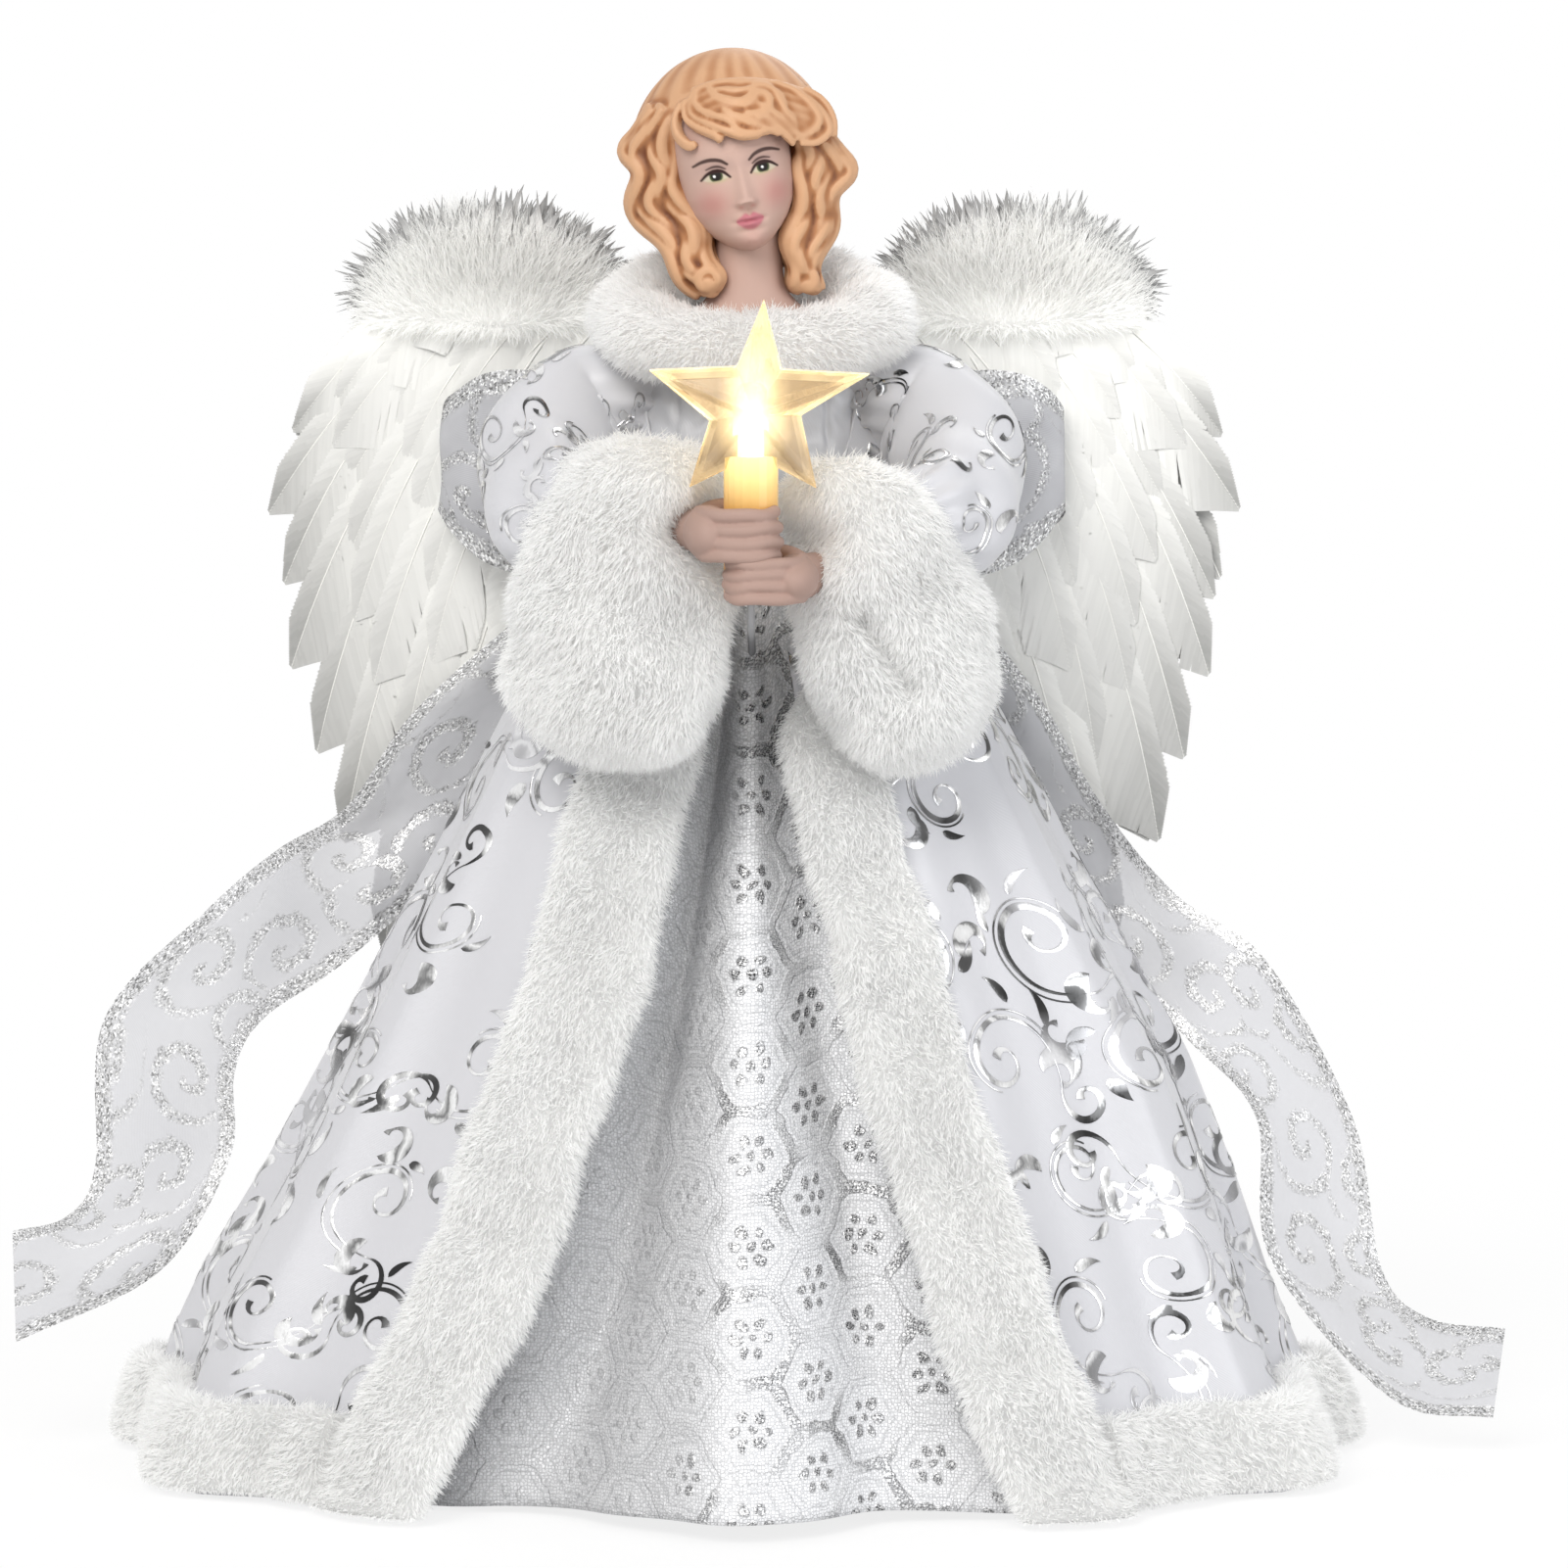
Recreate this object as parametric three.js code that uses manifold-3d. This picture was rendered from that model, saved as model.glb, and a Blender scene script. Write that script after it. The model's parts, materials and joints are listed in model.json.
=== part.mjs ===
// Angel tree topper: a moulded head and hands on a cone, dressed in a brocade gown and a fur-trimmed coat,
// with feather wings, a ribbon bow at the back and a lit star. Millimetres, +Z up. The figure faces -Y, so
// its left side is +X. The origin is on the ground, under the middle of the cone.

import * as THREE from "three";
import { mergeVertices } from "three/addons/utils/BufferGeometryUtils.js";
import Module from "manifold-3d";

const wasm = await Module();
wasm.setup();

// Clearances and cloth
const seatGap = 0.3; // between pieces that rest on each other
const runningGap = 0.4; // between pieces that slide or turn on each other
const groundGap = 0.6; // cloth and fur end this far above the cone's rim
const clothThickness = 1;

// Cone that goes over the tree's leader
const coneBaseRadius = 46;
const coneTopRadius = 14;
const coneHeight = 185;
const coneWall = 1.8;

// Torso on top of the cone, sizes from its axis
const torsoHeight = 51;
const waistRise = 9;
const waistHalfWidth = 18;
const waistHalfDepth = 14.5;
const chestRise = 32;
const chestHalfWidth = 25;
const chestHalfDepth = 16.5;
const shoulderHalfWidth = 24;
const shoulderHalfDepth = 12;

// Neck, head and moulded hair
const neckRadius = 6.7;
const neckLength = 33;
const dowelRadius = 3;
const dowelDepthInTorso = 22;
const dowelDepthInNeck = 16;
const shoulderPlateHeight = 13;
const headLean = -3; // the head leans to the figure's right
const faceHalfWidth = 12.5;
const faceHalfDepth = 13.5;
const faceHalfHeight = 16;
const faceForward = 9;
const hairHalfWidth = 23;
const hairHalfDepth = 21;
const hairHalfHeight = 23;
const hairSideBump = 9;
const curlRadius = 5;
const headTopRise = 68.7; // top of the hair above the torso's top

// Hands, stacked on the candle, and the arm wires
const candleForward = 70; // the candle's axis stands this far in front of the body's axis
const fistHalfWidth = 10.5;
const fistHalfDepth = 10;
const upperFistHalfHeight = 5.6;
const lowerFistHalfHeight = 5;
const fistShift = 2.7; // each fist sits this far to its own side of the candle
const wristRadius = 4.4;
const wristReach = 24;
const wristBack = 14;
const armWireRadius = 1.2;
const armWireSeat = 6;

// Sleeves and cuffs
const sleeveWall = 1;
const cuffWall = 6;

// Gown
const gownTopRise = 4;
const gownHemHalfWidth = 110;
const gownHemHalfDepth = 77;
const gownFrontDepth = 93;
const gownFoldCount = 12;
const gownFoldDepth = 3;
const gownFrontShare = 0.8; // how much of the coat's opening the full front of the gown fills
const bodiceTopDrop = 1.5;
const bodiceEase = 0.6; // the bodice's room over the torso
const waistBandHeight = 5;

// Coat
const coatTopDrop = 2.3;
const coatTopEase = 0.6; // the coat's room over the bodice at its top
const coatWaistRise = 10.7; // the coat's waist above the torso's base
const coatWaistHalfWidth = 36;
const coatWaistHalfDepth = 26;
const coatHemHalfWidth = 123;
const coatHemHalfDepth = 86.5;
const coatFoldCount = 11;
const coatFoldDepth = 3.2;
const coatPlainEdge = 14; // degrees beside each front edge that hang without folds
const openingDrop = 11.3; // the front opening is narrowest this far below the gown's top
const rightEdgeDegrees = { hem: 37, waist: 20, top: 62 };
const leftEdgeDegrees = { hem: 28, waist: 10, top: 60 };

// Fur trims and collar
const trimWidth = 20;
const trimOverhang = 4;
const trimThickness = 8.5;
const trimTopDrop = 10; // the front trims end this far below the narrowest place
const hemTrimHeight = 14;
const hemTrimThickness = 7.2;
const collarHalfWidth = 25;
const collarHalfDepth = 19;
const collarForward = 6;
const collarRadius = 10;
const collarHalfHeight = 8.5;
const collarSlope = 6;
const collarRise = 10.7; // middle of the collar above the torso's top

// Wings and their bracket
const wingRoom = 12; // from the back of the coat's waist to the boards' middle
const wingPinOffset = 16;
const wingPinRadius = 1.5;
const knuckleRadius = 3.2;
const knuckleDrop = 27.3; // the knuckles' lower end, below the torso's top
const knuckleHeight = 24;
const bracketBar = 4.5;
const bracketStemHalfWidth = 4;
const bracketStemHeight = 14;
const bracketSeat = 4;
const boardThickness = 1.4;
const featherThickness = 1.1;
const featherGap = 0.3;
const featherCount = 11;
const featherNotch = 0.14; // share of a feather's length cut between two tips
const rowReach = [1, 0.74, 0.5];
const backRowReach = 0.92;
const marabouHalfHeight = 13;
const marabouHalfDepth = 11;

// Ribbon
const ribbonThickness = 0.8;
const knotHalfWidth = 7;
const knotHalfHeight = 7;
const knotHalfDepth = 3.2;
const knotRise = 9; // the knot's middle above the coat's waist
const loopReach = 64;
const loopHalfWidth = 21;

// Candle, bulb and star
const candleDrop = 42.1; // the candle's lower end, below the torso's top
const candleHeight = 28.4;
const candleRadius = 5.6;
const candleBoreRadius = 4;
const bulbSeat = 8;
const bulbRadius = 3;
const bulbHeight = 15;
const starRadius = 25.5;
const starNotchRadius = 10.5;
const starHalfEdge = 2;
const starHalfMiddle = 7.5;
const starSocketRadius = 5;
const starSocketHeight = 9;

// Lead from the bulb to the battery case
const leadRadius = 0.8;

// Battery case, in its own frame: Y points out of the cone's back, Z up its slope
const caseHeight = 38; // height of the case's middle on the cone
const cellRadius = 5.25;
const cellLength = 44.5;
const cellNubRadius = 1.9;
const cellNubHeight = 1;
const caseWall = 1.2;
const contactThickness = 0.6;
const contactHalfDepth = 3.7;
const doorThickness = 1.8;
const doorLip = 1;
const switchBay = 8;
const switchWidth = 5;
const switchTravel = 4.4;
const switchProud = 0.8;

// Values that follow from the sizes above
const tau = 2 * Math.PI;
const torsoBase = coneHeight + seatGap;
const torsoTop = torsoBase + torsoHeight;
const gownTop = torsoBase + gownTopRise;
const figureHeight = torsoTop + headTopRise;
const coatTop = torsoTop - coatTopDrop;
const coatWaistHeight = torsoBase + coatWaistRise;
const openingHeight = gownTop - openingDrop;
const trimTop = openingHeight - trimTopDrop;
const knotHeight = coatWaistHeight + knotRise;
const wingPlane = coatWaistHalfDepth + wingRoom;
const collarHeight = torsoTop + collarRise;
const candleBottom = torsoTop - candleDrop;
const candleTop = candleBottom + candleHeight;
const starHeight = candleTop + seatGap + starNotchRadius;
const lowerFistHeight = candleBottom + lowerFistHalfHeight;
const upperFistHeight = lowerFistHeight + lowerFistHalfHeight + runningGap + upperFistHalfHeight;
const knuckleBase = torsoTop - knuckleDrop;
const knuckleTop = knuckleBase + knuckleHeight;

const point = (x, y, z) => new THREE.Vector3(x, y, z);
const radians = THREE.MathUtils.degToRad;
const lerp = THREE.MathUtils.lerp;
const clamp = THREE.MathUtils.clamp;

// Reads a list of [height, size, size] stations at one height.
function sizesAt(stations, z) {
  const ordered = [...stations].sort((one, two) => one[0] - two[0]);
  const inside = clamp(z, ordered[0][0], ordered.at(-1)[0]);
  const upper = Math.max(1, ordered.findIndex((station) => station[0] >= inside));
  const [low, high] = [ordered[upper - 1], ordered[upper]];
  const share = (inside - low[0]) / (high[0] - low[0]);
  return low.slice(1).map((size, i) => lerp(size, high[i + 1], share));
}

// A geometry from points and triangles, with its faces turned out.
function bodyOf(points, triangles) {
  const cross = new THREE.Vector3();
  let volume = 0;
  for (const [a, b, c] of triangles) {
    volume += points[a].dot(cross.crossVectors(points[b], points[c]));
  }
  const faces = volume < 0 ? triangles.map(([a, b, c]) => [a, c, b]) : triangles;
  return new THREE.BufferGeometry().setFromPoints(points).setIndex(faces.flat());
}

// Triangles of the bands between rings of equal point counts.
function bands(rings, closed) {
  const count = rings[0].length;
  const triangles = [];
  const last = closed ? rings.length : rings.length - 1;
  for (let r = 0; r < last; r++) {
    const next = (r + 1) % rings.length;
    for (let i = 0; i < count; i++) {
      const j = (i + 1) % count;
      const [a, b, c, d] = [r * count + i, r * count + j, next * count + i, next * count + j];
      triangles.push([a, b, d], [a, d, c]);
    }
  }
  return triangles;
}

// A closed body through rings, with a fan over each end.
function loft(rings) {
  const count = rings[0].length;
  const points = rings.flat();
  const triangles = bands(rings, false);
  const middle = (ring) => ring.reduce((sum, p) => sum.add(p), point(0, 0, 0)).divideScalar(count);
  const first = points.push(middle(rings[0])) - 1;
  const last = points.push(middle(rings.at(-1))) - 1;
  const lastRing = (rings.length - 1) * count;
  for (let i = 0; i < count; i++) {
    const j = (i + 1) % count;
    triangles.push([first, j, i], [last, lastRing + i, lastRing + j]);
  }
  return bodyOf(points, triangles);
}

// A pipe with a wall, open at both ends.
function pipe(outer, inner) {
  const rings = [...outer, ...[...inner].reverse()];
  return bodyOf(rings.flat(), bands(rings, true));
}

// A sheet between two grids of points, outer and inner, closed along its edges.
function panel(outer, inner) {
  const rings = outer.map((row, r) => [...row, ...[...inner[r]].reverse()]);
  const count = rings[0].length;
  const triangles = bands(rings, false);
  const lastRing = (rings.length - 1) * count;
  for (let j = 0; j < outer[0].length - 1; j++) {
    const [o, p, i, k] = [j, j + 1, count - 1 - j, count - 2 - j];
    triangles.push([o, i, k], [o, k, p]);
    triangles.push([lastRing + o, lastRing + k, lastRing + i], [lastRing + o, lastRing + p, lastRing + k]);
  }
  return bodyOf(rings.flat(), triangles);
}

const steps = (count, make) => Array.from({ length: count + 1 }, (_, i) => make(i / count));

function ellipseRing(z, halfWidth, halfDepth, sides, x = 0, y = 0) {
  return Array.from({ length: sides }, (_, i) => {
    const angle = (i / sides) * tau;
    return point(x + halfWidth * Math.sin(angle), y - halfDepth * Math.cos(angle), z);
  });
}

// Rings along a curve through stations { at, wide, tall }: wide is level, tall is square to it and to the
// curve, or plumb where the rings are upright.
function ringsAlong(stations, count, sides, grow = 0, upright = false) {
  const curve = new THREE.CatmullRomCurve3(stations.map((station) => station.at));
  const up = point(0, 0, 1);
  return steps(count, (share) => {
    const place = share * (stations.length - 1);
    const k = Math.min(Math.floor(place), stations.length - 2);
    const wide = lerp(stations[k].wide, stations[k + 1].wide, place - k) + grow;
    const tall = lerp(stations[k].tall, stations[k + 1].tall, place - k) + grow;
    const ahead = curve.getTangent(share);
    const across = point(0, 0, 0).crossVectors(ahead, up).normalize();
    const over = upright ? up : point(0, 0, 0).crossVectors(across, ahead);
    const centre = curve.getPoint(share);
    return Array.from({ length: sides }, (_, i) => {
      const angle = (i / sides) * tau;
      const ring = centre.clone().addScaledVector(across, wide * Math.cos(angle));
      return ring.addScaledVector(over, tall * Math.sin(angle));
    });
  });
}

// A round rod along points, grown and lengthened by the gap when it serves as a cutter.
function rod(points, radius, sides, count, grow = 0) {
  const ends = points.map((p) => p.clone());
  const stretch = (end, next) => end.addScaledVector(end.clone().sub(next).normalize(), grow);
  stretch(ends[0], points[1]);
  stretch(ends.at(-1), points.at(-2));
  const curve = new THREE.CatmullRomCurve3(ends);
  const section = new THREE.Shape();
  section.absarc(0, 0, radius + grow, 0, tau);
  const settings = { extrudePath: curve, steps: count, curveSegments: sides / 2, bevelEnabled: false };
  return new THREE.ExtrudeGeometry(section, settings);
}

function turned(profile, sides = 20) {
  const outline = profile.map(([radius, z]) => new THREE.Vector2(radius, z));
  return new THREE.LatheGeometry(outline, sides).rotateX(Math.PI / 2);
}

function boxFromTo(low, high) {
  const box = new THREE.BoxGeometry(high[0] - low[0], high[1] - low[1], high[2] - low[2]);
  return box.translate((low[0] + high[0]) / 2, (low[1] + high[1]) / 2, (low[2] + high[2]) / 2);
}

function ellipsoid(centre, halfWidth, halfDepth, halfHeight, around = 14) {
  const ball = new THREE.SphereGeometry(1, around, Math.ceil(around / 2)).rotateX(Math.PI / 2);
  return ball.scale(halfWidth, halfDepth, halfHeight).translate(centre.x, centre.y, centre.z);
}

// A flat plate in the XZ plane, from an outline of [x, z] points.
function plate(outline, front, thickness) {
  const shape = new THREE.Shape(outline.map(([x, z]) => new THREE.Vector2(x, z)));
  const flat = new THREE.ExtrudeGeometry(shape, { depth: thickness, bevelEnabled: false });
  return flat.rotateX(Math.PI / 2).translate(0, front + thickness, 0);
}

function asManifold(geometry) {
  const bare = geometry.clone();
  bare.deleteAttribute("normal");
  bare.deleteAttribute("uv");
  const merged = mergeVertices(bare, 1e-4);
  const vertProperties = new Float32Array(merged.attributes.position.array);
  const triVerts = new Uint32Array(merged.index.array);
  return new wasm.Manifold(new wasm.Mesh({ numProp: 3, vertProperties, triVerts }));
}

function asGeometry(manifold) {
  const mesh = manifold.getMesh();
  const geometry = new THREE.BufferGeometry();
  geometry.setAttribute("position", new THREE.BufferAttribute(mesh.vertProperties, 3));
  return geometry.setIndex(new THREE.BufferAttribute(mesh.triVerts, 1));
}

function joined(...geometries) {
  return asGeometry(geometries.map(asManifold).reduce((sum, piece) => sum.add(piece)));
}

function cut(geometry, ...cutters) {
  return asGeometry(cutters.map(asManifold).reduce((left, cutter) => left.subtract(cutter), asManifold(geometry)));
}

// Finishes
const finish = (color, roughness, metalness = 0, more = {}) =>
  new THREE.MeshStandardMaterial({ color, roughness, metalness, ...more });
const paintedResin = finish(0xc9a393, 0.5);
const whiteFur = finish(0xeeeeec, 1);
const printedSatin = finish(0xdcdde4, 0.4, 0.1);
const brocade = finish(0xc9cad0, 0.45, 0.2);
const organza = finish(0xdedee2, 0.6, 0.1, { transparent: true, opacity: 0.6 });
const feather = finish(0xf2f2ec, 0.8);
const card = finish(0xd8d2c4, 0.9);
const foam = finish(0xe4e0d6, 0.95);
const wood = finish(0xc8a877, 0.7);
const steel = finish(0x9a9ca0, 0.35, 1);
const brass = finish(0xc8a850, 0.35, 1);
const whitePlastic = finish(0xeceae4, 0.5);
const blackPlastic = finish(0x202022, 0.5);
const clearPlastic = finish(0xf6efdc, 0.08, 0, { transparent: true, opacity: 0.5 });
const amberWax = finish(0xf0cf88, 0.4, 0, { emissive: 0xf0b040, emissiveIntensity: 0.4 });
const litBulb = finish(0xfff0c0, 0.2, 0, { emissive: 0xffd070, emissiveIntensity: 1 });
const cellJacket = finish(0x4c5a60, 0.4, 0.3);

const topper = new THREE.Group();

function add(name, geometry, material, parent = topper) {
  const mesh = new THREE.Mesh(geometry, material);
  mesh.name = name;
  parent.add(mesh);
  return mesh;
}

const sides = [
  { name: "right", sign: -1, edge: rightEdgeDegrees },
  { name: "left", sign: 1, edge: leftEdgeDegrees },
];

// Cone
const coneSlope = (coneBaseRadius - coneTopRadius) / coneHeight;
const coneRadius = (z) => coneBaseRadius - coneSlope * z;

function coneCore() {
  return turned(
    [
      [coneBaseRadius - coneWall, 0],
      [coneBaseRadius, 0],
      [coneTopRadius, coneHeight],
      [coneTopRadius - coneWall, coneHeight],
      [coneBaseRadius - coneWall, 0],
    ],
    32,
  );
}

// Torso
const torsoStations = [
  [torsoBase, coneTopRadius, coneTopRadius],
  [torsoBase + waistRise, waistHalfWidth, waistHalfDepth],
  [torsoBase + chestRise, chestHalfWidth, chestHalfDepth],
  [torsoTop, shoulderHalfWidth, shoulderHalfDepth],
];
const bodySides = 20;

// Ring round the torso at one height, a given distance off its surface.
function torsoRing(z, off) {
  const [halfWidth, halfDepth] = sizesAt(torsoStations, z);
  return ellipseRing(z, halfWidth + off, halfDepth + off, bodySides);
}

const torsoRings = (base, top, off) => {
  const between = torsoStations.map((station) => station[0]).filter((z) => z > base && z < top);
  return [base, ...between, top].map((z) => torsoRing(z, off));
};

// Arms: stations of the right and left sleeve, given for the figure's left and mirrored by sign
const sleeveStations = (sign) => [
  { at: point(sign * (shoulderHalfWidth - 1), 0, torsoTop - 8), wide: 9, tall: 9 },
  { at: point(sign * 41, -4, torsoTop - 10.5), wide: 14, tall: 14.5 },
  { at: point(sign * 51, -19, torsoTop - 21), wide: 15.5, tall: 17 },
  { at: point(sign * 48, -37, torsoTop - 28), wide: 13, tall: 15 },
  { at: point(sign * 38, -47, torsoTop - 29.5), wide: 10, tall: 13 },
];
const cuffStations = (sign) => [
  { at: point(sign * 41, -44.5, torsoTop - 30), wide: 16.4, tall: 19.4 },
  { at: point(sign * 29, -52, torsoTop - 39), wide: 15, tall: 28 },
  { at: point(sign * 17, -59, torsoTop - 48.5), wide: 12.5, tall: 33 },
];
const fistHeight = (sign) => (sign < 0 ? upperFistHeight : lowerFistHeight);
const wristEnd = (sign) => point(sign * wristReach, wristBack - candleForward, fistHeight(sign));

function wrist(sign, grow = 0) {
  const start = point(sign * fistShift, -candleForward + 2, fistHeight(sign));
  const stations = [
    { at: start, wide: wristRadius, tall: wristRadius },
    { at: start.clone().lerp(wristEnd(sign), 0.5), wide: wristRadius, tall: wristRadius },
    { at: wristEnd(sign), wide: wristRadius, tall: wristRadius },
  ];
  return loft(ringsAlong(stations, 4, 10, grow));
}

function armWire(sign, grow = 0) {
  const inTorso = point(sign * (shoulderHalfWidth - armWireSeat), 0, torsoTop - 8);
  const inWrist = wristEnd(sign).lerp(point(0, -candleForward, fistHeight(sign)), armWireSeat / wristReach);
  const bends = sleeveStations(sign).map((station) => station.at);
  return rod([inTorso, ...bends, wristEnd(sign), inWrist], armWireRadius, 6, 16, grow);
}

function candleRod(grow) {
  return turned([
    [0, candleBottom - candleHeight],
    [candleRadius + grow, candleBottom - candleHeight],
    [candleRadius + grow, candleTop],
    [0, candleTop],
  ]).translate(0, -candleForward, 0);
}

function hand(sign) {
  const halfHeight = sign < 0 ? upperFistHalfHeight : lowerFistHalfHeight;
  const middle = point(sign * fistShift, -candleForward, fistHeight(sign));
  const fist = ellipsoid(middle, fistHalfWidth, fistHalfDepth, halfHeight);
  const otherFist = ellipsoid(
    point(-sign * fistShift, -candleForward, fistHeight(-sign)),
    fistHalfWidth + seatGap,
    fistHalfDepth + seatGap,
    (sign < 0 ? lowerFistHalfHeight : upperFistHalfHeight) + seatGap,
  );
  return cut(joined(fist, wrist(sign)), candleRod(seatGap), armWire(sign, seatGap), otherFist);
}

// Bust: shoulder plate, neck, face and moulded hair in one casting
function curl(sign) {
  const root = point(headLean + sign * (hairHalfWidth - 4), -4, figureHeight - 33);
  const bend = point(headLean + sign * (hairHalfWidth - 5), -9, figureHeight - 43);
  const tip = point(headLean * 0.3 + sign * 11, -11.5, figureHeight - 52);
  return loft(
    ringsAlong(
      [
        { at: root, wide: curlRadius, tall: curlRadius },
        { at: bend, wide: curlRadius, tall: curlRadius },
        { at: tip, wide: curlRadius * 0.6, tall: curlRadius * 0.6 },
      ],
      5,
      8,
    ),
  );
}

function bustHead() {
  const hairMiddle = point(headLean, 1, figureHeight - hairHalfHeight);
  const faceMiddle = point(headLean, -faceForward, figureHeight - 28);
  const neck = loft([
    ellipseRing(torsoTop + seatGap, neckRadius, neckRadius, 20),
    ellipseRing(torsoTop + neckLength, neckRadius, neckRadius, 20, headLean),
  ]);
  const shoulderPlate = loft([
    ellipseRing(torsoTop + seatGap, shoulderHalfWidth, shoulderHalfDepth, bodySides),
    ellipseRing(torsoTop + shoulderPlateHeight / 2, shoulderHalfWidth * 0.8, shoulderHalfDepth * 0.9, bodySides),
    ellipseRing(torsoTop + shoulderPlateHeight, neckRadius, neckRadius, bodySides),
  ]);
  const bumps = sides.map(({ sign }) =>
    ellipsoid(
      point(headLean + sign * (hairHalfWidth - hairSideBump / 2), -4, figureHeight - 29),
      hairSideBump,
      hairSideBump,
      hairSideBump,
      10,
    ),
  );
  const bust = joined(
    neck,
    shoulderPlate,
    ellipsoid(hairMiddle, hairHalfWidth, hairHalfDepth, hairHalfHeight),
    ellipsoid(faceMiddle, faceHalfWidth, faceHalfDepth, faceHalfHeight),
    ...bumps,
    curl(-1),
    curl(1),
  );
  return cut(bust, collar(seatGap), dowel(seatGap));
}

function dowel(grow = 0) {
  return turned(
    [
      [0, torsoTop - dowelDepthInTorso - grow],
      [dowelRadius + grow, torsoTop - dowelDepthInTorso - grow],
      [dowelRadius + grow, torsoTop + dowelDepthInNeck + grow],
      [0, torsoTop + dowelDepthInNeck + grow],
    ],
    16,
  );
}

// Collar: a fur ring that slopes down to the front
function collar(grow = 0) {
  const rings = Array.from({ length: 24 }, (_, i) => {
    const turn = (i / 24) * tau;
    const out = point(Math.sin(turn), -Math.cos(turn), 0);
    const middle = point(
      collarHalfWidth * out.x,
      collarHalfDepth * out.y - collarForward,
      collarHeight + collarSlope * out.y,
    );
    return Array.from({ length: 8 }, (_, j) => {
      const angle = (j / 8) * tau;
      const ring = middle.clone().addScaledVector(out, (collarRadius + grow) * Math.cos(angle));
      return ring.add(point(0, 0, (collarHalfHeight + grow) * Math.sin(angle)));
    });
  });
  return bodyOf(rings.flat(), bands(rings, true));
}

// Coat: half sizes by height, and the angle of each front edge from straight ahead
const coatHem = groundGap;
const coatTopSizes = sizesAt(torsoStations, coatTop).map(
  (size) => size + bodiceEase + clothThickness + coatTopEase + clothThickness / 2,
);
const coatStations = [
  [coatTop, ...coatTopSizes],
  [coatWaistHeight, coatWaistHalfWidth, coatWaistHalfDepth],
  [coatHem, coatHemHalfWidth, coatHemHalfDepth],
];

function edgeAngle(edge, z) {
  const stations = [
    [coatHem, edge.hem],
    [openingHeight, edge.waist],
    [coatTop, edge.top],
  ];
  return radians(sizesAt(stations, z)[0]);
}

const smooth = (share) => THREE.MathUtils.smoothstep(share, 0, 1);

function coatPoint(side, angle, z, off) {
  const [halfWidth, halfDepth] = sizesAt(coatStations, z);
  const fall = clamp((coatWaistHeight - z) / (coatWaistHeight - coatHem), 0, 1);
  const plain = smooth((angle - edgeAngle(side.edge, z)) / radians(coatPlainEdge));
  const out = off + coatFoldDepth * fall * plain * Math.cos(coatFoldCount * angle);
  return point(side.sign * (halfWidth + out) * Math.sin(angle), -(halfDepth + out) * Math.cos(angle), z);
}

const seamAngle = (z) => Math.PI - seatGap / 2 / sizesAt(coatStations, z)[0];

const coatColumns = 32;
const coatWaistShare = (coatWaistHeight - coatHem) / (coatTop - coatHem);

function coatPanel(side) {
  const heights = [0, 0.12, 0.42, coatWaistShare, 1].map((share) => lerp(coatHem, coatTop, share));
  const layer = (off) =>
    heights.map((z) =>
      steps(coatColumns, (share) => coatPoint(side, lerp(edgeAngle(side.edge, z), seamAngle(z), share), z, off)),
    );
  const sheet = panel(layer(clothThickness / 2), layer(-clothThickness / 2));
  return cut(sheet, armWire(side.sign, seatGap), bracketStem(seatGap));
}

// The coat's upper part as one full body, which the sleeves end on.
function coatCore(grow) {
  const off = clothThickness / 2 + grow;
  const ring = (z, size) => ellipseRing(z, size[0] + off, size[1] + off, bodySides);
  const heights = [coatWaistHeight, coatTop, torsoTop + 2 * collarHalfHeight];
  return loft(heights.map((z) => ring(z, sizesAt(coatStations, z))));
}

// Round-cornered section: points [across, out] with out from 0 to the thickness
function trimSection(width, thickness, count = 8) {
  return Array.from({ length: count }, (_, i) => {
    const angle = (i / count) * tau;
    const round = (value) => Math.sign(value) * Math.sqrt(Math.abs(value));
    return [(width / 2) * round(Math.cos(angle)), (thickness / 2) * (1 + round(Math.sin(angle)))];
  });
}

const trimSeat = clothThickness / 2 + seatGap;
const foldSlack = 0.5; // the hem's fur bridges the hollows of the coat's folds

// Length of the coat's outline for each radian, where a trim lies on it.
function arcAt(angle, z) {
  const [halfWidth, halfDepth] = sizesAt(coatStations, z);
  return Math.hypot(halfWidth * Math.cos(angle), halfDepth * Math.sin(angle));
}

function frontTrim(side) {
  const section = trimSection(trimWidth, trimThickness);
  const inset = trimWidth / 2 - trimOverhang;
  const rings = steps(8, (share) => {
    const z = lerp(coatHem, trimTop, share);
    const edge = edgeAngle(side.edge, z);
    return section.map(([across, out]) =>
      coatPoint(side, edge + (across + inset) / arcAt(edge, z), z, trimSeat + out),
    );
  });
  return loft(rings);
}

function hemTrim(side) {
  const section = trimSection(hemTrimHeight, hemTrimThickness);
  const edge = edgeAngle(side.edge, coatHem);
  const start = edge + (trimWidth - trimOverhang + seatGap) / arcAt(edge, coatHem);
  const rings = steps(coatColumns - 6, (share) =>
    section.map(([across, out]) => {
      const z = coatHem + hemTrimHeight / 2 + across;
      return coatPoint(side, lerp(start, seamAngle(z), share), z, trimSeat + foldSlack + out);
    }),
  );
  return loft(rings);
}

// Gown: full in front, where the coat is open, and gathered under the coat elsewhere
const [gownTopHalfWidth, gownTopHalfDepth] = sizesAt(torsoStations, gownTop).map(
  (size) => size + seatGap + clothThickness / 2,
);

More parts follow.
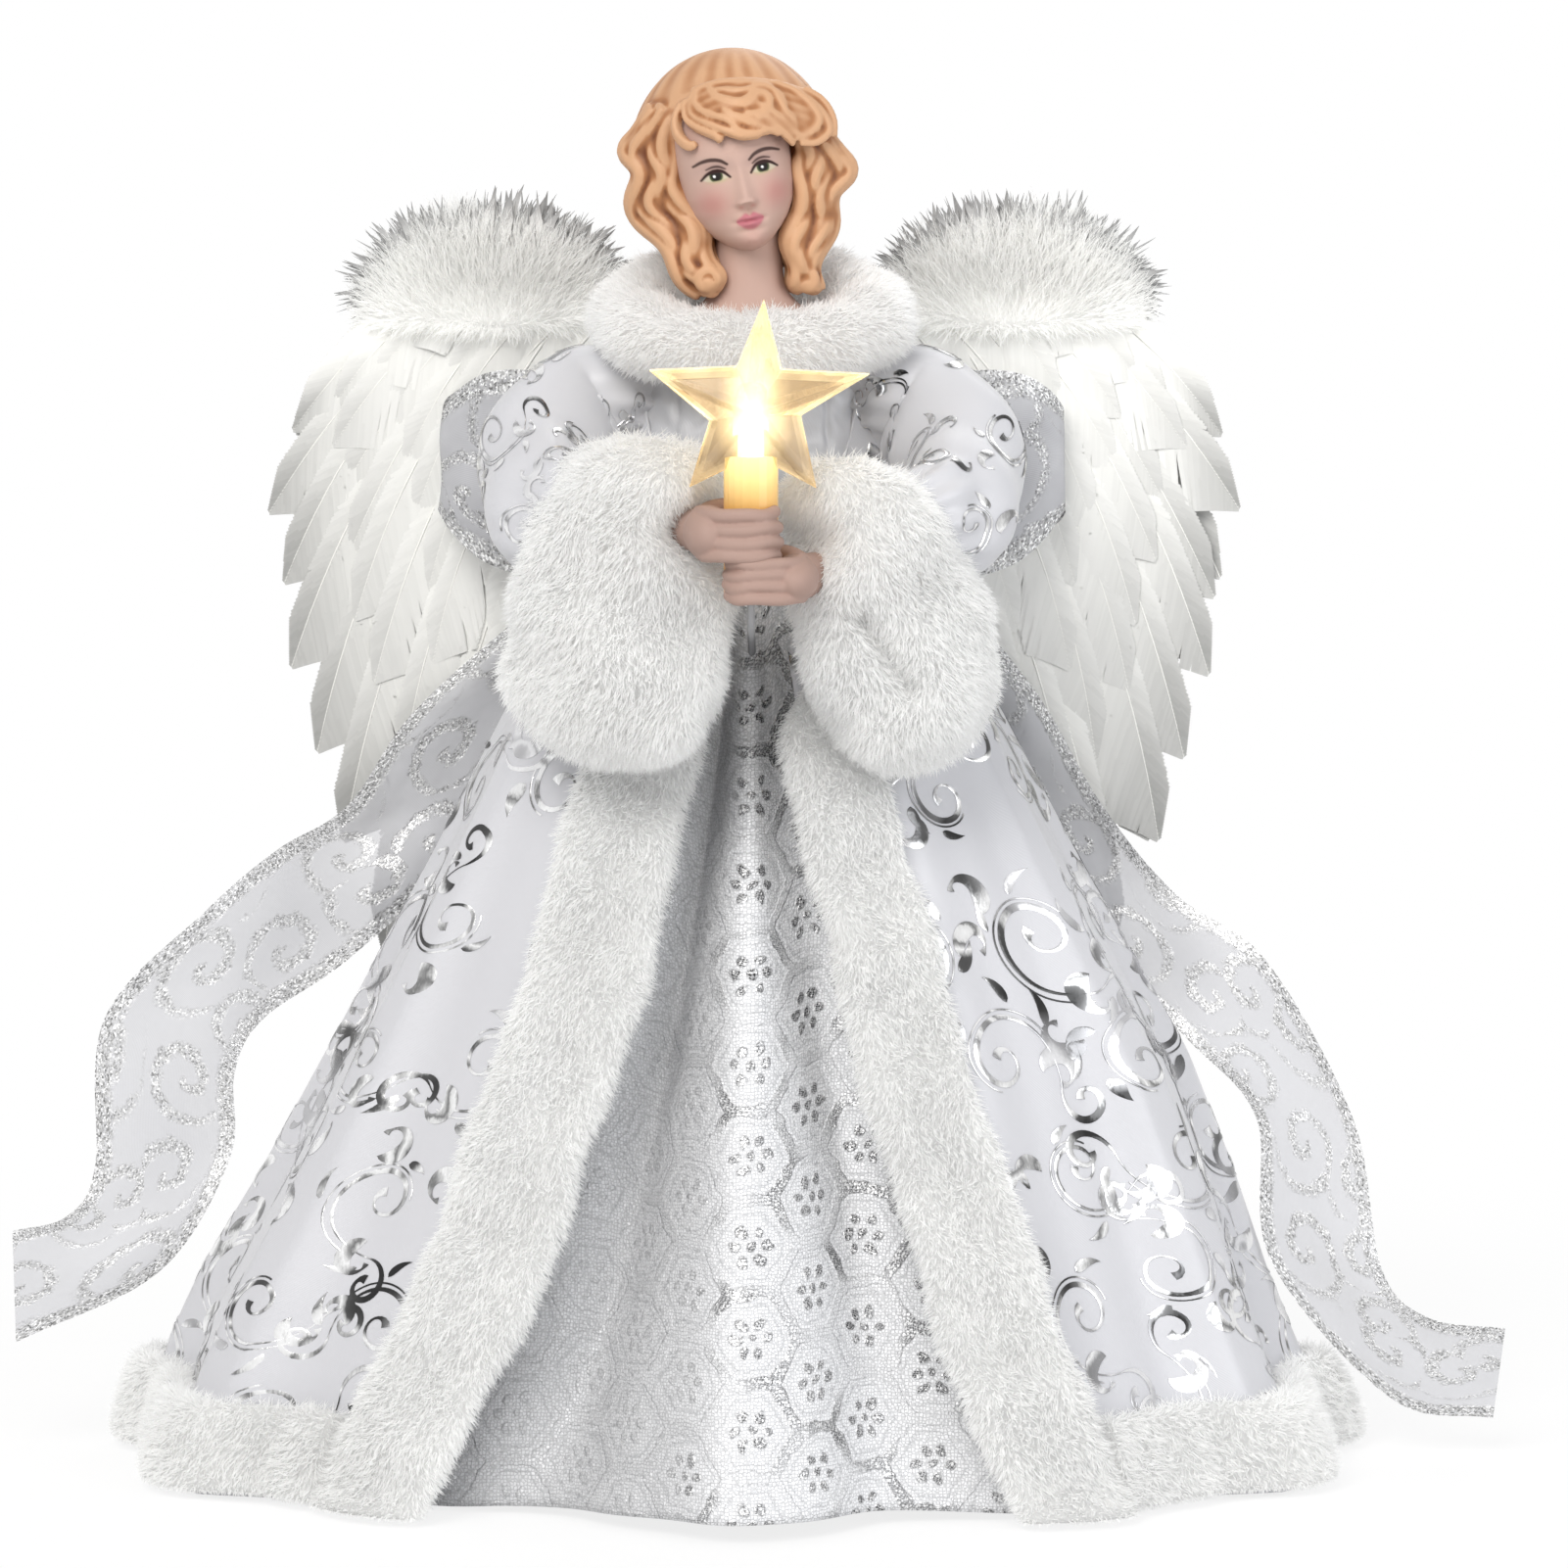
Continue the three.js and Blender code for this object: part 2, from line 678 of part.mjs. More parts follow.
function gownPoint(angle, z, off) {
  const fall = clamp((gownTop - z) / (gownTop - groundGap), 0, 1);
  const edge = angle < 0 ? rightEdgeDegrees : leftEdgeDegrees;
  const limit = gownFrontShare * edgeAngle(edge, z);
  const front = Math.abs(angle) < limit ? (1 + Math.cos((Math.PI * angle) / limit)) / 2 : 0;
  const halfWidth = lerp(gownTopHalfWidth, gownHemHalfWidth, fall);
  const hemDepth = lerp(gownHemHalfDepth, gownFrontDepth, front);
  const halfDepth = lerp(gownTopHalfDepth, hemDepth, fall);
  const out = off + gownFoldDepth * fall * Math.cos(gownFoldCount * angle);
  return point((halfWidth + out) * Math.sin(angle), -(halfDepth + out) * Math.cos(angle), z);
}

function gownSkirt() {
  const columns = 60;
  const layer = (off) =>
    steps(4, (share) => {
      const z = lerp(groundGap, gownTop, share);
      return Array.from({ length: columns }, (_, i) => gownPoint((i / columns - 0.5) * tau, z, off));
    });
  return cut(pipe(layer(clothThickness / 2), layer(-clothThickness / 2)), lead(seatGap));
}

function gownBodice() {
  const [base, top] = [gownTop + seatGap, torsoTop - bodiceTopDrop];
  const shell = pipe(torsoRings(base, top, bodiceEase + clothThickness), torsoRings(base, top, bodiceEase));
  const wires = sides.map(({ sign }) => armWire(sign, seatGap));
  return cut(shell, ...wires, bracketStem(seatGap));
}

function waistBand() {
  const base = gownTop + seatGap + 1;
  const off = bodiceEase + clothThickness + seatGap;
  const top = base + waistBandHeight;
  return pipe(torsoRings(base, top, off + clothThickness), torsoRings(base, top, off));
}

// Wing bracket: a stem through the coat's back, and two bars that hold the wing pins
const stemMiddle = knuckleBase + knuckleHeight / 2;

function bracketStem(grow = 0) {
  return boxFromTo(
    [-bracketStemHalfWidth - grow, shoulderHalfDepth - bracketSeat - grow, stemMiddle - bracketStemHeight / 2 - grow],
    [bracketStemHalfWidth + grow, wingPlane, stemMiddle + bracketStemHeight / 2 + grow],
  );
}

function wingBracket() {
  const barReach = wingPinOffset + bracketBar / 2;
  const lowBar = knuckleBase - runningGap - bracketBar;
  const highBar = knuckleTop + runningGap;
  const bar = (base) =>
    boxFromTo(
      [-barReach, wingPlane - bracketBar / 2, base],
      [barReach, wingPlane + bracketBar / 2, base + bracketBar],
    );
  const spine = boxFromTo(
    [-bracketStemHalfWidth, wingPlane - bracketBar / 2, lowBar],
    [bracketStemHalfWidth, wingPlane + bracketBar / 2, highBar + bracketBar],
  );
  const pins = sides.map(({ sign }) =>
    rod(
      [point(sign * wingPinOffset, wingPlane, lowBar + 1), point(sign * wingPinOffset, wingPlane, highBar + 1)],
      wingPinRadius,
      16,
      1,
    ),
  );
  return joined(bracketStem(), bar(lowBar), bar(highBar), spine, ...pins);
}

// Wings, drawn for the figure's left: feathers run from a root line to the tips
const wingTips = new THREE.SplineCurve(
  [
    [90, 1.7],
    [101, -14.3],
    [105.5, -36.3],
    [103, -54.3],
    [99, -71.3],
    [93, -90.3],
    [88, -109.3],
    [80, -133.3],
  ].map(([x, z]) => new THREE.Vector2(x, torsoTop + z)),
);
const wingRoots = new THREE.QuadraticBezierCurve(
  new THREE.Vector2(74, torsoTop + 10.7),
  new THREE.Vector2(20, torsoTop + 15.7),
  new THREE.Vector2(22, torsoTop - 36.3),
);

function featherOutline(sign, reach) {
  const along = (share, part) => {
    const root = wingRoots.getPoint(share);
    const tip = wingTips.getPoint(share);
    return [sign * lerp(root.x, tip.x, part), lerp(root.y, tip.y, part)];
  };
  const edge = [];
  for (let i = 0; i < featherCount; i++) {
    const share = i / (featherCount - 1);
    edge.push(along(share, reach));
    if (i < featherCount - 1) {
      edge.push(along(share + 0.62 / (featherCount - 1), reach * (1 - featherNotch)));
    }
  }
  const root = steps(6, (share) => along(1 - share, 0));
  return [...edge, ...root];
}

const layerPitch = featherThickness + featherGap;
const boardFront = wingPlane - boardThickness / 2;
const wingFront = boardFront - rowReach.length * layerPitch;
const wingBack = boardFront + boardThickness + layerPitch;

function wingBoard(sign) {
  const outline = [
    [wingPinOffset + knuckleRadius - 1.5, knuckleBase],
    [wingPinOffset + knuckleRadius - 1.5, knuckleTop],
    [wingPinOffset + bracketBar, knuckleTop],
    [30, torsoTop + 3.7],
    [45, torsoTop + 9.7],
    [70, torsoTop + 7.7],
    [84, torsoTop - 10.3],
    [88, torsoTop - 40.3],
    [80, torsoTop - 78.3],
    [62, torsoTop - 80.3],
    [34, torsoTop - 48.3],
    [wingPinOffset + bracketBar, knuckleBase],
  ].map(([x, z]) => [sign * x, z]);
  const ring = (radius) =>
    rod(
      [point(sign * wingPinOffset, wingPlane, knuckleBase), point(sign * wingPinOffset, wingPlane, knuckleTop)],
      radius,
      20,
      1,
    );
  const pinHole = rod(
    [point(sign * wingPinOffset, wingPlane, knuckleBase - 1), point(sign * wingPinOffset, wingPlane, knuckleTop + 1)],
    wingPinRadius + runningGap,
    20,
    1,
  );
  return cut(joined(plate(outline, boardFront, boardThickness), ring(knuckleRadius)), pinHole);
}

// Down over the wing's upper edge, slotted where the board and the feathers come up into it.
function marabou(sign) {
  const stations = [
    { at: point(sign * 31, wingPlane, torsoTop + 10.7), wide: 4, tall: 5 },
    { at: point(sign * 38, wingPlane, torsoTop + 16.7), wide: marabouHalfDepth, tall: marabouHalfHeight },
    { at: point(sign * 58, wingPlane, torsoTop + 20.2), wide: marabouHalfDepth, tall: marabouHalfHeight },
    { at: point(sign * 78, wingPlane, torsoTop + 14.7), wide: marabouHalfDepth, tall: marabouHalfHeight * 0.9 },
    { at: point(sign * 87, wingPlane, torsoTop + 8.7), wide: 4, tall: 6 },
  ];
  const slotTop = torsoTop + 12.7;
  const slot = boxFromTo([-2 * loopReach, wingFront - featherGap, 0], [2 * loopReach, wingBack + featherGap, slotTop]);
  return cut(loft(ringsAlong(stations, 8, 10)), slot);
}

function addWing({ name, sign }) {
  add(`${name}_wing_board`, wingBoard(sign), card);
  rowReach.forEach((reach, row) => {
    const front = boardFront - (row + 1) * layerPitch;
    add(`${name}_wing_feather_row_${row + 1}`, plate(featherOutline(sign, reach), front, featherThickness), feather);
  });
  const back = boardFront + boardThickness + featherGap;
  add(`${name}_wing_back_feather_row`, plate(featherOutline(sign, backRowReach), back, featherThickness), feather);
  add(`${name}_wing_marabou`, marabou(sign), feather);
}

// Ribbon: a strip between two edges, each a list of points
function ribbonStrip(edgePairs, count) {
  const one = new THREE.CatmullRomCurve3(edgePairs.map((pair) => pair[0]));
  const two = new THREE.CatmullRomCurve3(edgePairs.map((pair) => pair[1]));
  const middle = (share) => one.getPoint(share).lerp(two.getPoint(share), 0.5);
  const rows = steps(count, (share) => {
    const [a, b] = [one.getPoint(share), two.getPoint(share)];
    const ahead = middle(Math.min(1, share + 0.01)).sub(middle(Math.max(0, share - 0.01)));
    const face = ahead.cross(b.clone().sub(a)).normalize().multiplyScalar(ribbonThickness / 2);
    return { a, b, face };
  });
  const layer = (way) =>
    rows.map(({ a, b, face }) => [a, b].map((edge) => edge.clone().addScaledVector(face, way)));
  return panel(layer(1), layer(-1));
}

const knotBack = sizesAt(coatStations, knotHeight - knotHalfHeight)[1] + clothThickness / 2 + seatGap + knotHalfDepth;

function bowKnot() {
  return ellipsoid(point(0, knotBack, knotHeight), knotHalfWidth, knotHalfDepth, knotHalfHeight);
}

function bowLoop(sign) {
  const route = [
    [knotHalfWidth + seatGap, knotBack - 1.4, 0.25],
    [24, knotBack - 4, 0.7],
    [45, knotBack - 8, 1],
    [loopReach - 4, knotBack - 7, 1],
    [loopReach, knotBack - 2.5, 0.98],
    [loopReach - 8, knotBack + 1.5, 0.95],
    [40, knotBack + 2.6, 0.9],
    [22, knotBack + 2.6, 0.6],
    [knotHalfWidth + seatGap, knotBack + 1.4, 0.25],
  ];
  const pairs = route.map(([x, y, share]) => {
    const middle = knotHeight + 6 * (x / loopReach);
    return [1, -1].map((way) => point(sign * x, y, middle + way * loopHalfWidth * share));
  });
  return ribbonStrip(pairs, 20);
}

// Each tail runs down between coat and wing, folds outwards, falls and flicks out at its end: outer and
// inner edge as [x, y, share of the knot's height], sideways from the middle
const rightTailEdges = [
  [[11, 29, 0.9707], [3, 29, 0.961]],
  [[38, 31, 0.9171], [20, 31, 0.8488]],
  [[72, 30, 0.7805], [49, 31, 0.761]],
  [[88, 29, 0.6732], [63, 30, 0.6244]],
  [[103, 22, 0.6293], [88, 22, 0.5122]],
  [[118, 14, 0.5707], [106, 14, 0.4537]],
  [[140, 8, 0.4585], [112, 8, 0.4]],
  [[142, 4, 0.3024], [113, 4, 0.3122]],
  [[148, 0, 0.2537], [128, 0, 0.1951]],
  [[159.5, -2, 0.239], [159, -2, 0.122]],
];
const leftTailEdges = [
  [[11, 29, 0.9707], [3, 29, 0.961]],
  [[36, 31, 0.9268], [18, 31, 0.8537]],
  [[60, 30, 0.8049], [42, 31.5, 0.7512]],
  [[76, 29, 0.6732], [58, 30, 0.6146]],
  [[92, 22, 0.5805], [80, 22, 0.4976]],
  [[111, 13, 0.5171], [95, 13, 0.4293]],
  [[130, 8, 0.3512], [109, 8, 0.3512]],
  [[136, 3, 0.1951], [112, 3, 0.2049]],
  [[146, 0, 0.1463], [138, 0, 0.0585]],
  [[162.5, -2, 0.1366], [160, -2, 0.039]],
];

function bowTail(sign) {
  const edges = sign < 0 ? rightTailEdges : leftTailEdges;
  return ribbonStrip(
    edges.map((pair) => pair.map(([x, y, share]) => point(sign * x, y, knotHeight * share))),
    24,
  );
}

// Candle and bulb
function candleTube() {
  return turned([
    [candleBoreRadius, candleBottom],
    [candleRadius, candleBottom],
    [candleRadius, candleTop],
    [candleBoreRadius, candleTop],
    [candleBoreRadius, candleBottom],
  ]).translate(0, -candleForward, 0);
}

const bulbBase = candleTop - bulbSeat;
const bulbTop = candleTop + bulbHeight;

function ledBulb() {
  const dome = steps(4, (share) => {
    const angle = (share * Math.PI) / 2;
    return [bulbRadius * Math.cos(angle), bulbTop - bulbRadius + bulbRadius * Math.sin(angle)];
  });
  dome.at(-1)[0] = 0;
  const seat = candleBoreRadius - seatGap;
  return turned(
    [[0, bulbBase], [seat, bulbBase], [seat, candleTop], [bulbRadius, candleTop], ...dome],
    16,
  ).translate(0, -candleForward, 0);
}

// Star: ten facets on each face, and a socket that goes over the bulb
function starCover() {
  const outline = Array.from({ length: 10 }, (_, i) => {
    const angle = (i / 10) * tau;
    const radius = i % 2 === 0 ? starRadius : starNotchRadius;
    return [radius * Math.sin(angle), radius * Math.cos(angle)];
  });
  const layer = (y) => outline.map(([x, z]) => point(x, y, z));
  const points = [...layer(-starHalfEdge), ...layer(starHalfEdge)];
  points.push(point(0, -starHalfMiddle, 0), point(0, starHalfMiddle, 0));
  const triangles = [];
  outline.forEach((_, i) => {
    const j = (i + 1) % 10;
    triangles.push([20, j, i], [21, 10 + i, 10 + j], [i, j, 10 + j], [i, 10 + j, 10 + i]);
  });
  const star = bodyOf(points, triangles).translate(0, -candleForward, starHeight);
  const base = candleTop + seatGap;
  const socket = turned([
    [0, base],
    [starSocketRadius, base],
    [starSocketRadius, base + starSocketHeight],
    [0, base + starSocketHeight],
  ]).translate(0, -candleForward, 0);
  const boreRadius = bulbRadius + runningGap;
  const bore = turned([
    [0, candleBottom],
    [boreRadius, candleBottom],
    [boreRadius, bulbTop + runningGap],
    [0, bulbTop + runningGap],
  ]).translate(0, -candleForward, 0);
  return cut(joined(cut(star, candleRod(runningGap)), socket), bore);
}

// Battery case frame: on the cone's back, leaning with it
const caseTilt = Math.atan(coneSlope);
const caseFrame = new THREE.Group();
caseFrame.position.set(0, coneRadius(caseHeight), caseHeight);
caseFrame.rotation.x = caseTilt;
topper.add(caseFrame);

const cellPitch = cellRadius + seatGap / 2;
const caseHalfWidth = 2 * cellPitch + seatGap + caseWall;
const caseDepth = 2 * (cellRadius + seatGap) + 2 * caseWall;
const caseBack = seatGap;
const caseFront = caseBack + caseDepth;
const cellAxis = caseBack + caseWall + seatGap + cellRadius;
const cellBase = -cellLength / 2;
const doorContactBase = cellBase - seatGap - contactThickness;
const doorTop = doorContactBase;
const doorBase = doorTop - doorThickness;
const caseBase = doorBase - seatGap - doorLip;
const tabBase = cellBase + cellLength + seatGap;
const cavityTop = tabBase + contactThickness + seatGap;
const caseTop = cavityTop + caseWall + switchBay;

const caseToWorld = (x, y, z) => {
  caseFrame.updateMatrix();
  return point(x, y, z).applyMatrix4(caseFrame.matrix);
};

// Lead: down out of the candle, back into the cone, along its rear wall and out to the case
function lead(grow = 0) {
  const wallSide = (z) => point(0, coneRadius(z) - coneWall / Math.cos(caseTilt) - leadRadius - 2 * seatGap, z);
  const inlet = caseToWorld(0, cellAxis, caseTop + seatGap);
  const route = [
    point(0, -candleForward, bulbBase - seatGap),
    point(0, -candleForward, candleBottom + 4),
    point(0, -candleForward + 0.6, candleBottom - 2),
    point(0, -candleForward + 5, candleBottom - 7.5),
    point(0, -candleForward + 18, candleBottom - 10.5),
    point(0, -36, coneHeight - 4),
    point(0, -22, coneHeight - 8),
    point(0, -10, coneHeight - 14),
    point(0, 2, coneHeight - 23),
    point(0, 11, coneHeight - 33),
    wallSide(135),
    wallSide(110),
    wallSide(90),
    point(0, inlet.y - 6.5, inlet.z + 7.5),
    point(0, inlet.y - 1, inlet.z + 4.5),
    inlet,
  ];
  return rod(route, leadRadius, 6, 36, grow);
}

function batteryCase() {
  const shell = boxFromTo([-caseHalfWidth, caseBack, caseBase], [caseHalfWidth, caseFront, caseTop]);
  const cavity = boxFromTo(
    [-caseHalfWidth + caseWall, caseBack + caseWall, doorBase],
    [caseHalfWidth - caseWall, caseFront - caseWall, cavityTop],
  );
  const groove = boxFromTo(
    [-caseHalfWidth + caseWall, caseBack + caseWall - seatGap, doorBase - seatGap],
    [2 * caseHalfWidth, caseFront - caseWall + seatGap, doorTop + seatGap],
  );
  const mouth = boxFromTo(
    [-caseHalfWidth + caseWall, caseBack + 2 * caseWall, 2 * caseBase],
    [2 * caseHalfWidth, caseFront - 2 * caseWall, doorBase],
  );
  const contactWay = boxFromTo(
    [0, cellAxis - contactHalfDepth - seatGap, doorTop],
    [2 * caseHalfWidth, cellAxis + contactHalfDepth + seatGap, doorContactBase + contactThickness + seatGap],
  );
  return cut(shell, cavity, groove, mouth, contactWay, switchPocket());
}

const pocketDepth = caseDepth / 2;
const pocketBase = caseTop - switchBay + caseWall;

function switchPocket() {
  const halfLength = (switchWidth + switchTravel) / 2 + seatGap;
  return boxFromTo([-halfLength, caseFront - pocketDepth, pocketBase], [halfLength, 2 * caseFront, caseTop - caseWall]);
}

function switchSlider() {
  const start = -(switchWidth + switchTravel) / 2;
  return boxFromTo(
    [start, caseFront - pocketDepth + seatGap, pocketBase + seatGap],
    [start + switchWidth, caseFront + switchProud, caseTop - caseWall - seatGap],
  );
}

function batteryDoor() {
  const runner = boxFromTo(
    [-caseHalfWidth + caseWall + seatGap, caseBack + caseWall, doorBase],
    [caseHalfWidth, caseFront - caseWall, doorTop],
  );
  const face = boxFromTo(
    [-caseHalfWidth + caseWall + seatGap, caseBack + 2 * caseWall + seatGap, caseBase],
    [caseHalfWidth, caseFront - 2 * caseWall - seatGap, doorTop],
  );
  return joined(runner, face);
}

function contact(x, base, halfWidth) {
  return boxFromTo(
    [x - halfWidth, cellAxis - contactHalfDepth, base],
    [x + halfWidth, cellAxis + contactHalfDepth, base + contactThickness],
  );
}

function cell(sign) {
  const body = cellLength - cellNubHeight;
  const profile = [
    [0, 0],
    [cellRadius, 0],
    [cellRadius, body],
    [cellNubRadius, body],
    [cellNubRadius, cellLength],
    [0, cellLength],
  ];
  const upright = turned(profile, 20).translate(0, 0, -cellLength / 2);
  if (sign < 0) {
    upright.rotateX(Math.PI);
  }
  return upright.translate(sign * cellPitch, cellAxis, cellBase + cellLength / 2);
}

// Assembly
add("cone_core", cut(coneCore(), lead(seatGap)), card);
add(
  "torso_form",
  cut(
    loft(torsoRings(torsoBase, torsoTop, 0)),
    dowel(seatGap),
    bracketStem(seatGap),
    ...sides.map(({ sign }) => armWire(sign, seatGap)),
  ),
  foam,
);
add("neck_dowel", dowel(), wood);
add("bust_head", bustHead(), paintedResin);
add("gown_bodice", gownBodice(), printedSatin);
add("gown_skirt", gownSkirt(), brocade);
add("waist_band", waistBand(), brocade);
add("fur_collar", collar(), whiteFur);

for (const side of sides) {
  const { name, sign } = side;
  const sleeve = ringsAlong(sleeveStations(sign), 7, 11);
  const sleeveInside = ringsAlong(sleeveStations(sign), 7, 11, -sleeveWall);
  const sleeveCutter = loft(ringsAlong(sleeveStations(sign), 7, 11, seatGap));
  const cuff = ringsAlong(cuffStations(sign), 5, 14, 0, true);
  const cuffInside = ringsAlong(cuffStations(sign), 5, 14, -cuffWall, true);
  add(`${name}_hand`, hand(sign), paintedResin);
  add(`${name}_arm_wire`, armWire(sign), steel);
  add(`${name}_sleeve`, cut(pipe(sleeve, sleeveInside), coatCore(seatGap), collar(seatGap)), printedSatin);
  add(`${name}_cuff`, cut(pipe(cuff, cuffInside), sleeveCutter, wrist(sign, seatGap)), whiteFur);
  add(`coat_${name}_panel`, coatPanel(side), printedSatin);
  add(`${name}_front_trim`, frontTrim(side), whiteFur);
  add(`${name}_hem_trim`, hemTrim(side), whiteFur);
  add(`${name}_bow_loop`, bowLoop(sign), organza);
  add(`${name}_bow_tail`, bowTail(sign), organza);
  addWing(side);
}

add("bow_knot", bowKnot(), organza);
add("wing_bracket", wingBracket(), whitePlastic);
add("candle_tube", candleTube(), amberWax);
add("led_bulb", ledBulb(), litBulb);
add("led_lead", lead(), whitePlastic);
add("star_cover", starCover(), clearPlastic);
add("battery_case", batteryCase(), whitePlastic, caseFrame);
add("battery_1", cell(-1), cellJacket, caseFrame);
add("battery_2", cell(1), cellJacket, caseFrame);
add("contact_tab_1", contact(-cellPitch, tabBase, contactHalfDepth), brass, caseFrame);
add("contact_tab_2", contact(cellPitch, tabBase, contactHalfDepth), brass, caseFrame);
add("battery_door", batteryDoor(), whitePlastic, caseFrame);
add("door_contact", contact(0, doorContactBase, 2 * cellPitch - seatGap), brass, caseFrame);
add("switch_slider", switchSlider(), blackPlastic, caseFrame);

export default topper;
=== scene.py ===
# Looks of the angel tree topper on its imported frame.
# The code works in millimetres, Blender in metres. The figure faces -Y, so its left side is +X.
import json
import math

import bmesh
import bpy
import numpy as np
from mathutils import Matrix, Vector

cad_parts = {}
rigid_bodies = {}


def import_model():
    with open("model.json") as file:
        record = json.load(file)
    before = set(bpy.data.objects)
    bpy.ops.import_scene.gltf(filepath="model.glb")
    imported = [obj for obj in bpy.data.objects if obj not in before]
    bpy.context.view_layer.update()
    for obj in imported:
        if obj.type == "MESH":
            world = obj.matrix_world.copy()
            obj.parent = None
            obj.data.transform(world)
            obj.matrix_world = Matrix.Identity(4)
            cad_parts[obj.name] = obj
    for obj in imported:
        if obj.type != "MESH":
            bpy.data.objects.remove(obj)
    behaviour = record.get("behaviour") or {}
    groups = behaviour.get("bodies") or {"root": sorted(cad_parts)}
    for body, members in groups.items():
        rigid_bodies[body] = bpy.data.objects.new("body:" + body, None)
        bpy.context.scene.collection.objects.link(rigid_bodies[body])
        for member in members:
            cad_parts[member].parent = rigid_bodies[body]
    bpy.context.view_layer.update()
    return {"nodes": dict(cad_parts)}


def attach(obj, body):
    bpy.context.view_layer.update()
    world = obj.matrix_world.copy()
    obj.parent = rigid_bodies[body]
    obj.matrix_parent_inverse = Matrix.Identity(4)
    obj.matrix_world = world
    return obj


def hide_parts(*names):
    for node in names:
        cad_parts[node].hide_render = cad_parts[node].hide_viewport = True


for old in list(bpy.data.objects):
    bpy.data.objects.remove(old)
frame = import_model()
nodes = frame["nodes"]
scene = bpy.context.scene
scene.view_settings.view_transform = "Standard"
mm = 0.001
sides = {"right": -1, "left": 1}
print("frame loaded,", len(nodes), "nodes")


# meshes from arrays of points
def addPiece(name, points, faces, smooth=True):
    mesh = bpy.data.meshes.new(name)
    mesh.from_pydata((np.asarray(points, float) * mm).tolist(), [], faces)
    mesh.polygons.foreach_set("use_smooth", [smooth] * len(mesh.polygons))
    mesh.update()
    piece = bpy.data.objects.new(name, mesh)
    scene.collection.objects.link(piece)
    return piece


def gridFaces(rows, cols, closed=False, flip=False, start=0):
    faces = []
    for r in range(rows - 1):
        for c in range(cols if closed else cols - 1):
            n = (c + 1) % cols
            quad = (start + r * cols + c, start + r * cols + n, start + (r + 1) * cols + n,
                    start + (r + 1) * cols + c)
            faces.append(quad[::-1] if flip else quad)
    return faces


# a sheet or tube from a grid of points; uv has one more column than a closed grid
def addGrid(name, grid, closed=False, flip=False, uv=None):
    grid = np.asarray(grid, float)
    rows, cols = grid.shape[:2]
    piece = addPiece(name, grid.reshape(-1, 3), gridFaces(rows, cols, closed, flip))
    if uv is not None:
        uv = np.asarray(uv, float)
        layer = piece.data.uv_layers.new(name="cloth")
        flat = []
        for r in range(rows - 1):
            for c in range(cols if closed else cols - 1):
                quad = [uv[r, c], uv[r, c + 1], uv[r + 1, c + 1], uv[r + 1, c]]
                flat += quad[::-1] if flip else quad
        layer.data.foreach_set("uv", np.array(flat).ravel())
    return piece


def applyModifiers(piece):
    graph = bpy.context.evaluated_depsgraph_get()
    mesh = bpy.data.meshes.new_from_object(piece.evaluated_get(graph))
    piece.modifiers.clear()
    old = piece.data
    piece.data = mesh
    bpy.data.meshes.remove(old)
    return piece


def thicken(piece, thickness, offset=0.0, levels=0):
    if levels:
        sub = piece.modifiers.new("smooth", "SUBSURF")
        sub.levels = sub.render_levels = levels
    wall = piece.modifiers.new("cloth", "SOLIDIFY")
    wall.thickness, wall.offset = thickness * mm, offset
    return applyModifiers(piece)


def wear(piece, finish, body="figure", replaces=()):
    piece.data.materials.clear()
    piece.data.materials.append(finish)
    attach(piece, body)
    if replaces:
        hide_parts(*replaces)
    return piece


def meshArea(piece):
    return sum(p.area for p in piece.data.polygons)


def fullTurn(count):
    return np.linspace(0, 2 * math.pi, count, endpoint=False)


def joined(x, y, z=None):
    parts = (x, y) if z is None else (x, y, z)
    return np.stack(np.broadcast_arrays(*parts), -1)


def smoothStep(x):
    x = np.clip(x, 0, 1)
    return x * x * (3 - 2 * x)


# points evenly shared along a smooth curve through the given ones
def splineThrough(points, count):
    points = np.asarray(points, float)
    ends = np.vstack([2 * points[0] - points[1], points, 2 * points[-1] - points[-2]])
    spans = len(points) - 1
    out = []
    for share in np.linspace(0, spans, count):
        i = min(int(share), spans - 1)
        t = share - i
        a, b, c, d = ends[i : i + 4]
        out.append(0.5 * (2 * b + (c - a) * t + (2 * a - 5 * b + 4 * c - d) * t**2
                          + (3 * b - a - 3 * c + d) * t**3))
    return np.array(out)


# finishes
def newFinish(name):
    finish = bpy.data.materials.new(name)
    finish.use_nodes = True
    return finish, finish.node_tree, finish.node_tree.nodes["Principled BSDF"]


def setInput(node, key, value):
    if isinstance(value, bpy.types.NodeSocket):
        node.id_data.links.new(value, node.inputs[key])
    else:
        node.inputs[key].default_value = value


def addNode(tree, kind, values=None, **settings):
    made = tree.nodes.new(kind)
    for key, value in settings.items():
        setattr(made, key, value)
    for key, value in (values or {}).items():
        setInput(made, key, value)
    return made


# a value carried over from one range to another
def fit(tree, value, span=(0.0, 1.0), to=(0.0, 1.0), **settings):
    values = {0: value, 1: span[0], 2: span[1], 3: to[0], 4: to[1]}
    return addNode(tree, "ShaderNodeMapRange", values, **settings).outputs[0]


# a value stored on the mesh
def marked(tree, name, output="Fac"):
    return addNode(tree, "ShaderNodeAttribute", attribute_name=name).outputs[output]


def calc(tree, operation, one, two=0.0, three=0.0):
    return addNode(tree, "ShaderNodeMath", {0: one, 1: two, 2: three}, operation=operation).outputs[0]


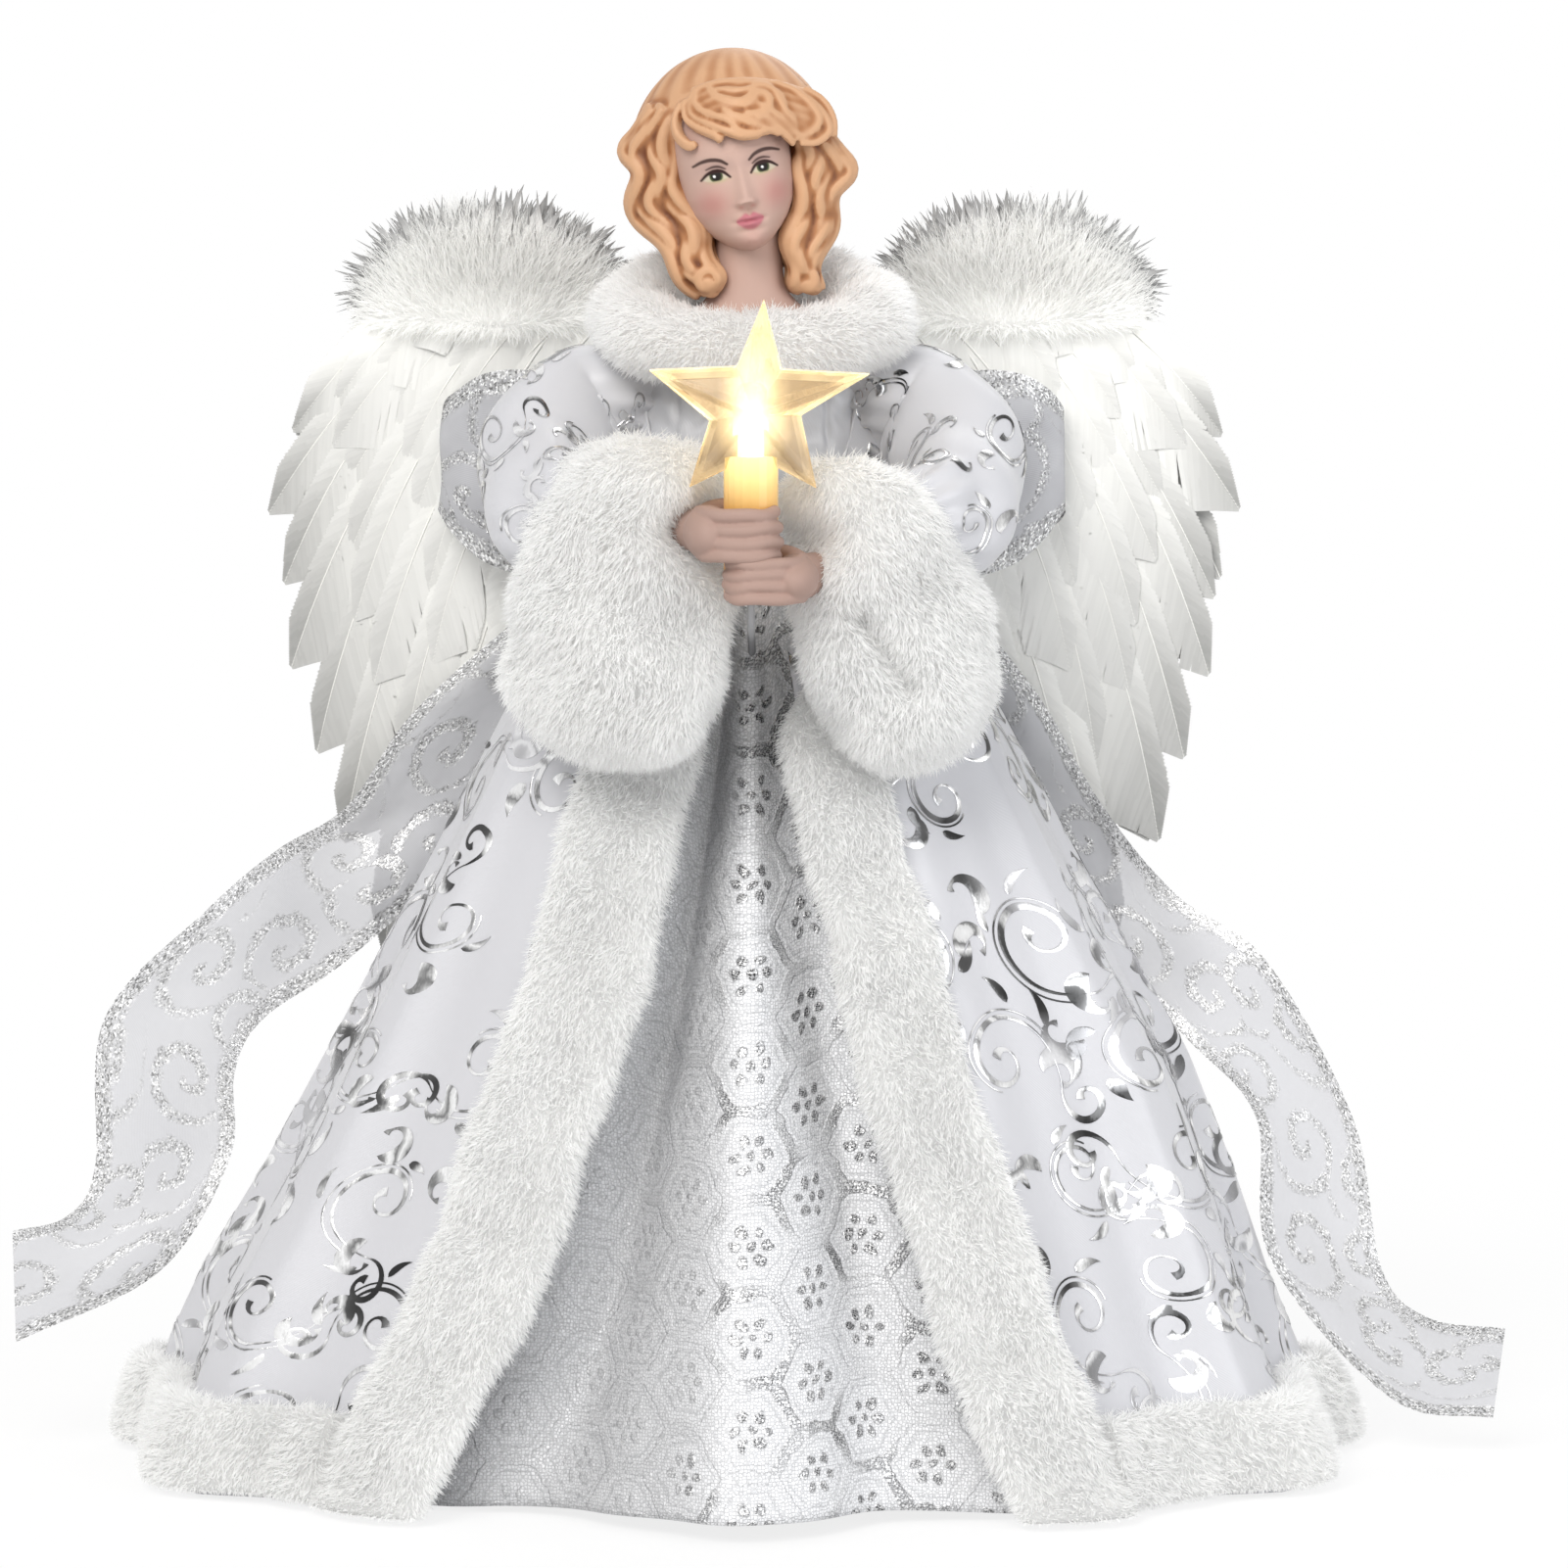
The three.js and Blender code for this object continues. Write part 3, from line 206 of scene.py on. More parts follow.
def steps(tree, value, stops, smooth=False):
    ramp = addNode(tree, "ShaderNodeValToRGB", {"Fac": value})
    ramp.color_ramp.interpolation = "EASE" if smooth else "LINEAR"
    while len(ramp.color_ramp.elements) < len(stops):
        ramp.color_ramp.elements.new(0.5)
    for element, (at, colour) in zip(ramp.color_ramp.elements, stops):
        element.position = at
        element.color = (*colour, 1) if len(colour) == 3 else colour
    return ramp.outputs["Color"]


def grey(v):
    return (v, v, v)


def blend(tree, share, one, two):
    mix = addNode(tree, "ShaderNodeMix", data_type="RGBA")
    for key, value in (("Factor", share), ("A", one), ("B", two)):
        socket = next(s for s in mix.inputs if s.name == key and s.enabled)
        if isinstance(value, bpy.types.NodeSocket):
            tree.links.new(value, socket)
        else:
            socket.default_value = (*value, 1) if hasattr(value, "__len__") and len(value) == 3 else value
    return next(s for s in mix.outputs if s.enabled)


def objectNoise(tree, scale, detail=3.0, stretch=(1, 1, 1)):
    coords = addNode(tree, "ShaderNodeTexCoord").outputs["Object"]
    place = addNode(tree, "ShaderNodeMapping", {"Vector": coords, "Scale": stretch}).outputs[0]
    return addNode(tree, "ShaderNodeTexNoise", {"Vector": place, "Scale": scale,
            "Detail": detail}).outputs["Fac"]


def addBump(tree, shader, height, distance, strength=1.0):
    bump = addNode(tree, "ShaderNodeBump", {"Height": height, "Distance": distance * mm,
            "Strength": strength})
    setInput(shader, "Normal", bump.outputs[0])


# camera, floor and light
shot = dict(elevation=7, lens=200, sensor=36, aim=(6.8, 0, 146), frameWidth=336.2)


def placeCamera():
    reach = shot["frameWidth"] * shot["lens"] / shot["sensor"] * mm
    lean = math.radians(shot["elevation"])
    lens = bpy.data.cameras.new("camera")
    lens.lens, lens.sensor_width, lens.clip_end = shot["lens"], shot["sensor"], 30
    camera = bpy.data.objects.new("camera", lens)
    scene.collection.objects.link(camera)
    camera.location = Vector(shot["aim"]) * mm + Vector((0, -math.cos(lean), math.sin(lean))) * reach
    camera.rotation_euler = (math.pi / 2 - lean, 0, 0)
    scene.camera = camera


studio = dict(ambient=0.5, floorRadius=0.9, floorFade=(0.16, 0.42))
lamps = dict(
    key=dict(at=(-0.55, -1.5, 1.45), size=1.1, watts=33, tint=(1, 0.985, 0.96)),
    fill=dict(at=(1.5, -1.2, 0.6), size=1.2, watts=13, tint=(0.95, 0.97, 1)),
    back=dict(at=(0.5, 1.6, 1.3), size=1.2, watts=9, tint=(1, 1, 1)),
)


def lightStudio():
    for name, lamp in lamps.items():
        light = bpy.data.lights.new(name, "AREA")
        light.size, light.energy, light.color = lamp["size"], lamp["watts"], lamp["tint"]
        holder = bpy.data.objects.new(name, light)
        holder.location = lamp["at"]
        aim = Vector((0, 0, 0.15)) - holder.location
        holder.rotation_euler = aim.to_track_quat("-Z", "Y").to_euler()
        scene.collection.objects.link(holder)
    world = bpy.data.worlds.new("studio")
    world.use_nodes = True
    scene.world = world
    tree = world.node_tree
    seen = seenRays(tree)
    light = calc(tree, "MULTIPLY_ADD", seen, 1 - studio["ambient"], studio["ambient"])
    shade = tree.nodes["Background"]
    setInput(shade, "Color", (1, 1, 1, 1))
    setInput(shade, "Strength", light)


def seenRays(tree):
    path = addNode(tree, "ShaderNodeLightPath").outputs
    both = calc(tree, "MAXIMUM", path["Is Camera Ray"], path["Is Glossy Ray"])
    return calc(tree, "MAXIMUM", both, path["Is Transmission Ray"])


def layFloor():
    ring = [(studio["floorRadius"] / mm * math.cos(a), studio["floorRadius"] / mm * math.sin(a), -0.2)
            for a in fullTurn(64)]
    floor = addPiece("floor", ring, [tuple(range(64))], False)
    finish, tree, shader = newFinish("floorPaper")
    coords = addNode(tree, "ShaderNodeTexCoord").outputs["Object"]
    far = addNode(tree, "ShaderNodeVectorMath", {0: coords}, operation="LENGTH").outputs["Value"]
    near, out = studio["floorFade"]
    fade = addNode(tree, "ShaderNodeMapRange", {0: far, 1: near, 2: out, 3: 0.82, 4: 1.0},
                   interpolation_type="SMOOTHSTEP")
    paper = objectNoise(tree, 40)
    setInput(shader, "Base Color", steps(tree, paper, [(0, grey(0.88)), (1, grey(0.92))]))
    setInput(shader, "Roughness", 0.9)
    glow = addNode(tree, "ShaderNodeEmission", {"Color": (1, 1, 1, 1), "Strength": 1})
    share = calc(tree, "MULTIPLY", fade.outputs[0], seenRays(tree))
    mix = addNode(tree, "ShaderNodeMixShader", {0: share, 1: shader.outputs[0], 2: glow.outputs[0]})
    tree.links.new(mix.outputs[0], tree.nodes["Material Output"].inputs["Surface"])
    floor.data.materials.append(finish)


placeCamera()
lightStudio()
layFloor()
print("camera, lamps and floor set")


# the body's shape, the coat and the gown as functions of angle and height
# angle 0 is the front and grows towards the figure's left; sizes repeat the part's own
torso = dict(z=(185.3, 194.3, 217.3, 236.3), wide=(14, 18, 25, 24), deep=(14, 14.5, 16.5, 12))
coat = dict(
    z=(0.6, 196, 234, 246), wide=(123, 36, 26.8, 20.5), deep=(86.5, 26, 15.2, 13.4), foldDepth=5, folds=11,
    plain=14,
    edge=dict(right=(35, 28, 22, 17, 15.5, 62), left=(28, 23.3, 18.4, 13.4, 10, 60)),
    edgeZ=(0.6, 42, 95, 145, 178, 234), rows=74, columns=170, thick=0.9,
    tuckZ=(172, 190, 203, 217, 234), tuck=(0, 4, 8, 3.4, 0.4),
    flareZ=(0, 25, 40, 62, 87, 130, 180), flare=dict(right=(6, 10, 10, 7, 5, 2, 0),
            left=(0, 1, 2, 5, 7, 3, 0)),
)
gown = dict(
    z=(0.6, 189.3), wide=(110, 16.6), deep=(77, 15), front=93, folds=12, foldDepth=3, share=0.8,
    rows=84, columns=320, thick=0.8,
)


def torsoAt(angle, z, off=0.0):
    wide, deep = np.interp(z, torso["z"], torso["wide"]), np.interp(z, torso["z"], torso["deep"])
    return joined((wide + off) * np.sin(angle), -(deep + off) * np.cos(angle), z)


def coatEdge(side, z):
    return np.radians(np.interp(z, coat["edgeZ"], coat["edge"][side]))


def coatAt(side, angle, z, off=0.0):
    wide, deep = np.interp(z, coat["z"], coat["wide"]), np.interp(z, coat["z"], coat["deep"])
    fall = np.clip((coat["z"][1] - z) / (coat["z"][1] - coat["z"][0]), 0, 1)
    plain = smoothStep((angle - coatEdge(side, z)) / math.radians(coat["plain"]))
    swing = np.cos(coat["folds"] * angle)
    swing = swing + 0.28 * np.cos(2 * coat["folds"] * angle + 0.6) + 0.25 * np.cos(5 * angle + z * 0.006)
    flare = np.interp(z, coat["flareZ"], coat["flare"][side]) * np.sin(np.clip(angle, 0, math.pi)) ** 2
    tuck = np.interp(z, coat["tuckZ"], coat["tuck"]) * (1 - smoothStep((angle - coatEdge(side, z)) / 0.55))
    out = off + flare - tuck + coat["foldDepth"] * fall * plain * np.clip(swing, -1.05, 1.05)
    return joined(sides[side] * (wide + out) * np.sin(angle), -(deep + out) * np.cos(angle), z)


def coatArc(angle, z):
    wide, deep = np.interp(z, coat["z"], coat["wide"]), np.interp(z, coat["z"], coat["deep"])
    return np.hypot(wide * np.cos(angle), deep * np.sin(angle))


def gownAt(angle, z, off=0.0):
    fall = np.clip((gown["z"][1] - z) / (gown["z"][1] - gown["z"][0]), 0, 1)
    edge = np.where(angle < 0, coatEdge("right", z), coatEdge("left", z))
    limit = gown["share"] * edge
    front = np.where(np.abs(angle) < limit, (1 + np.cos(np.pi * angle / limit)) / 2, 0)
    wide = np.interp(z, gown["z"], gown["wide"])
    deep = gown["deep"][1] + (gown["deep"][0] + (gown["front"] - gown["deep"][0]) * front
            - gown["deep"][1]) * fall
    fold = gown["foldDepth"] * np.cos(gown["folds"] * angle)
    # the deep fold beside the right front trim, and the full pleat beside it
    trim = coatEdge("right", z)
    fold = fold - 9 * np.exp(-(((angle / trim + 0.8) / 0.22) ** 2)) + 1.5 * np.exp(-(((angle / trim + 0.36)
            / 0.2) ** 2))
    fold = fold + 0.7 * np.cos(31 * angle + 2 * fall) * np.exp(-((angle / 0.7) ** 2))
    out = off + fall**0.8 * fold
    return joined((wide + out) * np.sin(angle), -(deep + out) * np.cos(angle), z)


def runLength(grid, axis):
    jump = np.linalg.norm(np.diff(grid, axis=axis), axis=-1)
    lead = np.zeros_like(np.take(jump, [0], axis=axis))
    return np.cumsum(np.concatenate([lead, jump], axis=axis), axis=axis)


# satin, foil and brocade
def satinFinish(name, colour, shine=0.36):
    finish, tree, shader = newFinish(name)
    cloud = objectNoise(tree, 30, 4)
    tint = blend(tree, cloud, tuple(c * 0.965 for c in colour), tuple(min(1, c * 1.03) for c in colour))
    setInput(shader, "Base Color", tint)
    threads = addNode(tree, "ShaderNodeUVMap", uv_map="cloth").outputs[0]
    weave = addNode(tree, "ShaderNodeTexWave", {"Vector": threads, "Scale": 0.9, "Distortion": 0.6,
            "Detail": 1.0},
                    bands_direction="DIAGONAL").outputs["Fac"]
    crush = objectNoise(tree, 260, 2)
    addBump(tree, shader, calc(tree, "MULTIPLY_ADD", weave, 0.25, crush), 0.09, 0.5)
    rough = fit(tree, crush, to=(shine - 0.05, shine + 0.08))
    setInput(shader, "Roughness", rough)
    setInput(shader, "Sheen Weight", 0.25)
    return finish


def foilFinish():
    finish, tree, shader = newFinish("silverFoil")
    # the dark and light bands in the silver are painted reflections, finely streaked
    reflectionStreaks = objectNoise(tree, 1500, 2, (1, 1, 0.4))
    ripple = calc(tree, "MULTIPLY_ADD", calc(tree, "SUBTRACT", reflectionStreaks, 0.5), 0.05, objectNoise(tree, 72, 1))
    tone = steps(tree, ripple, [(0.3, grey(0.04)), (0.4, grey(0.1)), (0.44, grey(0.55)), (0.48, grey(0.92)),
            (0.52, grey(0.45)), (0.55, grey(0.2)),
                                (0.58, grey(0.75)), (0.63, grey(0.92)), (0.67, grey(0.25)),
                                (0.73, grey(0.05))])
    # thinner foil lets the satin show
    worn = fit(tree, objectNoise(tree, 34, 2), (0.47, 0.6), (0.0, 0.7))
    setInput(shader, "Base Color", blend(tree, worn, tone, (0.62, 0.62, 0.64)))
    setInput(shader, "Metallic", calc(tree, "MULTIPLY_ADD", worn, -0.6, 1.0))
    setInput(shader, "Roughness", 0.16)
    addBump(tree, shader, objectNoise(tree, 420, 2), 0.2, 0.5)
    return finish


# white lace brocade: six-sided cells in columns, each with a chain of silver stitches and a ring of petals
brocade = dict(column=15.2, row=19.5, petals=6, ring=3.5, petalLong=1.35, petalWide=1.15, chain=0.86)


def brocadeFinish():
    finish, tree, shader = newFinish("laceBrocade")
    uv = addNode(tree, "ShaderNodeUVMap", uv_map="cloth").outputs[0]
    drift = addNode(tree, "ShaderNodeTexNoise", {"Vector": uv, "Scale": 0.22, "Detail": 2.0}).outputs["Color"]
    drift = addNode(tree, "ShaderNodeVectorMath", {0: drift, 1: (0.5, 0.5, 0.5)},
                    operation="SUBTRACT").outputs[0]
    moved = addNode(tree, "ShaderNodeVectorMath", {0: drift, 1: (3.4, 3.4, 0), 2: uv},
                    operation="MULTIPLY_ADD").outputs[0]
    parts = addNode(tree, "ShaderNodeSeparateXYZ", {0: moved}).outputs
    u, v = parts["X"], parts["Y"]
    wide, tall = brocade["column"] * 2, brocade["row"]

    # distance to the nearest cell middle, on the cells of even and of odd columns
    def wrapped(value, size, shift):
        moved = calc(tree, "ADD", value, shift)
        return calc(tree, "WRAP", moved, size / 2, -size / 2)

    def length(x, y):
        return calc(tree, "SQRT", calc(tree, "ADD", calc(tree, "MULTIPLY", x, x),
                calc(tree, "MULTIPLY", y, y)))

    evenX, evenY = wrapped(u, wide, 0), wrapped(v, tall, 0)
    oddX, oddY = wrapped(u, wide, wide / 2), wrapped(v, tall, tall / 2)
    pick = calc(tree, "LESS_THAN", length(oddX, oddY), length(evenX, evenY))

    def picked(a, b):
        return calc(tree, "ADD", a, calc(tree, "MULTIPLY", pick, calc(tree, "SUBTRACT", b, a)))

    x, y = picked(evenX, oddX), picked(evenY, oddY)
    farX, farY = calc(tree, "ABSOLUTE", x), calc(tree, "ABSOLUTE", y)
    span = brocade["column"] ** 2 + tall**2 / 4
    slant = calc(tree, "MULTIPLY_ADD", farX, 2 * brocade["column"] / span,
                 calc(tree, "MULTIPLY", farY, tall / span))
    border = calc(tree, "MAXIMUM", calc(tree, "DIVIDE", farY, tall / 2), slant)
    away = length(x, y)
    turn = calc(tree, "ARCTAN2", y, x)
    petalTurn = calc(tree, "WRAP", turn, math.pi / brocade["petals"], -math.pi / brocade["petals"])
    petalAcross = calc(tree, "DIVIDE", calc(tree, "MULTIPLY", petalTurn, away), brocade["petalWide"])
    petalAlong = calc(tree, "DIVIDE", calc(tree, "SUBTRACT", away, brocade["ring"]), brocade["petalLong"])
    petalFar = length(petalAcross, petalAlong)
    dotFar = calc(tree, "DIVIDE", away, brocade["petalWide"] * 0.9)
    petal = fit(tree, calc(tree, "MINIMUM", petalFar, dotFar), (1.1, 0.75))
    chain = fit(tree, border, (brocade["chain"] - 0.02, brocade["chain"] + 0.02))

    # stitches: fine slanted dashes cut the silver up
    dashTurn = calc(tree, "SINE", calc(tree, "MULTIPLY", calc(tree, "ADD", u,
            calc(tree, "MULTIPLY", v, 0.7)), 6.5))
    dashUp = calc(tree, "SINE", calc(tree, "MULTIPLY", calc(tree, "SUBTRACT", v,
            calc(tree, "MULTIPLY", u, 0.35)), 8.5))
    dash = fit(tree, calc(tree, "MULTIPLY", dashTurn, dashUp), (-0.25, 0.3))
    net = addNode(tree, "ShaderNodeTexVoronoi", {"Vector": uv, "Scale": 1.35, "Randomness": 0.55},
                  feature="DISTANCE_TO_EDGE")
    mesh = fit(tree, net.outputs["Distance"], (0.03, 0.16))
    patch = addNode(tree, "ShaderNodeTexNoise", {"Vector": uv, "Scale": 0.055, "Detail": 2.0}).outputs["Fac"]
    bright = fit(tree, patch, (0.42, 0.58))
    glint = addNode(tree, "ShaderNodeTexVoronoi", {"Vector": uv, "Scale": 2.4}).outputs["Color"]
    spark = addNode(tree, "ShaderNodeSeparateColor", {0: glint}).outputs[0]

    # the stitches are plainest in the middle front and fade into the right-hand fold, where the lace is
    # painted darker too: both the fade and the darkening there are painted shade
    side = calc(tree, "DIVIDE", u, calc(tree, "MULTIPLY_ADD", v, -1 / 225, 1.0))
    plain = fit(tree, calc(tree, "MULTIPLY_ADD", patch, 16.0, side), (-12.0, -1.0), (0.2, 1.0))
    shade = fit(tree, side, (-22.0, -7.0), (0.78, 1.0))
    ring = fit(tree, calc(tree, "ABSOLUTE", calc(tree, "SUBTRACT", border, 0.7)), (0.05, 0.01))
    knots = fit(tree, addNode(tree, "ShaderNodeTexNoise", {"Vector": uv, "Scale": 0.04,
            "Detail": 1.0}).outputs["Fac"], (0.44, 0.54))
    spun = fit(tree, dash, to=(0.45, 1.0))
    netting = calc(tree, "MULTIPLY", calc(tree, "MULTIPLY", chain, spun),
                   calc(tree, "MULTIPLY_ADD", knots, 0.8, 0.12))
    silver = calc(tree, "MAXIMUM", calc(tree, "MULTIPLY", petal, spun), netting)
    silver = calc(tree, "MULTIPLY", silver, plain)
    dark = calc(tree, "MULTIPLY_ADD", bright, -0.14, 0.2)
    tone = addNode(tree, "ShaderNodeCombineColor", {0: dark, 1: dark,
            2: calc(tree, "MULTIPLY", dark, 1.02)}).outputs[0]
    shine = calc(tree, "GREATER_THAN", spark, 0.72)
    tone = blend(tree, calc(tree, "MULTIPLY", shine, 0.8), tone, grey(0.9))
    ground = steps(tree, mesh, [(0, (0.55, 0.555, 0.57)), (1, (0.77, 0.775, 0.795))])
    lace = blend(tree, calc(tree, "MULTIPLY", ring, 0.45), ground, (0.42, 0.425, 0.44))
    # painted shade: the lace darkens into the right-hand fold
    lace = blend(tree, shade, (0.0, 0.0, 0.0), lace)
    setInput(shader, "Base Color", blend(tree, silver, lace, tone))
    flash = calc(tree, "MULTIPLY", calc(tree, "GREATER_THAN", spark, 0.8), 0.6)
    setInput(shader, "Metallic", calc(tree, "MAXIMUM", calc(tree, "MULTIPLY", silver, 0.75), flash))
    setInput(shader, "Roughness", calc(tree, "MULTIPLY_ADD", silver, -0.3, 0.55))
    height = calc(tree, "ADD", calc(tree, "MULTIPLY", mesh, -0.35), calc(tree, "MAXIMUM", chain, petal))
    addBump(tree, shader, height, 0.35, 0.7)
    return finish


satin = satinFinish("printedSatin", (0.54, 0.542, 0.57))
liningSatin = satinFinish("bodiceSatin", (0.52, 0.525, 0.55), 0.3)
foil = foilFinish()
lace = brocadeFinish()


def makeCoat(side):
    z = np.linspace(coat["z"][0], coat["z"][3], coat["rows"])[:, None]
    share = np.linspace(0, 1, coat["columns"])[None, :]
    start = coatEdge(side, z)
    grid = coatAt(side, start + (math.pi - 0.002 - start) * share, z)
    uv = np.stack([runLength(grid, 1), runLength(grid, 0)], -1)
    piece = addGrid(f"coat_{side}_cloth", grid, flip=sides[side] < 0, uv=uv)
    thicken(piece, coat["thick"])
    wear(piece, satin, replaces=[f"coat_{side}_panel"])


def makeGown():
    z = np.linspace(gown["z"][0], gown["z"][1], gown["rows"])[:, None]
    # more columns in front, where the gown is seen
    t = np.linspace(-1, 1, gown["columns"], endpoint=False)[None, :]
    angle = math.pi * (0.45 * t + 0.55 * t**3)
    # its hem is caught up a little in front
    grid = gownAt(angle, z + 3.4 * np.exp(-((angle / 0.42) ** 2)) * np.clip(1 - z / 60, 0, 1))
    full = np.concatenate([grid, grid[:, :1]], 1)
    run = runLength(full, 1)
    run = run - run[:, gown["columns"] // 2, None]
    uv = np.stack([run, runLength(full, 0)], -1)
    piece = addGrid("gown_cloth", grid, closed=True, uv=uv)
    thicken(piece, gown["thick"])
    wear(piece, lace, replaces=["gown_skirt"])


for side in sides:
    makeCoat(side)
makeGown()
print("coat and gown hung")


# fur: fine blades grown on a soft form by Geometry Nodes
furSettings = dict(
    collar=dict(perMm2=5, length=2.9, width=0.27, scatter=0.45, comb=0.9, clump=0.35, clumpSize=150, seed=3),
    cuff=dict(perMm2=4.8, length=3.1, width=0.29, scatter=0.45, comb=1.1, clump=0.5, clumpSize=115, seed=5),
    trim=dict(perMm2=5, length=2.8, width=0.28, scatter=0.45, comb=1.0, clump=0.45, clumpSize=125, seed=7),
    hem=dict(perMm2=4.6, length=2.7, width=0.28, scatter=0.45, comb=0.9, clump=0.45, clumpSize=125, seed=11),
    down=dict(perMm2=3.2, length=7, width=0.3, scatter=0.5, comb=1.2, clump=0.25, clumpSize=60, seed=13),
)


# one blade, a unit long, that narrows to its tip and bends a little
def furBlade(name, parts, bend):
    points, faces = [], []
    for i in range(parts):
        t = i / parts
        half = 0.5 * (1 - 0.55 * t)
        points += [(-half, bend * t * t, t), (half, bend * t * t, t)]
    points.append((0, bend, 1))
    for i in range(parts - 1):
        faces.append((2 * i, 2 * i + 1, 2 * i + 3, 2 * i + 2))
    faces.append((2 * parts - 2, 2 * parts - 1, 2 * parts))
    mesh = bpy.data.meshes.new(name)
    mesh.from_pydata(points, [], faces)
    along = mesh.attributes.new("along", "FLOAT", "POINT")
    along.data.foreach_set("value", [p[2] for p in points])
    across = mesh.attributes.new("across", "FLOAT", "POINT")
    across.data.foreach_set("value", [0.0 if p[0] < 0 else 1.0 for p in points])
    blade = bpy.data.objects.new(name, mesh)
    scene.collection.objects.link(blade)
    return blade


def furTree():
    tree = bpy.data.node_groups.new("furStrands", "GeometryNodeTree")
    tree.interface.new_socket("Geometry", in_out="OUTPUT", socket_type="NodeSocketGeometry")
    tree.interface.new_socket("Geometry", in_out="INPUT", socket_type="NodeSocketGeometry")
    for label in ("Density", "Length", "Width", "Scatter", "Comb", "Clump", "Clump Size"):
        tree.interface.new_socket(label, in_out="INPUT", socket_type="NodeSocketFloat")
    tree.interface.new_socket("Seed", in_out="INPUT", socket_type="NodeSocketInt")
    tree.interface.new_socket("Blade", in_out="INPUT", socket_type="NodeSocketObject")
    tree.interface.new_socket("Finish", in_out="INPUT", socket_type="NodeSocketMaterial")
    give = addNode(tree, "NodeGroupInput").outputs
    spread = addNode(tree, "GeometryNodeDistributePointsOnFaces",
                     {"Mesh": give["Geometry"], "Density": give["Density"], "Seed": give["Seed"]})
    place = addNode(tree, "GeometryNodeInputPosition").outputs[0]
    comb = addNode(tree, "GeometryNodeInputNamedAttribute", {"Name": "comb"},
                   data_type="FLOAT_VECTOR").outputs["Attribute"]
    weight = addNode(tree, "GeometryNodeInputNamedAttribute", {"Name": "weight"},
                     data_type="FLOAT").outputs["Attribute"]

    def vector(operation, one, two=None, scale=None):
        values = {0: one}
        if two is not None:
            values[1] = two
        if scale is not None:
            values["Scale"] = scale
        return addNode(tree, "ShaderNodeVectorMath", values, operation=operation).outputs[0]

    wild = addNode(tree, "FunctionNodeRandomValue", {0: (-1, -1, -1), 1: (1, 1, 1), "Seed": give["Seed"]},
                   data_type="FLOAT_VECTOR").outputs[0]
    waves = addNode(tree, "ShaderNodeTexNoise", {"Vector": place, "Scale": give["Clump Size"], "Detail": 1.0})
    lumps = vector("SUBTRACT", waves.outputs["Color"], (0.5, 0.5, 0.5))
    way = vector("ADD", spread.outputs["Normal"], vector("SCALE", comb, scale=give["Comb"]))
    way = vector("ADD", way, vector("SCALE", wild, scale=give["Scatter"]))
    clumpTwice = calc(tree, "MULTIPLY", give["Clump"], 4.0)
    way = vector("ADD", way, vector("SCALE", lumps, scale=clumpTwice))
    turn = addNode(tree, "FunctionNodeAlignRotationToVector", {"Vector": way}, axis="Z").outputs[0]
    roll = addNode(tree, "FunctionNodeRandomValue", {2: 0.0, 3: 2 * math.pi,
            "ID": addNode(tree, "GeometryNodeInputIndex").outputs[0], "Seed": 21},
            data_type="FLOAT").outputs[1]
    twist = addNode(tree, "FunctionNodeAxisAngleToRotation", {"Axis": (0, 0, 1), "Angle": roll}).outputs[0]
    turn = addNode(tree, "FunctionNodeRotateRotation", {"Rotation": turn, "Rotate By": twist},
                   rotation_space="LOCAL").outputs[0]
    chance = addNode(tree, "FunctionNodeRandomValue", {2: 0.0, 3: 1.0, "Seed": 33},
                     data_type="FLOAT").outputs[1]
    # most blades are near full length, a few stand out
    grown = calc(tree, "MULTIPLY_ADD", calc(tree, "POWER", chance, 2.0), 0.55, 0.68)
    grown = calc(tree, "MULTIPLY", grown, calc(tree, "MULTIPLY", give["Length"], weight))
    size = addNode(tree, "ShaderNodeCombineXYZ", {0: give["Width"], 1: grown, 2: grown}).outputs[0]
    blade = addNode(tree, "GeometryNodeObjectInfo", {"Object": give["Blade"]}).outputs["Geometry"]
    strands = addNode(tree, "GeometryNodeInstanceOnPoints", {"Points": spread.outputs["Points"],
            "Instance": blade, "Rotation": turn, "Scale": size}).outputs[0]
    strands = addNode(tree, "GeometryNodeStoreNamedAttribute",
                      {"Geometry": strands, "Name": "strand", "Value": chance}, data_type="FLOAT",
                      domain="INSTANCE").outputs[0]
    strands = addNode(tree, "GeometryNodeRealizeInstances", {"Geometry": strands}).outputs[0]
    whole = addNode(tree, "GeometryNodeJoinGeometry")
    tree.links.new(strands, whole.inputs[0])
    tree.links.new(give["Geometry"], whole.inputs[0])
    coated = addNode(tree, "GeometryNodeSetMaterial", {"Geometry": whole.outputs[0],
            "Material": give["Finish"]}).outputs[0]
    addNode(tree, "NodeGroupOutput", {0: coated})
    return tree


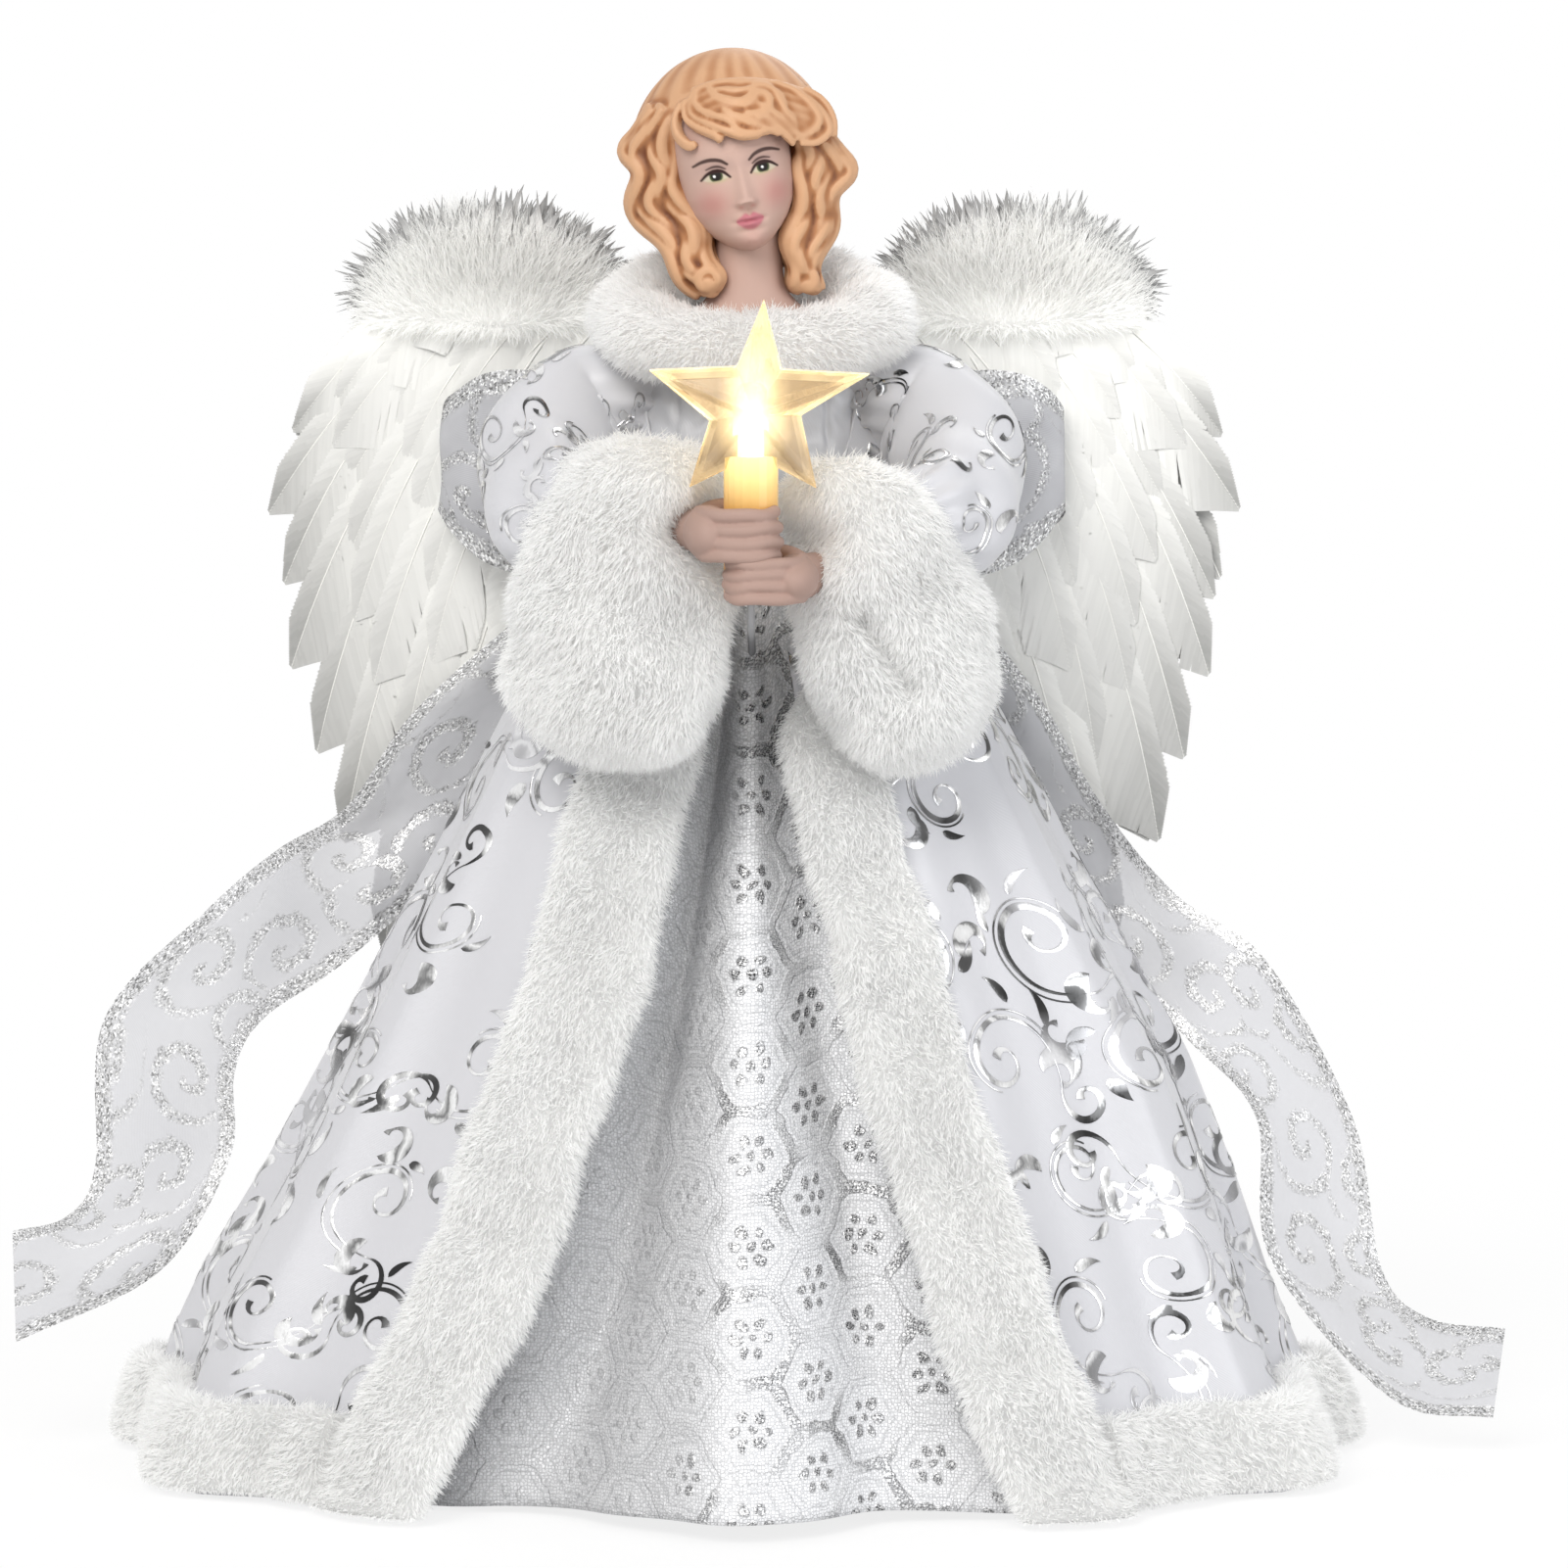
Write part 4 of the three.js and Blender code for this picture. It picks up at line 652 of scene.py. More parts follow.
def furFinish(name, root, tip, sheen=0.3, glow=None):
    finish, tree, shader = newFinish(name)
    along = marked(tree, "along")
    strand = marked(tree, "strand")
    # the blades are a little darker at the root than at the tip: painted shade deep in the pile
    tone = steps(tree, along, [(0.0, root), (0.45, tuple((a + 2 * b) / 3 for a, b in zip(root, tip))),
            (1.0, tip)])
    dim = fit(tree, strand, to=(0.95, 1.0))
    bulk = objectNoise(tree, 55, 3)
    dim = calc(tree, "MULTIPLY", dim, fit(tree, bulk, (0.3, 0.7), (0.965, 1.0)))
    colour = blend(tree, dim, (0.0, 0.0, 0.0), tone)
    setInput(shader, "Base Color", colour)
    setInput(shader, "Roughness", 0.85)
    setInput(shader, "Specular IOR Level", 0.2)
    setInput(shader, "Sheen Weight", sheen)
    setInput(shader, "Sheen Roughness", 0.6)
    # painted glow: the thin down emits a little light near its lower edge, standing in for light let through
    # it and lifting the shade there
    if glow:
        coords = addNode(tree, "ShaderNodeTexCoord").outputs["Object"]
        height = addNode(tree, "ShaderNodeSeparateXYZ", {0: coords}).outputs["Z"]
        low, high, power = glow
        lit = fit(tree, height, (low * mm, high * mm), (power, 0.0), interpolation_type="SMOOTHSTEP")
        setInput(shader, "Emission Color", (*tip, 1))
        setInput(shader, "Emission Strength", lit)
    # light goes through fine hair
    through = addNode(tree, "ShaderNodeBsdfTranslucent", {"Color": colour})
    mix = addNode(tree, "ShaderNodeMixShader", {0: 0.66, 1: shader.outputs[0], 2: through.outputs[0]})
    tree.links.new(mix.outputs[0], tree.nodes["Material Output"].inputs["Surface"])
    return finish


furGrower = furTree()
shortBlade = furBlade("shortBlade", 2, 0.28)
longBlade = furBlade("longBlade", 4, 0.34)
whiteFur = furFinish("whiteFur", (0.975, 0.975, 0.97), (0.99, 0.99, 0.988))
whiteDown = furFinish("whiteDown", (0.99, 0.988, 0.98), (0.995, 0.995, 0.985), glow=(236, 254, 0.42))


# comb is the way the fur lies, weight how long it is, one value for each point of the form
def growFur(form, settings, finish, blade, comb, weight=None):
    mesh = form.data
    count = len(mesh.vertices)
    lie = mesh.attributes.new("comb", "FLOAT_VECTOR", "POINT")
    lie.data.foreach_set("vector", np.broadcast_to(np.asarray(comb, float), (count, 3)).ravel())
    long = mesh.attributes.new("weight", "FLOAT", "POINT")
    long.data.foreach_set("value", np.ones(count) if weight is None else np.asarray(weight, float))
    grow = form.modifiers.new("fur", "NODES")
    grow.node_group = furGrower
    values = {
        "Density": settings["perMm2"] / mm**2, "Length": settings["length"] * mm,
        "Width": settings["width"] * mm,
        "Scatter": settings["scatter"], "Comb": settings["comb"], "Clump": settings["clump"],
        "Clump Size": settings["clumpSize"], "Seed": settings["seed"], "Blade": blade, "Finish": finish,
    }
    for socket in furGrower.interface.items_tree:
        if socket.in_out == "INPUT" and socket.name in values:
            grow[socket.identifier] = values[socket.name]
    applyModifiers(form)
    mesh = form.data
    # each blade takes one column of the bake map, root at the bottom and tip at the top
    corner = np.empty(len(mesh.loops), int)
    mesh.loops.foreach_get("vertex_index", corner)
    read = {}
    for name in ("along", "across", "strand"):
        read[name] = np.zeros(len(mesh.vertices))
        mesh.attributes[name].data.foreach_get("value", read[name])
    spot = np.empty(len(mesh.vertices) * 3)
    mesh.vertices.foreach_get("co", spot)
    spot = spot.reshape(-1, 3) / mm
    grown = read["along"] + read["across"] + read["strand"] > 0
    u = np.where(grown, read["strand"] * 0.95 + read["across"] * 0.02 + 0.01,
                 0.02 + 0.9 * np.mod(spot[:, 0] * 0.031, 1))
    v = np.where(grown, 0.08 + read["along"] * 0.9, 0.01 + 0.05 * np.mod(spot[:, 2] * 0.037, 1))
    layer = mesh.uv_layers.new(name="OFBake")
    layer.data.foreach_set("uv", np.stack([u[corner], v[corner]], -1).ravel())
    mesh.polygons.foreach_set("use_smooth", [True] * len(mesh.polygons))
    print("fur on", form.name, len(mesh.polygons), "faces")
    return form


# a band's section: across it from -1 to 1 and up from its seat
def bandSection(count):
    turn = fullTurn(count)
    round4 = lambda v: np.sign(v) * np.abs(v) ** 0.6
    return round4(np.cos(turn)), (1 + round4(np.sin(turn))) / 2


# closes both ends of a tube of rings with a point
def capTube(name, rings, flip=False):
    rings = np.asarray(rings, float)
    rows, cols = rings.shape[:2]
    points = np.vstack([rings.reshape(-1, 3), rings[0].mean(0), rings[-1].mean(0)])
    faces = gridFaces(rows, cols, True, flip)
    for c in range(cols):
        n = (c + 1) % cols
        low, high = (c, n, rows * cols), ((rows - 1) * cols + n, (rows - 1) * cols + c, rows * cols + 1)
        faces += [low, high] if flip else [low[::-1], high[::-1]]
    piece = addPiece(name, points, faces)
    turnOut(piece)
    return piece


def turnOut(piece):
    work = bmesh.new()
    work.from_mesh(piece.data)
    bmesh.ops.recalc_face_normals(work, faces=work.faces)
    work.to_mesh(piece.data)
    work.free()
    return piece


frontTrim = dict(width=dict(right=(27, 25, 22), left=(26, 21.5, 18)), widthZ=(0, 60, 172), overhang=4,
                 thick=6.2, top=172, rows=90, around=16)
hemTrim = dict(height=18.5, thick=6, columns=170, around=14)


# fur that hangs, but lies short and level where it meets the ground
def hangDown(form, way):
    z = np.array([v.co[2] for v in form.data.vertices]) / mm
    near = np.exp(-((z / 4.5) ** 2))
    comb = np.array(way)[None, :] + near[:, None] * np.array([0, -0.3, 1.0])
    return comb, 1 - 0.7 * near


def makeFrontTrim(side):
    across, up = bandSection(frontTrim["around"])
    z = np.linspace(coat["z"][0] + 0.4, frontTrim["top"], frontTrim["rows"])[:, None]
    edge = coatEdge(side, z)
    width = np.interp(z, frontTrim["widthZ"], frontTrim["width"][side])
    inset = width / 2 - frontTrim["overhang"]
    sway = 1.2 * np.sin(z * 0.11 + sides[side]) + 0.7 * np.sin(z * 0.27)
    end = np.sqrt(np.clip((frontTrim["top"] - z) / 10, 0.06, 1))
    angle = edge + (across[None, :] * width / 2 * end + inset + 0.6 * sway) / coatArc(edge, z)
    lump = 1 + 0.1 * np.sin(z * 0.21 + 2 * sides[side]) + 0.06 * np.sin(z * 0.5)
    rings = coatAt(side, angle, z, 0.6 + up[None, :] * frontTrim["thick"] * lump * end)
    rings[..., 2] = np.maximum(rings[..., 2], 1.8)
    form = capTube(f"{side}_front_fur", rings, sides[side] < 0)
    growFur(form, furSettings["trim"], whiteFur, shortBlade, *hangDown(form, (0, -0.15, -0.8)))
    wear(form, whiteFur, replaces=[f"{side}_front_trim"])


def makeHemTrim(side):
    across, up = bandSection(hemTrim["around"])
    edge = coatEdge(side, coat["z"][0])
    start = edge + (frontTrim["width"][side][0] - frontTrim["overhang"] - 1) / coatArc(edge, 0)
    angle = np.linspace(start, math.pi, hemTrim["columns"])[:, None]
    lump = 1 + 0.1 * np.sin(angle * 23) + 0.07 * np.sin(angle * 51 + 1)
    z = coat["z"][0] + 1.2 + (1 + across[None, :]) / 2 * hemTrim["height"] * (0.97 + 0.03 * lump)
    rings = coatAt(side, angle, z, 0.9 + up[None, :] * hemTrim["thick"] * lump)
    form = capTube(f"{side}_hem_fur", rings, sides[side] < 0)
    growFur(form, furSettings["hem"], whiteFur, shortBlade, *hangDown(form, (0, 0, -0.7)))
    wear(form, whiteFur, replaces=[f"{side}_hem_trim"])


collar = dict(wide=25, deep=19, forward=6, middle=247, slope=6, radial=8.2, tall=7.4, around=28, turns=120)


def makeCollar():
    t = fullTurn(collar["turns"])[:, None]
    a = fullTurn(collar["around"])[None, :]
    lump = 1 + 0.05 * np.sin(5 * t + 1) + 0.04 * np.sin(11 * t) + 0.03 * np.sin(3 * a + 7 * t)
    reach = collar["radial"] * lump * np.cos(a)
    x = (collar["wide"] + reach) * np.sin(t)
    y = -(collar["deep"] + reach) * np.cos(t) - collar["forward"]
    z = collar["middle"] - collar["slope"] * np.cos(t) + collar["tall"] * lump * np.sin(a)
    rings = joined(x, y, z)
    rows, cols = rings.shape[:2]
    faces = gridFaces(rows, cols, True) + [
        ((rows - 1) * cols + c, (rows - 1) * cols + (c + 1) % cols, (c + 1) % cols, c) for c in range(cols)]
    form = turnOut(addPiece("collar_fur", rings.reshape(-1, 3), faces))
    out = joined(np.sin(t), -np.cos(t), 0 * t - 0.5)
    comb = np.broadcast_to(out, rings.shape).reshape(-1, 3)
    growFur(form, furSettings["collar"], whiteFur, shortBlade, comb)
    wear(form, whiteFur, replaces=["fur_collar"])


# the cuffs are wide bells of fur that hang from the wrists: height, middle, half length and half depth
cuffs = dict(
    right=[(224.5, 23, 4, 3), (222, 23, 12.5, 9), (217, 23.5, 17.3, 13.5), (208, 25.3, 19.6, 15.5),
           (197, 26.8, 20.8, 16), (186, 27.8, 22, 16),
           (175, 28, 22, 15.5), (167, 27.6, 19.5, 13.5), (161, 27, 14.5, 10), (157.5, 27, 6, 4.5)],
    left=[(220.5, 19, 4, 3), (218.5, 19.5, 9, 8), (213, 22, 15, 13.5), (206, 24, 17.5, 15.5),
          (196, 26.5, 18.8, 16), (186, 29, 19.3, 16),
          (175, 31.5, 18.8, 15.5), (166, 32.5, 15.8, 13), (160, 32.3, 11.5, 9.5), (156, 32, 5, 4)],
    plan=31, along=54, around=60, dent=dict(right=(207, 7, 6.5), left=(206, 5, 6)),
    crease=((23, 189), (33, 174)), creaseDepth=4.5,
)


def makeCuff(side):
    sign = sides[side]
    profile = splineThrough(cuffs[side], cuffs["along"])
    z, middle, long, deep = (profile[:, k : k + 1] for k in range(4))
    turn = math.radians(cuffs["plan"])
    a = fullTurn(cuffs["around"])[None, :]
    long = np.sqrt(np.maximum(long**2 - (deep * math.sin(turn)) ** 2, 4)) / math.cos(turn)
    lump = 1 + 0.05 * np.sin(3 * a + z * 0.16 + sign) + 0.045 * np.sin(5 * a - z * 0.11) + 0.03 * np.sin(z
            * 0.33 + 2 * a)
    # the hand leaves through a hollow at the inner end
    height, depth, spread = cuffs["dent"][side]
    inner = np.maximum(0, -np.cos(a)) ** 2
    reach = long * np.cos(a) * lump + depth * inner * np.exp(-(((z - height) / spread) ** 2))
    out = deep * np.sin(a) * lump
    x = middle + reach * math.cos(turn) + out * math.sin(turn)
    y = -51 + 0.6 * (middle - 27) + reach * math.sin(turn) - out * math.cos(turn)
    rings = joined(x, y, z)
    if side == "left":
        # a fold across its front
        (x0, z0), (x1, z1) = cuffs["crease"]
        share = np.clip(((x - x0) * (x1 - x0) + (z - z0) * (z1 - z0)) / ((x1 - x0) ** 2 + (z1 - z0) ** 2),
                        0, 1)
        far = np.hypot(x - x0 - share * (x1 - x0), z - z0 - share * (z1 - z0))
        rings[..., 1] += cuffs["creaseDepth"] * np.exp(-((far / 2.6) ** 2)) * (np.sin(a) > 0)
    rings[..., 0] *= sign
    form = capTube(f"{side}_cuff_fur", rings)
    comb = np.tile(np.array([0.1 * sign, -0.25, -0.85]), (len(form.data.vertices), 1))
    growFur(form, furSettings["cuff"], whiteFur, shortBlade, comb)
    wear(form, whiteFur, replaces=[f"{side}_cuff"])


for side in sides:
    makeFrontTrim(side)
    makeHemTrim(side)
    makeCuff(side)
makeCollar()
print("fur grown")


# bodice, waist ribbon and sleeves
bodice = dict(z=(188.5, 235.4), ease=1.1, seams=(14, 38, 66, 100, 140), seamDepth=0.55, thick=0.7)
waist = dict(z=(190.6, 195.8), ease=2.3, thick=0.5)
sleeves = dict(
    stations=[((21, 0, 228), 8, 8.5), ((28, -1, 229), 11.5, 11.5), ((38, -4, 226), 12.4, 13.6),
              ((44.5, -18, 215.5), 12.6, 15.5),
              ((43.5, -34, 208.6), 12, 14), ((39, -42.5, 206.5), 10.5, 13), ((32, -49, 205), 8.5, 10.5)],
    along=84, around=84, thick=0.7,
)


def makeBodice():
    angle = np.linspace(-math.pi, math.pi, 200, endpoint=False)[None, :]
    z = np.linspace(bodice["z"][0], bodice["z"][1], 50)[:, None]
    groove = sum(np.exp(-((np.degrees(np.abs(angle)) - seam) / 1.6) ** 2) for seam in bodice["seams"])
    pull = 0.25 * np.sin(z * 0.9 + 3 * np.sin(angle * 9))
    grid = torsoAt(angle, z, bodice["ease"] + pull - bodice["seamDepth"] * groove)
    full = np.concatenate([grid, grid[:, :1]], 1)
    piece = addGrid("bodice_cloth", grid, closed=True, uv=np.stack([runLength(full, 1), runLength(full, 0)],
            -1))
    thicken(piece, bodice["thick"])
    wear(piece, liningSatin, replaces=["gown_bodice"])


def makeWaist():
    angle = np.linspace(-math.pi, math.pi, 120, endpoint=False)[None, :]
    z = np.linspace(waist["z"][0], waist["z"][1], 7)[:, None]
    grid = torsoAt(angle, z, waist["ease"] + 0.15 * np.cos(angle * 17))
    full = np.concatenate([grid, grid[:, :1]], 1)
    piece = addGrid("waist_ribbon", grid, closed=True, uv=np.stack([runLength(full, 1), runLength(full, 0)],
            -1))
    thicken(piece, waist["thick"])
    wear(piece, foil, replaces=["waist_band"])


# the middle line and sizes of a sleeve, read at any share of its length
sleeveLine = splineThrough([s[0] for s in sleeves["stations"]], 60)
sleeveWide = splineThrough([[s[1]] for s in sleeves["stations"]], 60)[:, 0]
sleeveTall = splineThrough([[s[2]] for s in sleeves["stations"]], 60)[:, 0]
sleeveLong = runLength(sleeveLine, 0)[-1]


def sleeveAt(side, share, turn, off=0.0):
    at = np.linspace(0, 1, 60)
    middle = np.stack([np.interp(share, at, sleeveLine[:, i]) for i in range(3)], -1)
    ahead = np.stack([np.interp(share, at, np.gradient(sleeveLine[:, i])) for i in range(3)], -1)
    ahead /= np.linalg.norm(ahead, axis=-1, keepdims=True)
    flat = np.cross(ahead, [0, 0, 1.0])
    flat /= np.linalg.norm(flat, axis=-1, keepdims=True)
    rise = np.cross(flat, ahead)
    wide, tall = np.interp(share, at, sleeveWide), np.interp(share, at, sleeveTall)
    gather = 0.9 * np.cos(13 * turn) * np.exp(-(share / 0.16) ** 2) + 0.8 * np.cos(12 * turn
            + 1) * np.exp(-((1 - share) / 0.2) ** 2)
    crease = 1.1 * np.sin(30 * share + 1.6 * np.sin(turn + 0.6)) * np.exp(-((share - 0.55)
            / 0.28) ** 2) * (0.6 + 0.4 * np.cos(turn * 2 + 1))
    crease = crease + 0.7 * np.sin(17 * share - 3 * turn) * np.sin(math.pi * np.clip(share, 0, 1))
    out = off + gather + crease
    point = middle + flat * ((wide + out) * np.cos(turn))[...,
            None] + rise * ((tall + out) * np.sin(turn))[..., None]
    return point * np.array([sides[side], 1, 1])


def makeSleeve(side):
    share = np.linspace(0, 1, sleeves["along"])[:, None] + np.zeros((1, sleeves["around"]))
    turn = fullTurn(sleeves["around"])[None, :] + np.zeros_like(share)
    grid = sleeveAt(side, share, turn)
    full = np.concatenate([grid, grid[:, :1]], 1)
    piece = addGrid(f"{side}_sleeve_cloth", grid, closed=True,
                    uv=np.stack([runLength(full, 1), runLength(full, 0)], -1))
    turnOut(piece)
    thicken(piece, sleeves["thick"], -1)
    wear(piece, satin, replaces=[f"{side}_sleeve"])


# foil print: scrolls, commas and fine lines laid on the cloth
scrolls = dict(coatPitch=(29, 29), sizes=(0.8, 1.15), sleeveSizes=(0.55, 0.8), lift=0.62, seed=17)


def bentLine(start, heading, length, bends, count=34):
    head = heading + np.concatenate([[0], np.cumsum(bends(np.linspace(0, 1, count))[:-1] * length / count)])
    steps2 = np.stack([np.cos(head), np.sin(head)], -1) * length / count
    return np.asarray(start) + np.concatenate([[[0, 0]], np.cumsum(steps2[:-1], 0)])


# one group of strokes round (0, 0): each is a middle line and its half width
def scrollGroup(rng, size):
    hand = rng.choice([-1, 1])
    heading = rng.uniform(0, 2 * math.pi)
    strokes = []
    # a long scroll that winds in to a bold end, drawn double on its outside
    at = np.linspace(0, 1, 60)
    line = bentLine((0, 0), heading, 58 * size, lambda s: hand / (15 - 13.2 * s**0.85) / size, 60)
    line -= line[24:].mean(0)
    across = np.gradient(line, axis=0)[:, ::-1] * [-1, 1]
    across /= np.linalg.norm(across, axis=1, keepdims=True)
    bold = rng.uniform(0.35, 0.65)
    strokes.append((line, size * (0.16 + bold * np.sin(math.pi * at**1.3) ** 1.5 + 1.0
            * np.exp(-(((1 - at) / 0.045) ** 2)))))
    beside = (line - hand * across * 1.55 * size)[6:44]
    strokes.append((beside, np.full(len(beside), 0.2)))
    # a bold comma inside the opening, or behind the scroll
    grow = np.linspace(0, 1, 26)
    for share, off in ((4, rng.uniform(3, 4.5)), (30, -rng.uniform(3.5, 5))):
        spot = line[share] + hand * across[share] * off * size
        tangent = math.atan2(*(line[share + 1] - line[share])[::-1])
        comma = bentLine(spot, tangent + rng.uniform(-0.6, 0.6), rng.uniform(13, 17) * size,
                         lambda s: -hand / (4.6 - 2.4 * s) / size, 26)
        strokes.append((comma, size * (1.85 * np.sin(math.pi * grow**0.6) ** 1.4 + 0.8
                * np.exp(-(((1 - grow) / 0.07) ** 2)))))
    # leaves and drops along its outside
    for share in rng.choice([2, 12, 20, 28, 36], 3, replace=False):
        tangent = math.atan2(*(line[share + 1] - line[share])[::-1])
        spot = line[share] - hand * across[share] * rng.uniform(2.4, 3.2) * size
        leaf = bentLine(spot, tangent - hand * rng.uniform(0.4, 1.2), rng.uniform(6, 10) * size,
                        lambda s: hand * 0.13 * np.ones_like(s) / size, 14)
        strokes.append((leaf, size * rng.uniform(0.8, 1.5) * np.sin(math.pi * np.clip(np.linspace(0, 1, 14),
                0.001, 1) ** 0.6)))
    # a small curl at the tail, turned the other way
    tail = math.atan2(*(line[0] - line[2])[::-1])
    curl = bentLine(line[0], tail, 24 * size, lambda s: hand / (6.4 - 5.0 * s) / size, 30)
    grow = np.linspace(0, 1, 30)
    strokes.append((curl, size * (0.2 + 0.6 * np.sin(math.pi * grow) + 0.9
            * np.exp(-(((1 - grow) / 0.07) ** 2)))))
    return strokes


def makeFoil(name, groups, spotAt):
    points, faces = [], []
    for place, strokes in groups:
        for line, half in strokes:
            ahead = np.gradient(line, axis=0)
            across = np.stack([-ahead[:, 1], ahead[:, 0]], -1)
            across /= np.maximum(np.linalg.norm(across, axis=1, keepdims=True), 1e-6)
            rails = [line + across * (half * way)[:, None] for way in (-1, 0, 1)]
            lifts = [0, 0.12, 0]
            start = len(points)
            grid = np.stack([spotAt(place, rail[:, 0], rail[:, 1], lift) for rail,
                             lift in zip(rails, lifts)], 1)
            points += grid.reshape(-1, 3).tolist()
            faces += gridFaces(len(line), 3, start=start)
    return addPiece(name, points, faces)


def coatFoil(side):
    rng = np.random.default_rng(scrolls["seed"] + sides[side])
    wide, tall = scrolls["coatPitch"]
    groups = []
    for row, z in enumerate(np.arange(16, 226, tall * 0.9)):
        edge = float(coatEdge(side, z))
        run = 10 + (row % 2) * wide / 2
        while True:
            angle = edge + run / float(coatArc(edge + 0.5, z))
            if angle > math.pi - 0.1:
                break
            spot = (angle + rng.uniform(-4, 4) / 90, z + rng.uniform(-4, 4))
            groups.append((spot, scrollGroup(rng, rng.uniform(*scrolls["sizes"]))))
            run += wide * rng.uniform(0.85, 1.15)

    def spotAt(place, dx, dy, lift):
        z = np.clip(place[1] + dy * 0.93, 2, 232)
        angle = place[0] + dx / coatArc(place[0], z)
        return coatAt(side, np.clip(angle, coatEdge(side, z), math.pi), z, scrolls["lift"] + lift)

    piece = makeFoil(f"coat_{side}_foil", groups, spotAt)
    faceOut(piece, lambda c: (c[0], c[1], 0.02))
    wear(piece, foil, replaces=[f"coat_{side}_panel"])


def sleeveFoil(side):
    rng = np.random.default_rng(scrolls["seed"] + 7 * sides[side] + 20)
    groups = []
    for i, share in enumerate((0.28, 0.55, 0.82)):
        for k in range(4):
            turn = (k + 0.5 * (i % 2)) * 2 * math.pi / 4 + rng.uniform(-0.15, 0.15)
            groups.append(((share + rng.uniform(-0.02, 0.02), turn),
                           scrollGroup(rng, rng.uniform(*scrolls["sleeveSizes"]))))

    def spotAt(place, dx, dy, lift):
        share = np.clip(place[0] + dx / sleeveLong, 0.03, 0.99)
        return sleeveAt(side, share, place[1] + dy / 14.5, 0.16 + lift)

    piece = makeFoil(f"{side}_sleeve_foil", groups, spotAt)
    centre = np.array([sides[side] * 44, -20, 216]) * mm
    faceOut(piece, lambda c: c - centre)
    wear(piece, foil, replaces=[f"{side}_sleeve"])


# turns single faces the way that the rule gives for their middle
def faceOut(piece, rule):
    work = bmesh.new()
    work.from_mesh(piece.data)
    work.normal_update()
    turned = [f for f in work.faces if f.normal.dot(Vector(rule(np.array(f.calc_center_median())))) < 0]
    bmesh.ops.reverse_faces(work, faces=turned)
    work.to_mesh(piece.data)
    work.free()


makeBodice()
makeWaist()
for side in sides:
    makeSleeve(side)
    coatFoil(side)
    sleeveFoil(side)
print("bodice, sleeves and foil print made")


# wings: rows of feathers from a root line to the tips, each with a shaft and its barbs
wings = dict(
    tips=[(101, 218), (106, 200), (102.5, 183.5), (100, 166), (94.2, 147.3), (89, 127), (79, 104)],
    roots=[(70, 250), (59, 253), (56, 251), (54, 248), (54, 240), (52, 226), (46, 212)],
    # dim is how strongly a row's feather tips are greyed: painted shade
    rows=[dict(reach=1.0, count=7, y=36.5, wide=12, shift=0, dim=0.85),
          dict(reach=0.78, count=8, y=35.5, wide=11, shift=4, dim=0.45),
          dict(reach=0.6, count=7, y=34.6, wide=10.5, shift=8, dim=0.28),
          dict(reach=0.44, count=6, y=33.7, wide=10, shift=13, dim=0.2),
          dict(reach=0.62, count=5, y=34.2, wide=10, shift=26, dim=0.1)],
    back=[dict(reach=0.98, count=7, y=39.3, wide=12, shift=0, dim=0.85),
          dict(reach=0.75, count=8, y=40.1, wide=11, shift=5, dim=0.45),
          dict(reach=0.55, count=7, y=40.9, wide=10.5, shift=12, dim=0.15),
          dict(reach=0.6, count=5, y=40.5, wide=10, shift=27, dim=0.1)],
    outerVane=0.32, barbStep=0.85, seed=41,
)


def featherFinish():
    finish, tree, shader = newFinish("whiteFeather")
    share = marked(tree, "out")
    barb = marked(tree, "barb")
    vane = steps(tree, share, [(0.0, (0.99, 0.985, 0.95)), (0.07, (0.985, 0.985, 0.955)),
            (1.0, (0.985, 0.985, 0.96))])
    # barb tone: the feather tips are painted darker, painted shade
    dim = fit(tree, barb, to=(0.4, 1.0))
    cloud = fit(tree, objectNoise(tree, 38, 3), (0.3, 0.7), (0.975, 1.0))
    colour = blend(tree, calc(tree, "MULTIPLY", dim, cloud), (0.0, 0.0, 0.0), vane)
    setInput(shader, "Base Color", colour)
    setInput(shader, "Roughness", 0.6)
    setInput(shader, "Specular IOR Level", 0.25)
    setInput(shader, "Sheen Weight", 0.15)
    through = addNode(tree, "ShaderNodeBsdfTranslucent", {"Color": colour})
    mix = addNode(tree, "ShaderNodeMixShader", {0: 0.15, 1: shader.outputs[0], 2: through.outputs[0]})
    tree.links.new(mix.outputs[0], tree.nodes["Material Output"].inputs["Surface"])
    return finish


# collects points and faces; out is the distance from the shaft, barb a tone for each barb, which on feathers
# carries painted shade at the tips
class FeatherBuilder:
    def __init__(self):
        self.points, self.faces, self.out, self.barb = [], [], [], []

    def strip(self, left, right, out, tone):
        start = len(self.points)
        count = len(left)
        for a, b in zip(left, right):
            self.points += [a, b]
        self.out += [v for v in out for _ in (0, 1)]
        self.barb += [tone] * (2 * count)
        for i in range(count - 1):
            j = start + 2 * i
            self.faces.append((j, j + 1, j + 3, j + 2))

    def tube(self, line, radius, normal):
        start = len(self.points)
        ahead = np.gradient(line, axis=0)
        ahead /= np.linalg.norm(ahead, axis=1, keepdims=True)
        flat = np.cross(ahead, normal)
        for i, middle in enumerate(line):
            for k in range(4):
                turn = k * math.pi / 2
                self.points.append(middle + radius[i] * (flat[i] * math.cos(turn) + 0.3 * normal
                        * math.sin(turn)))
        self.out += [0.0] * (4 * len(line))
        self.barb += [1.0] * (4 * len(line))
        self.faces += gridFaces(len(line), 4, True, start=start)


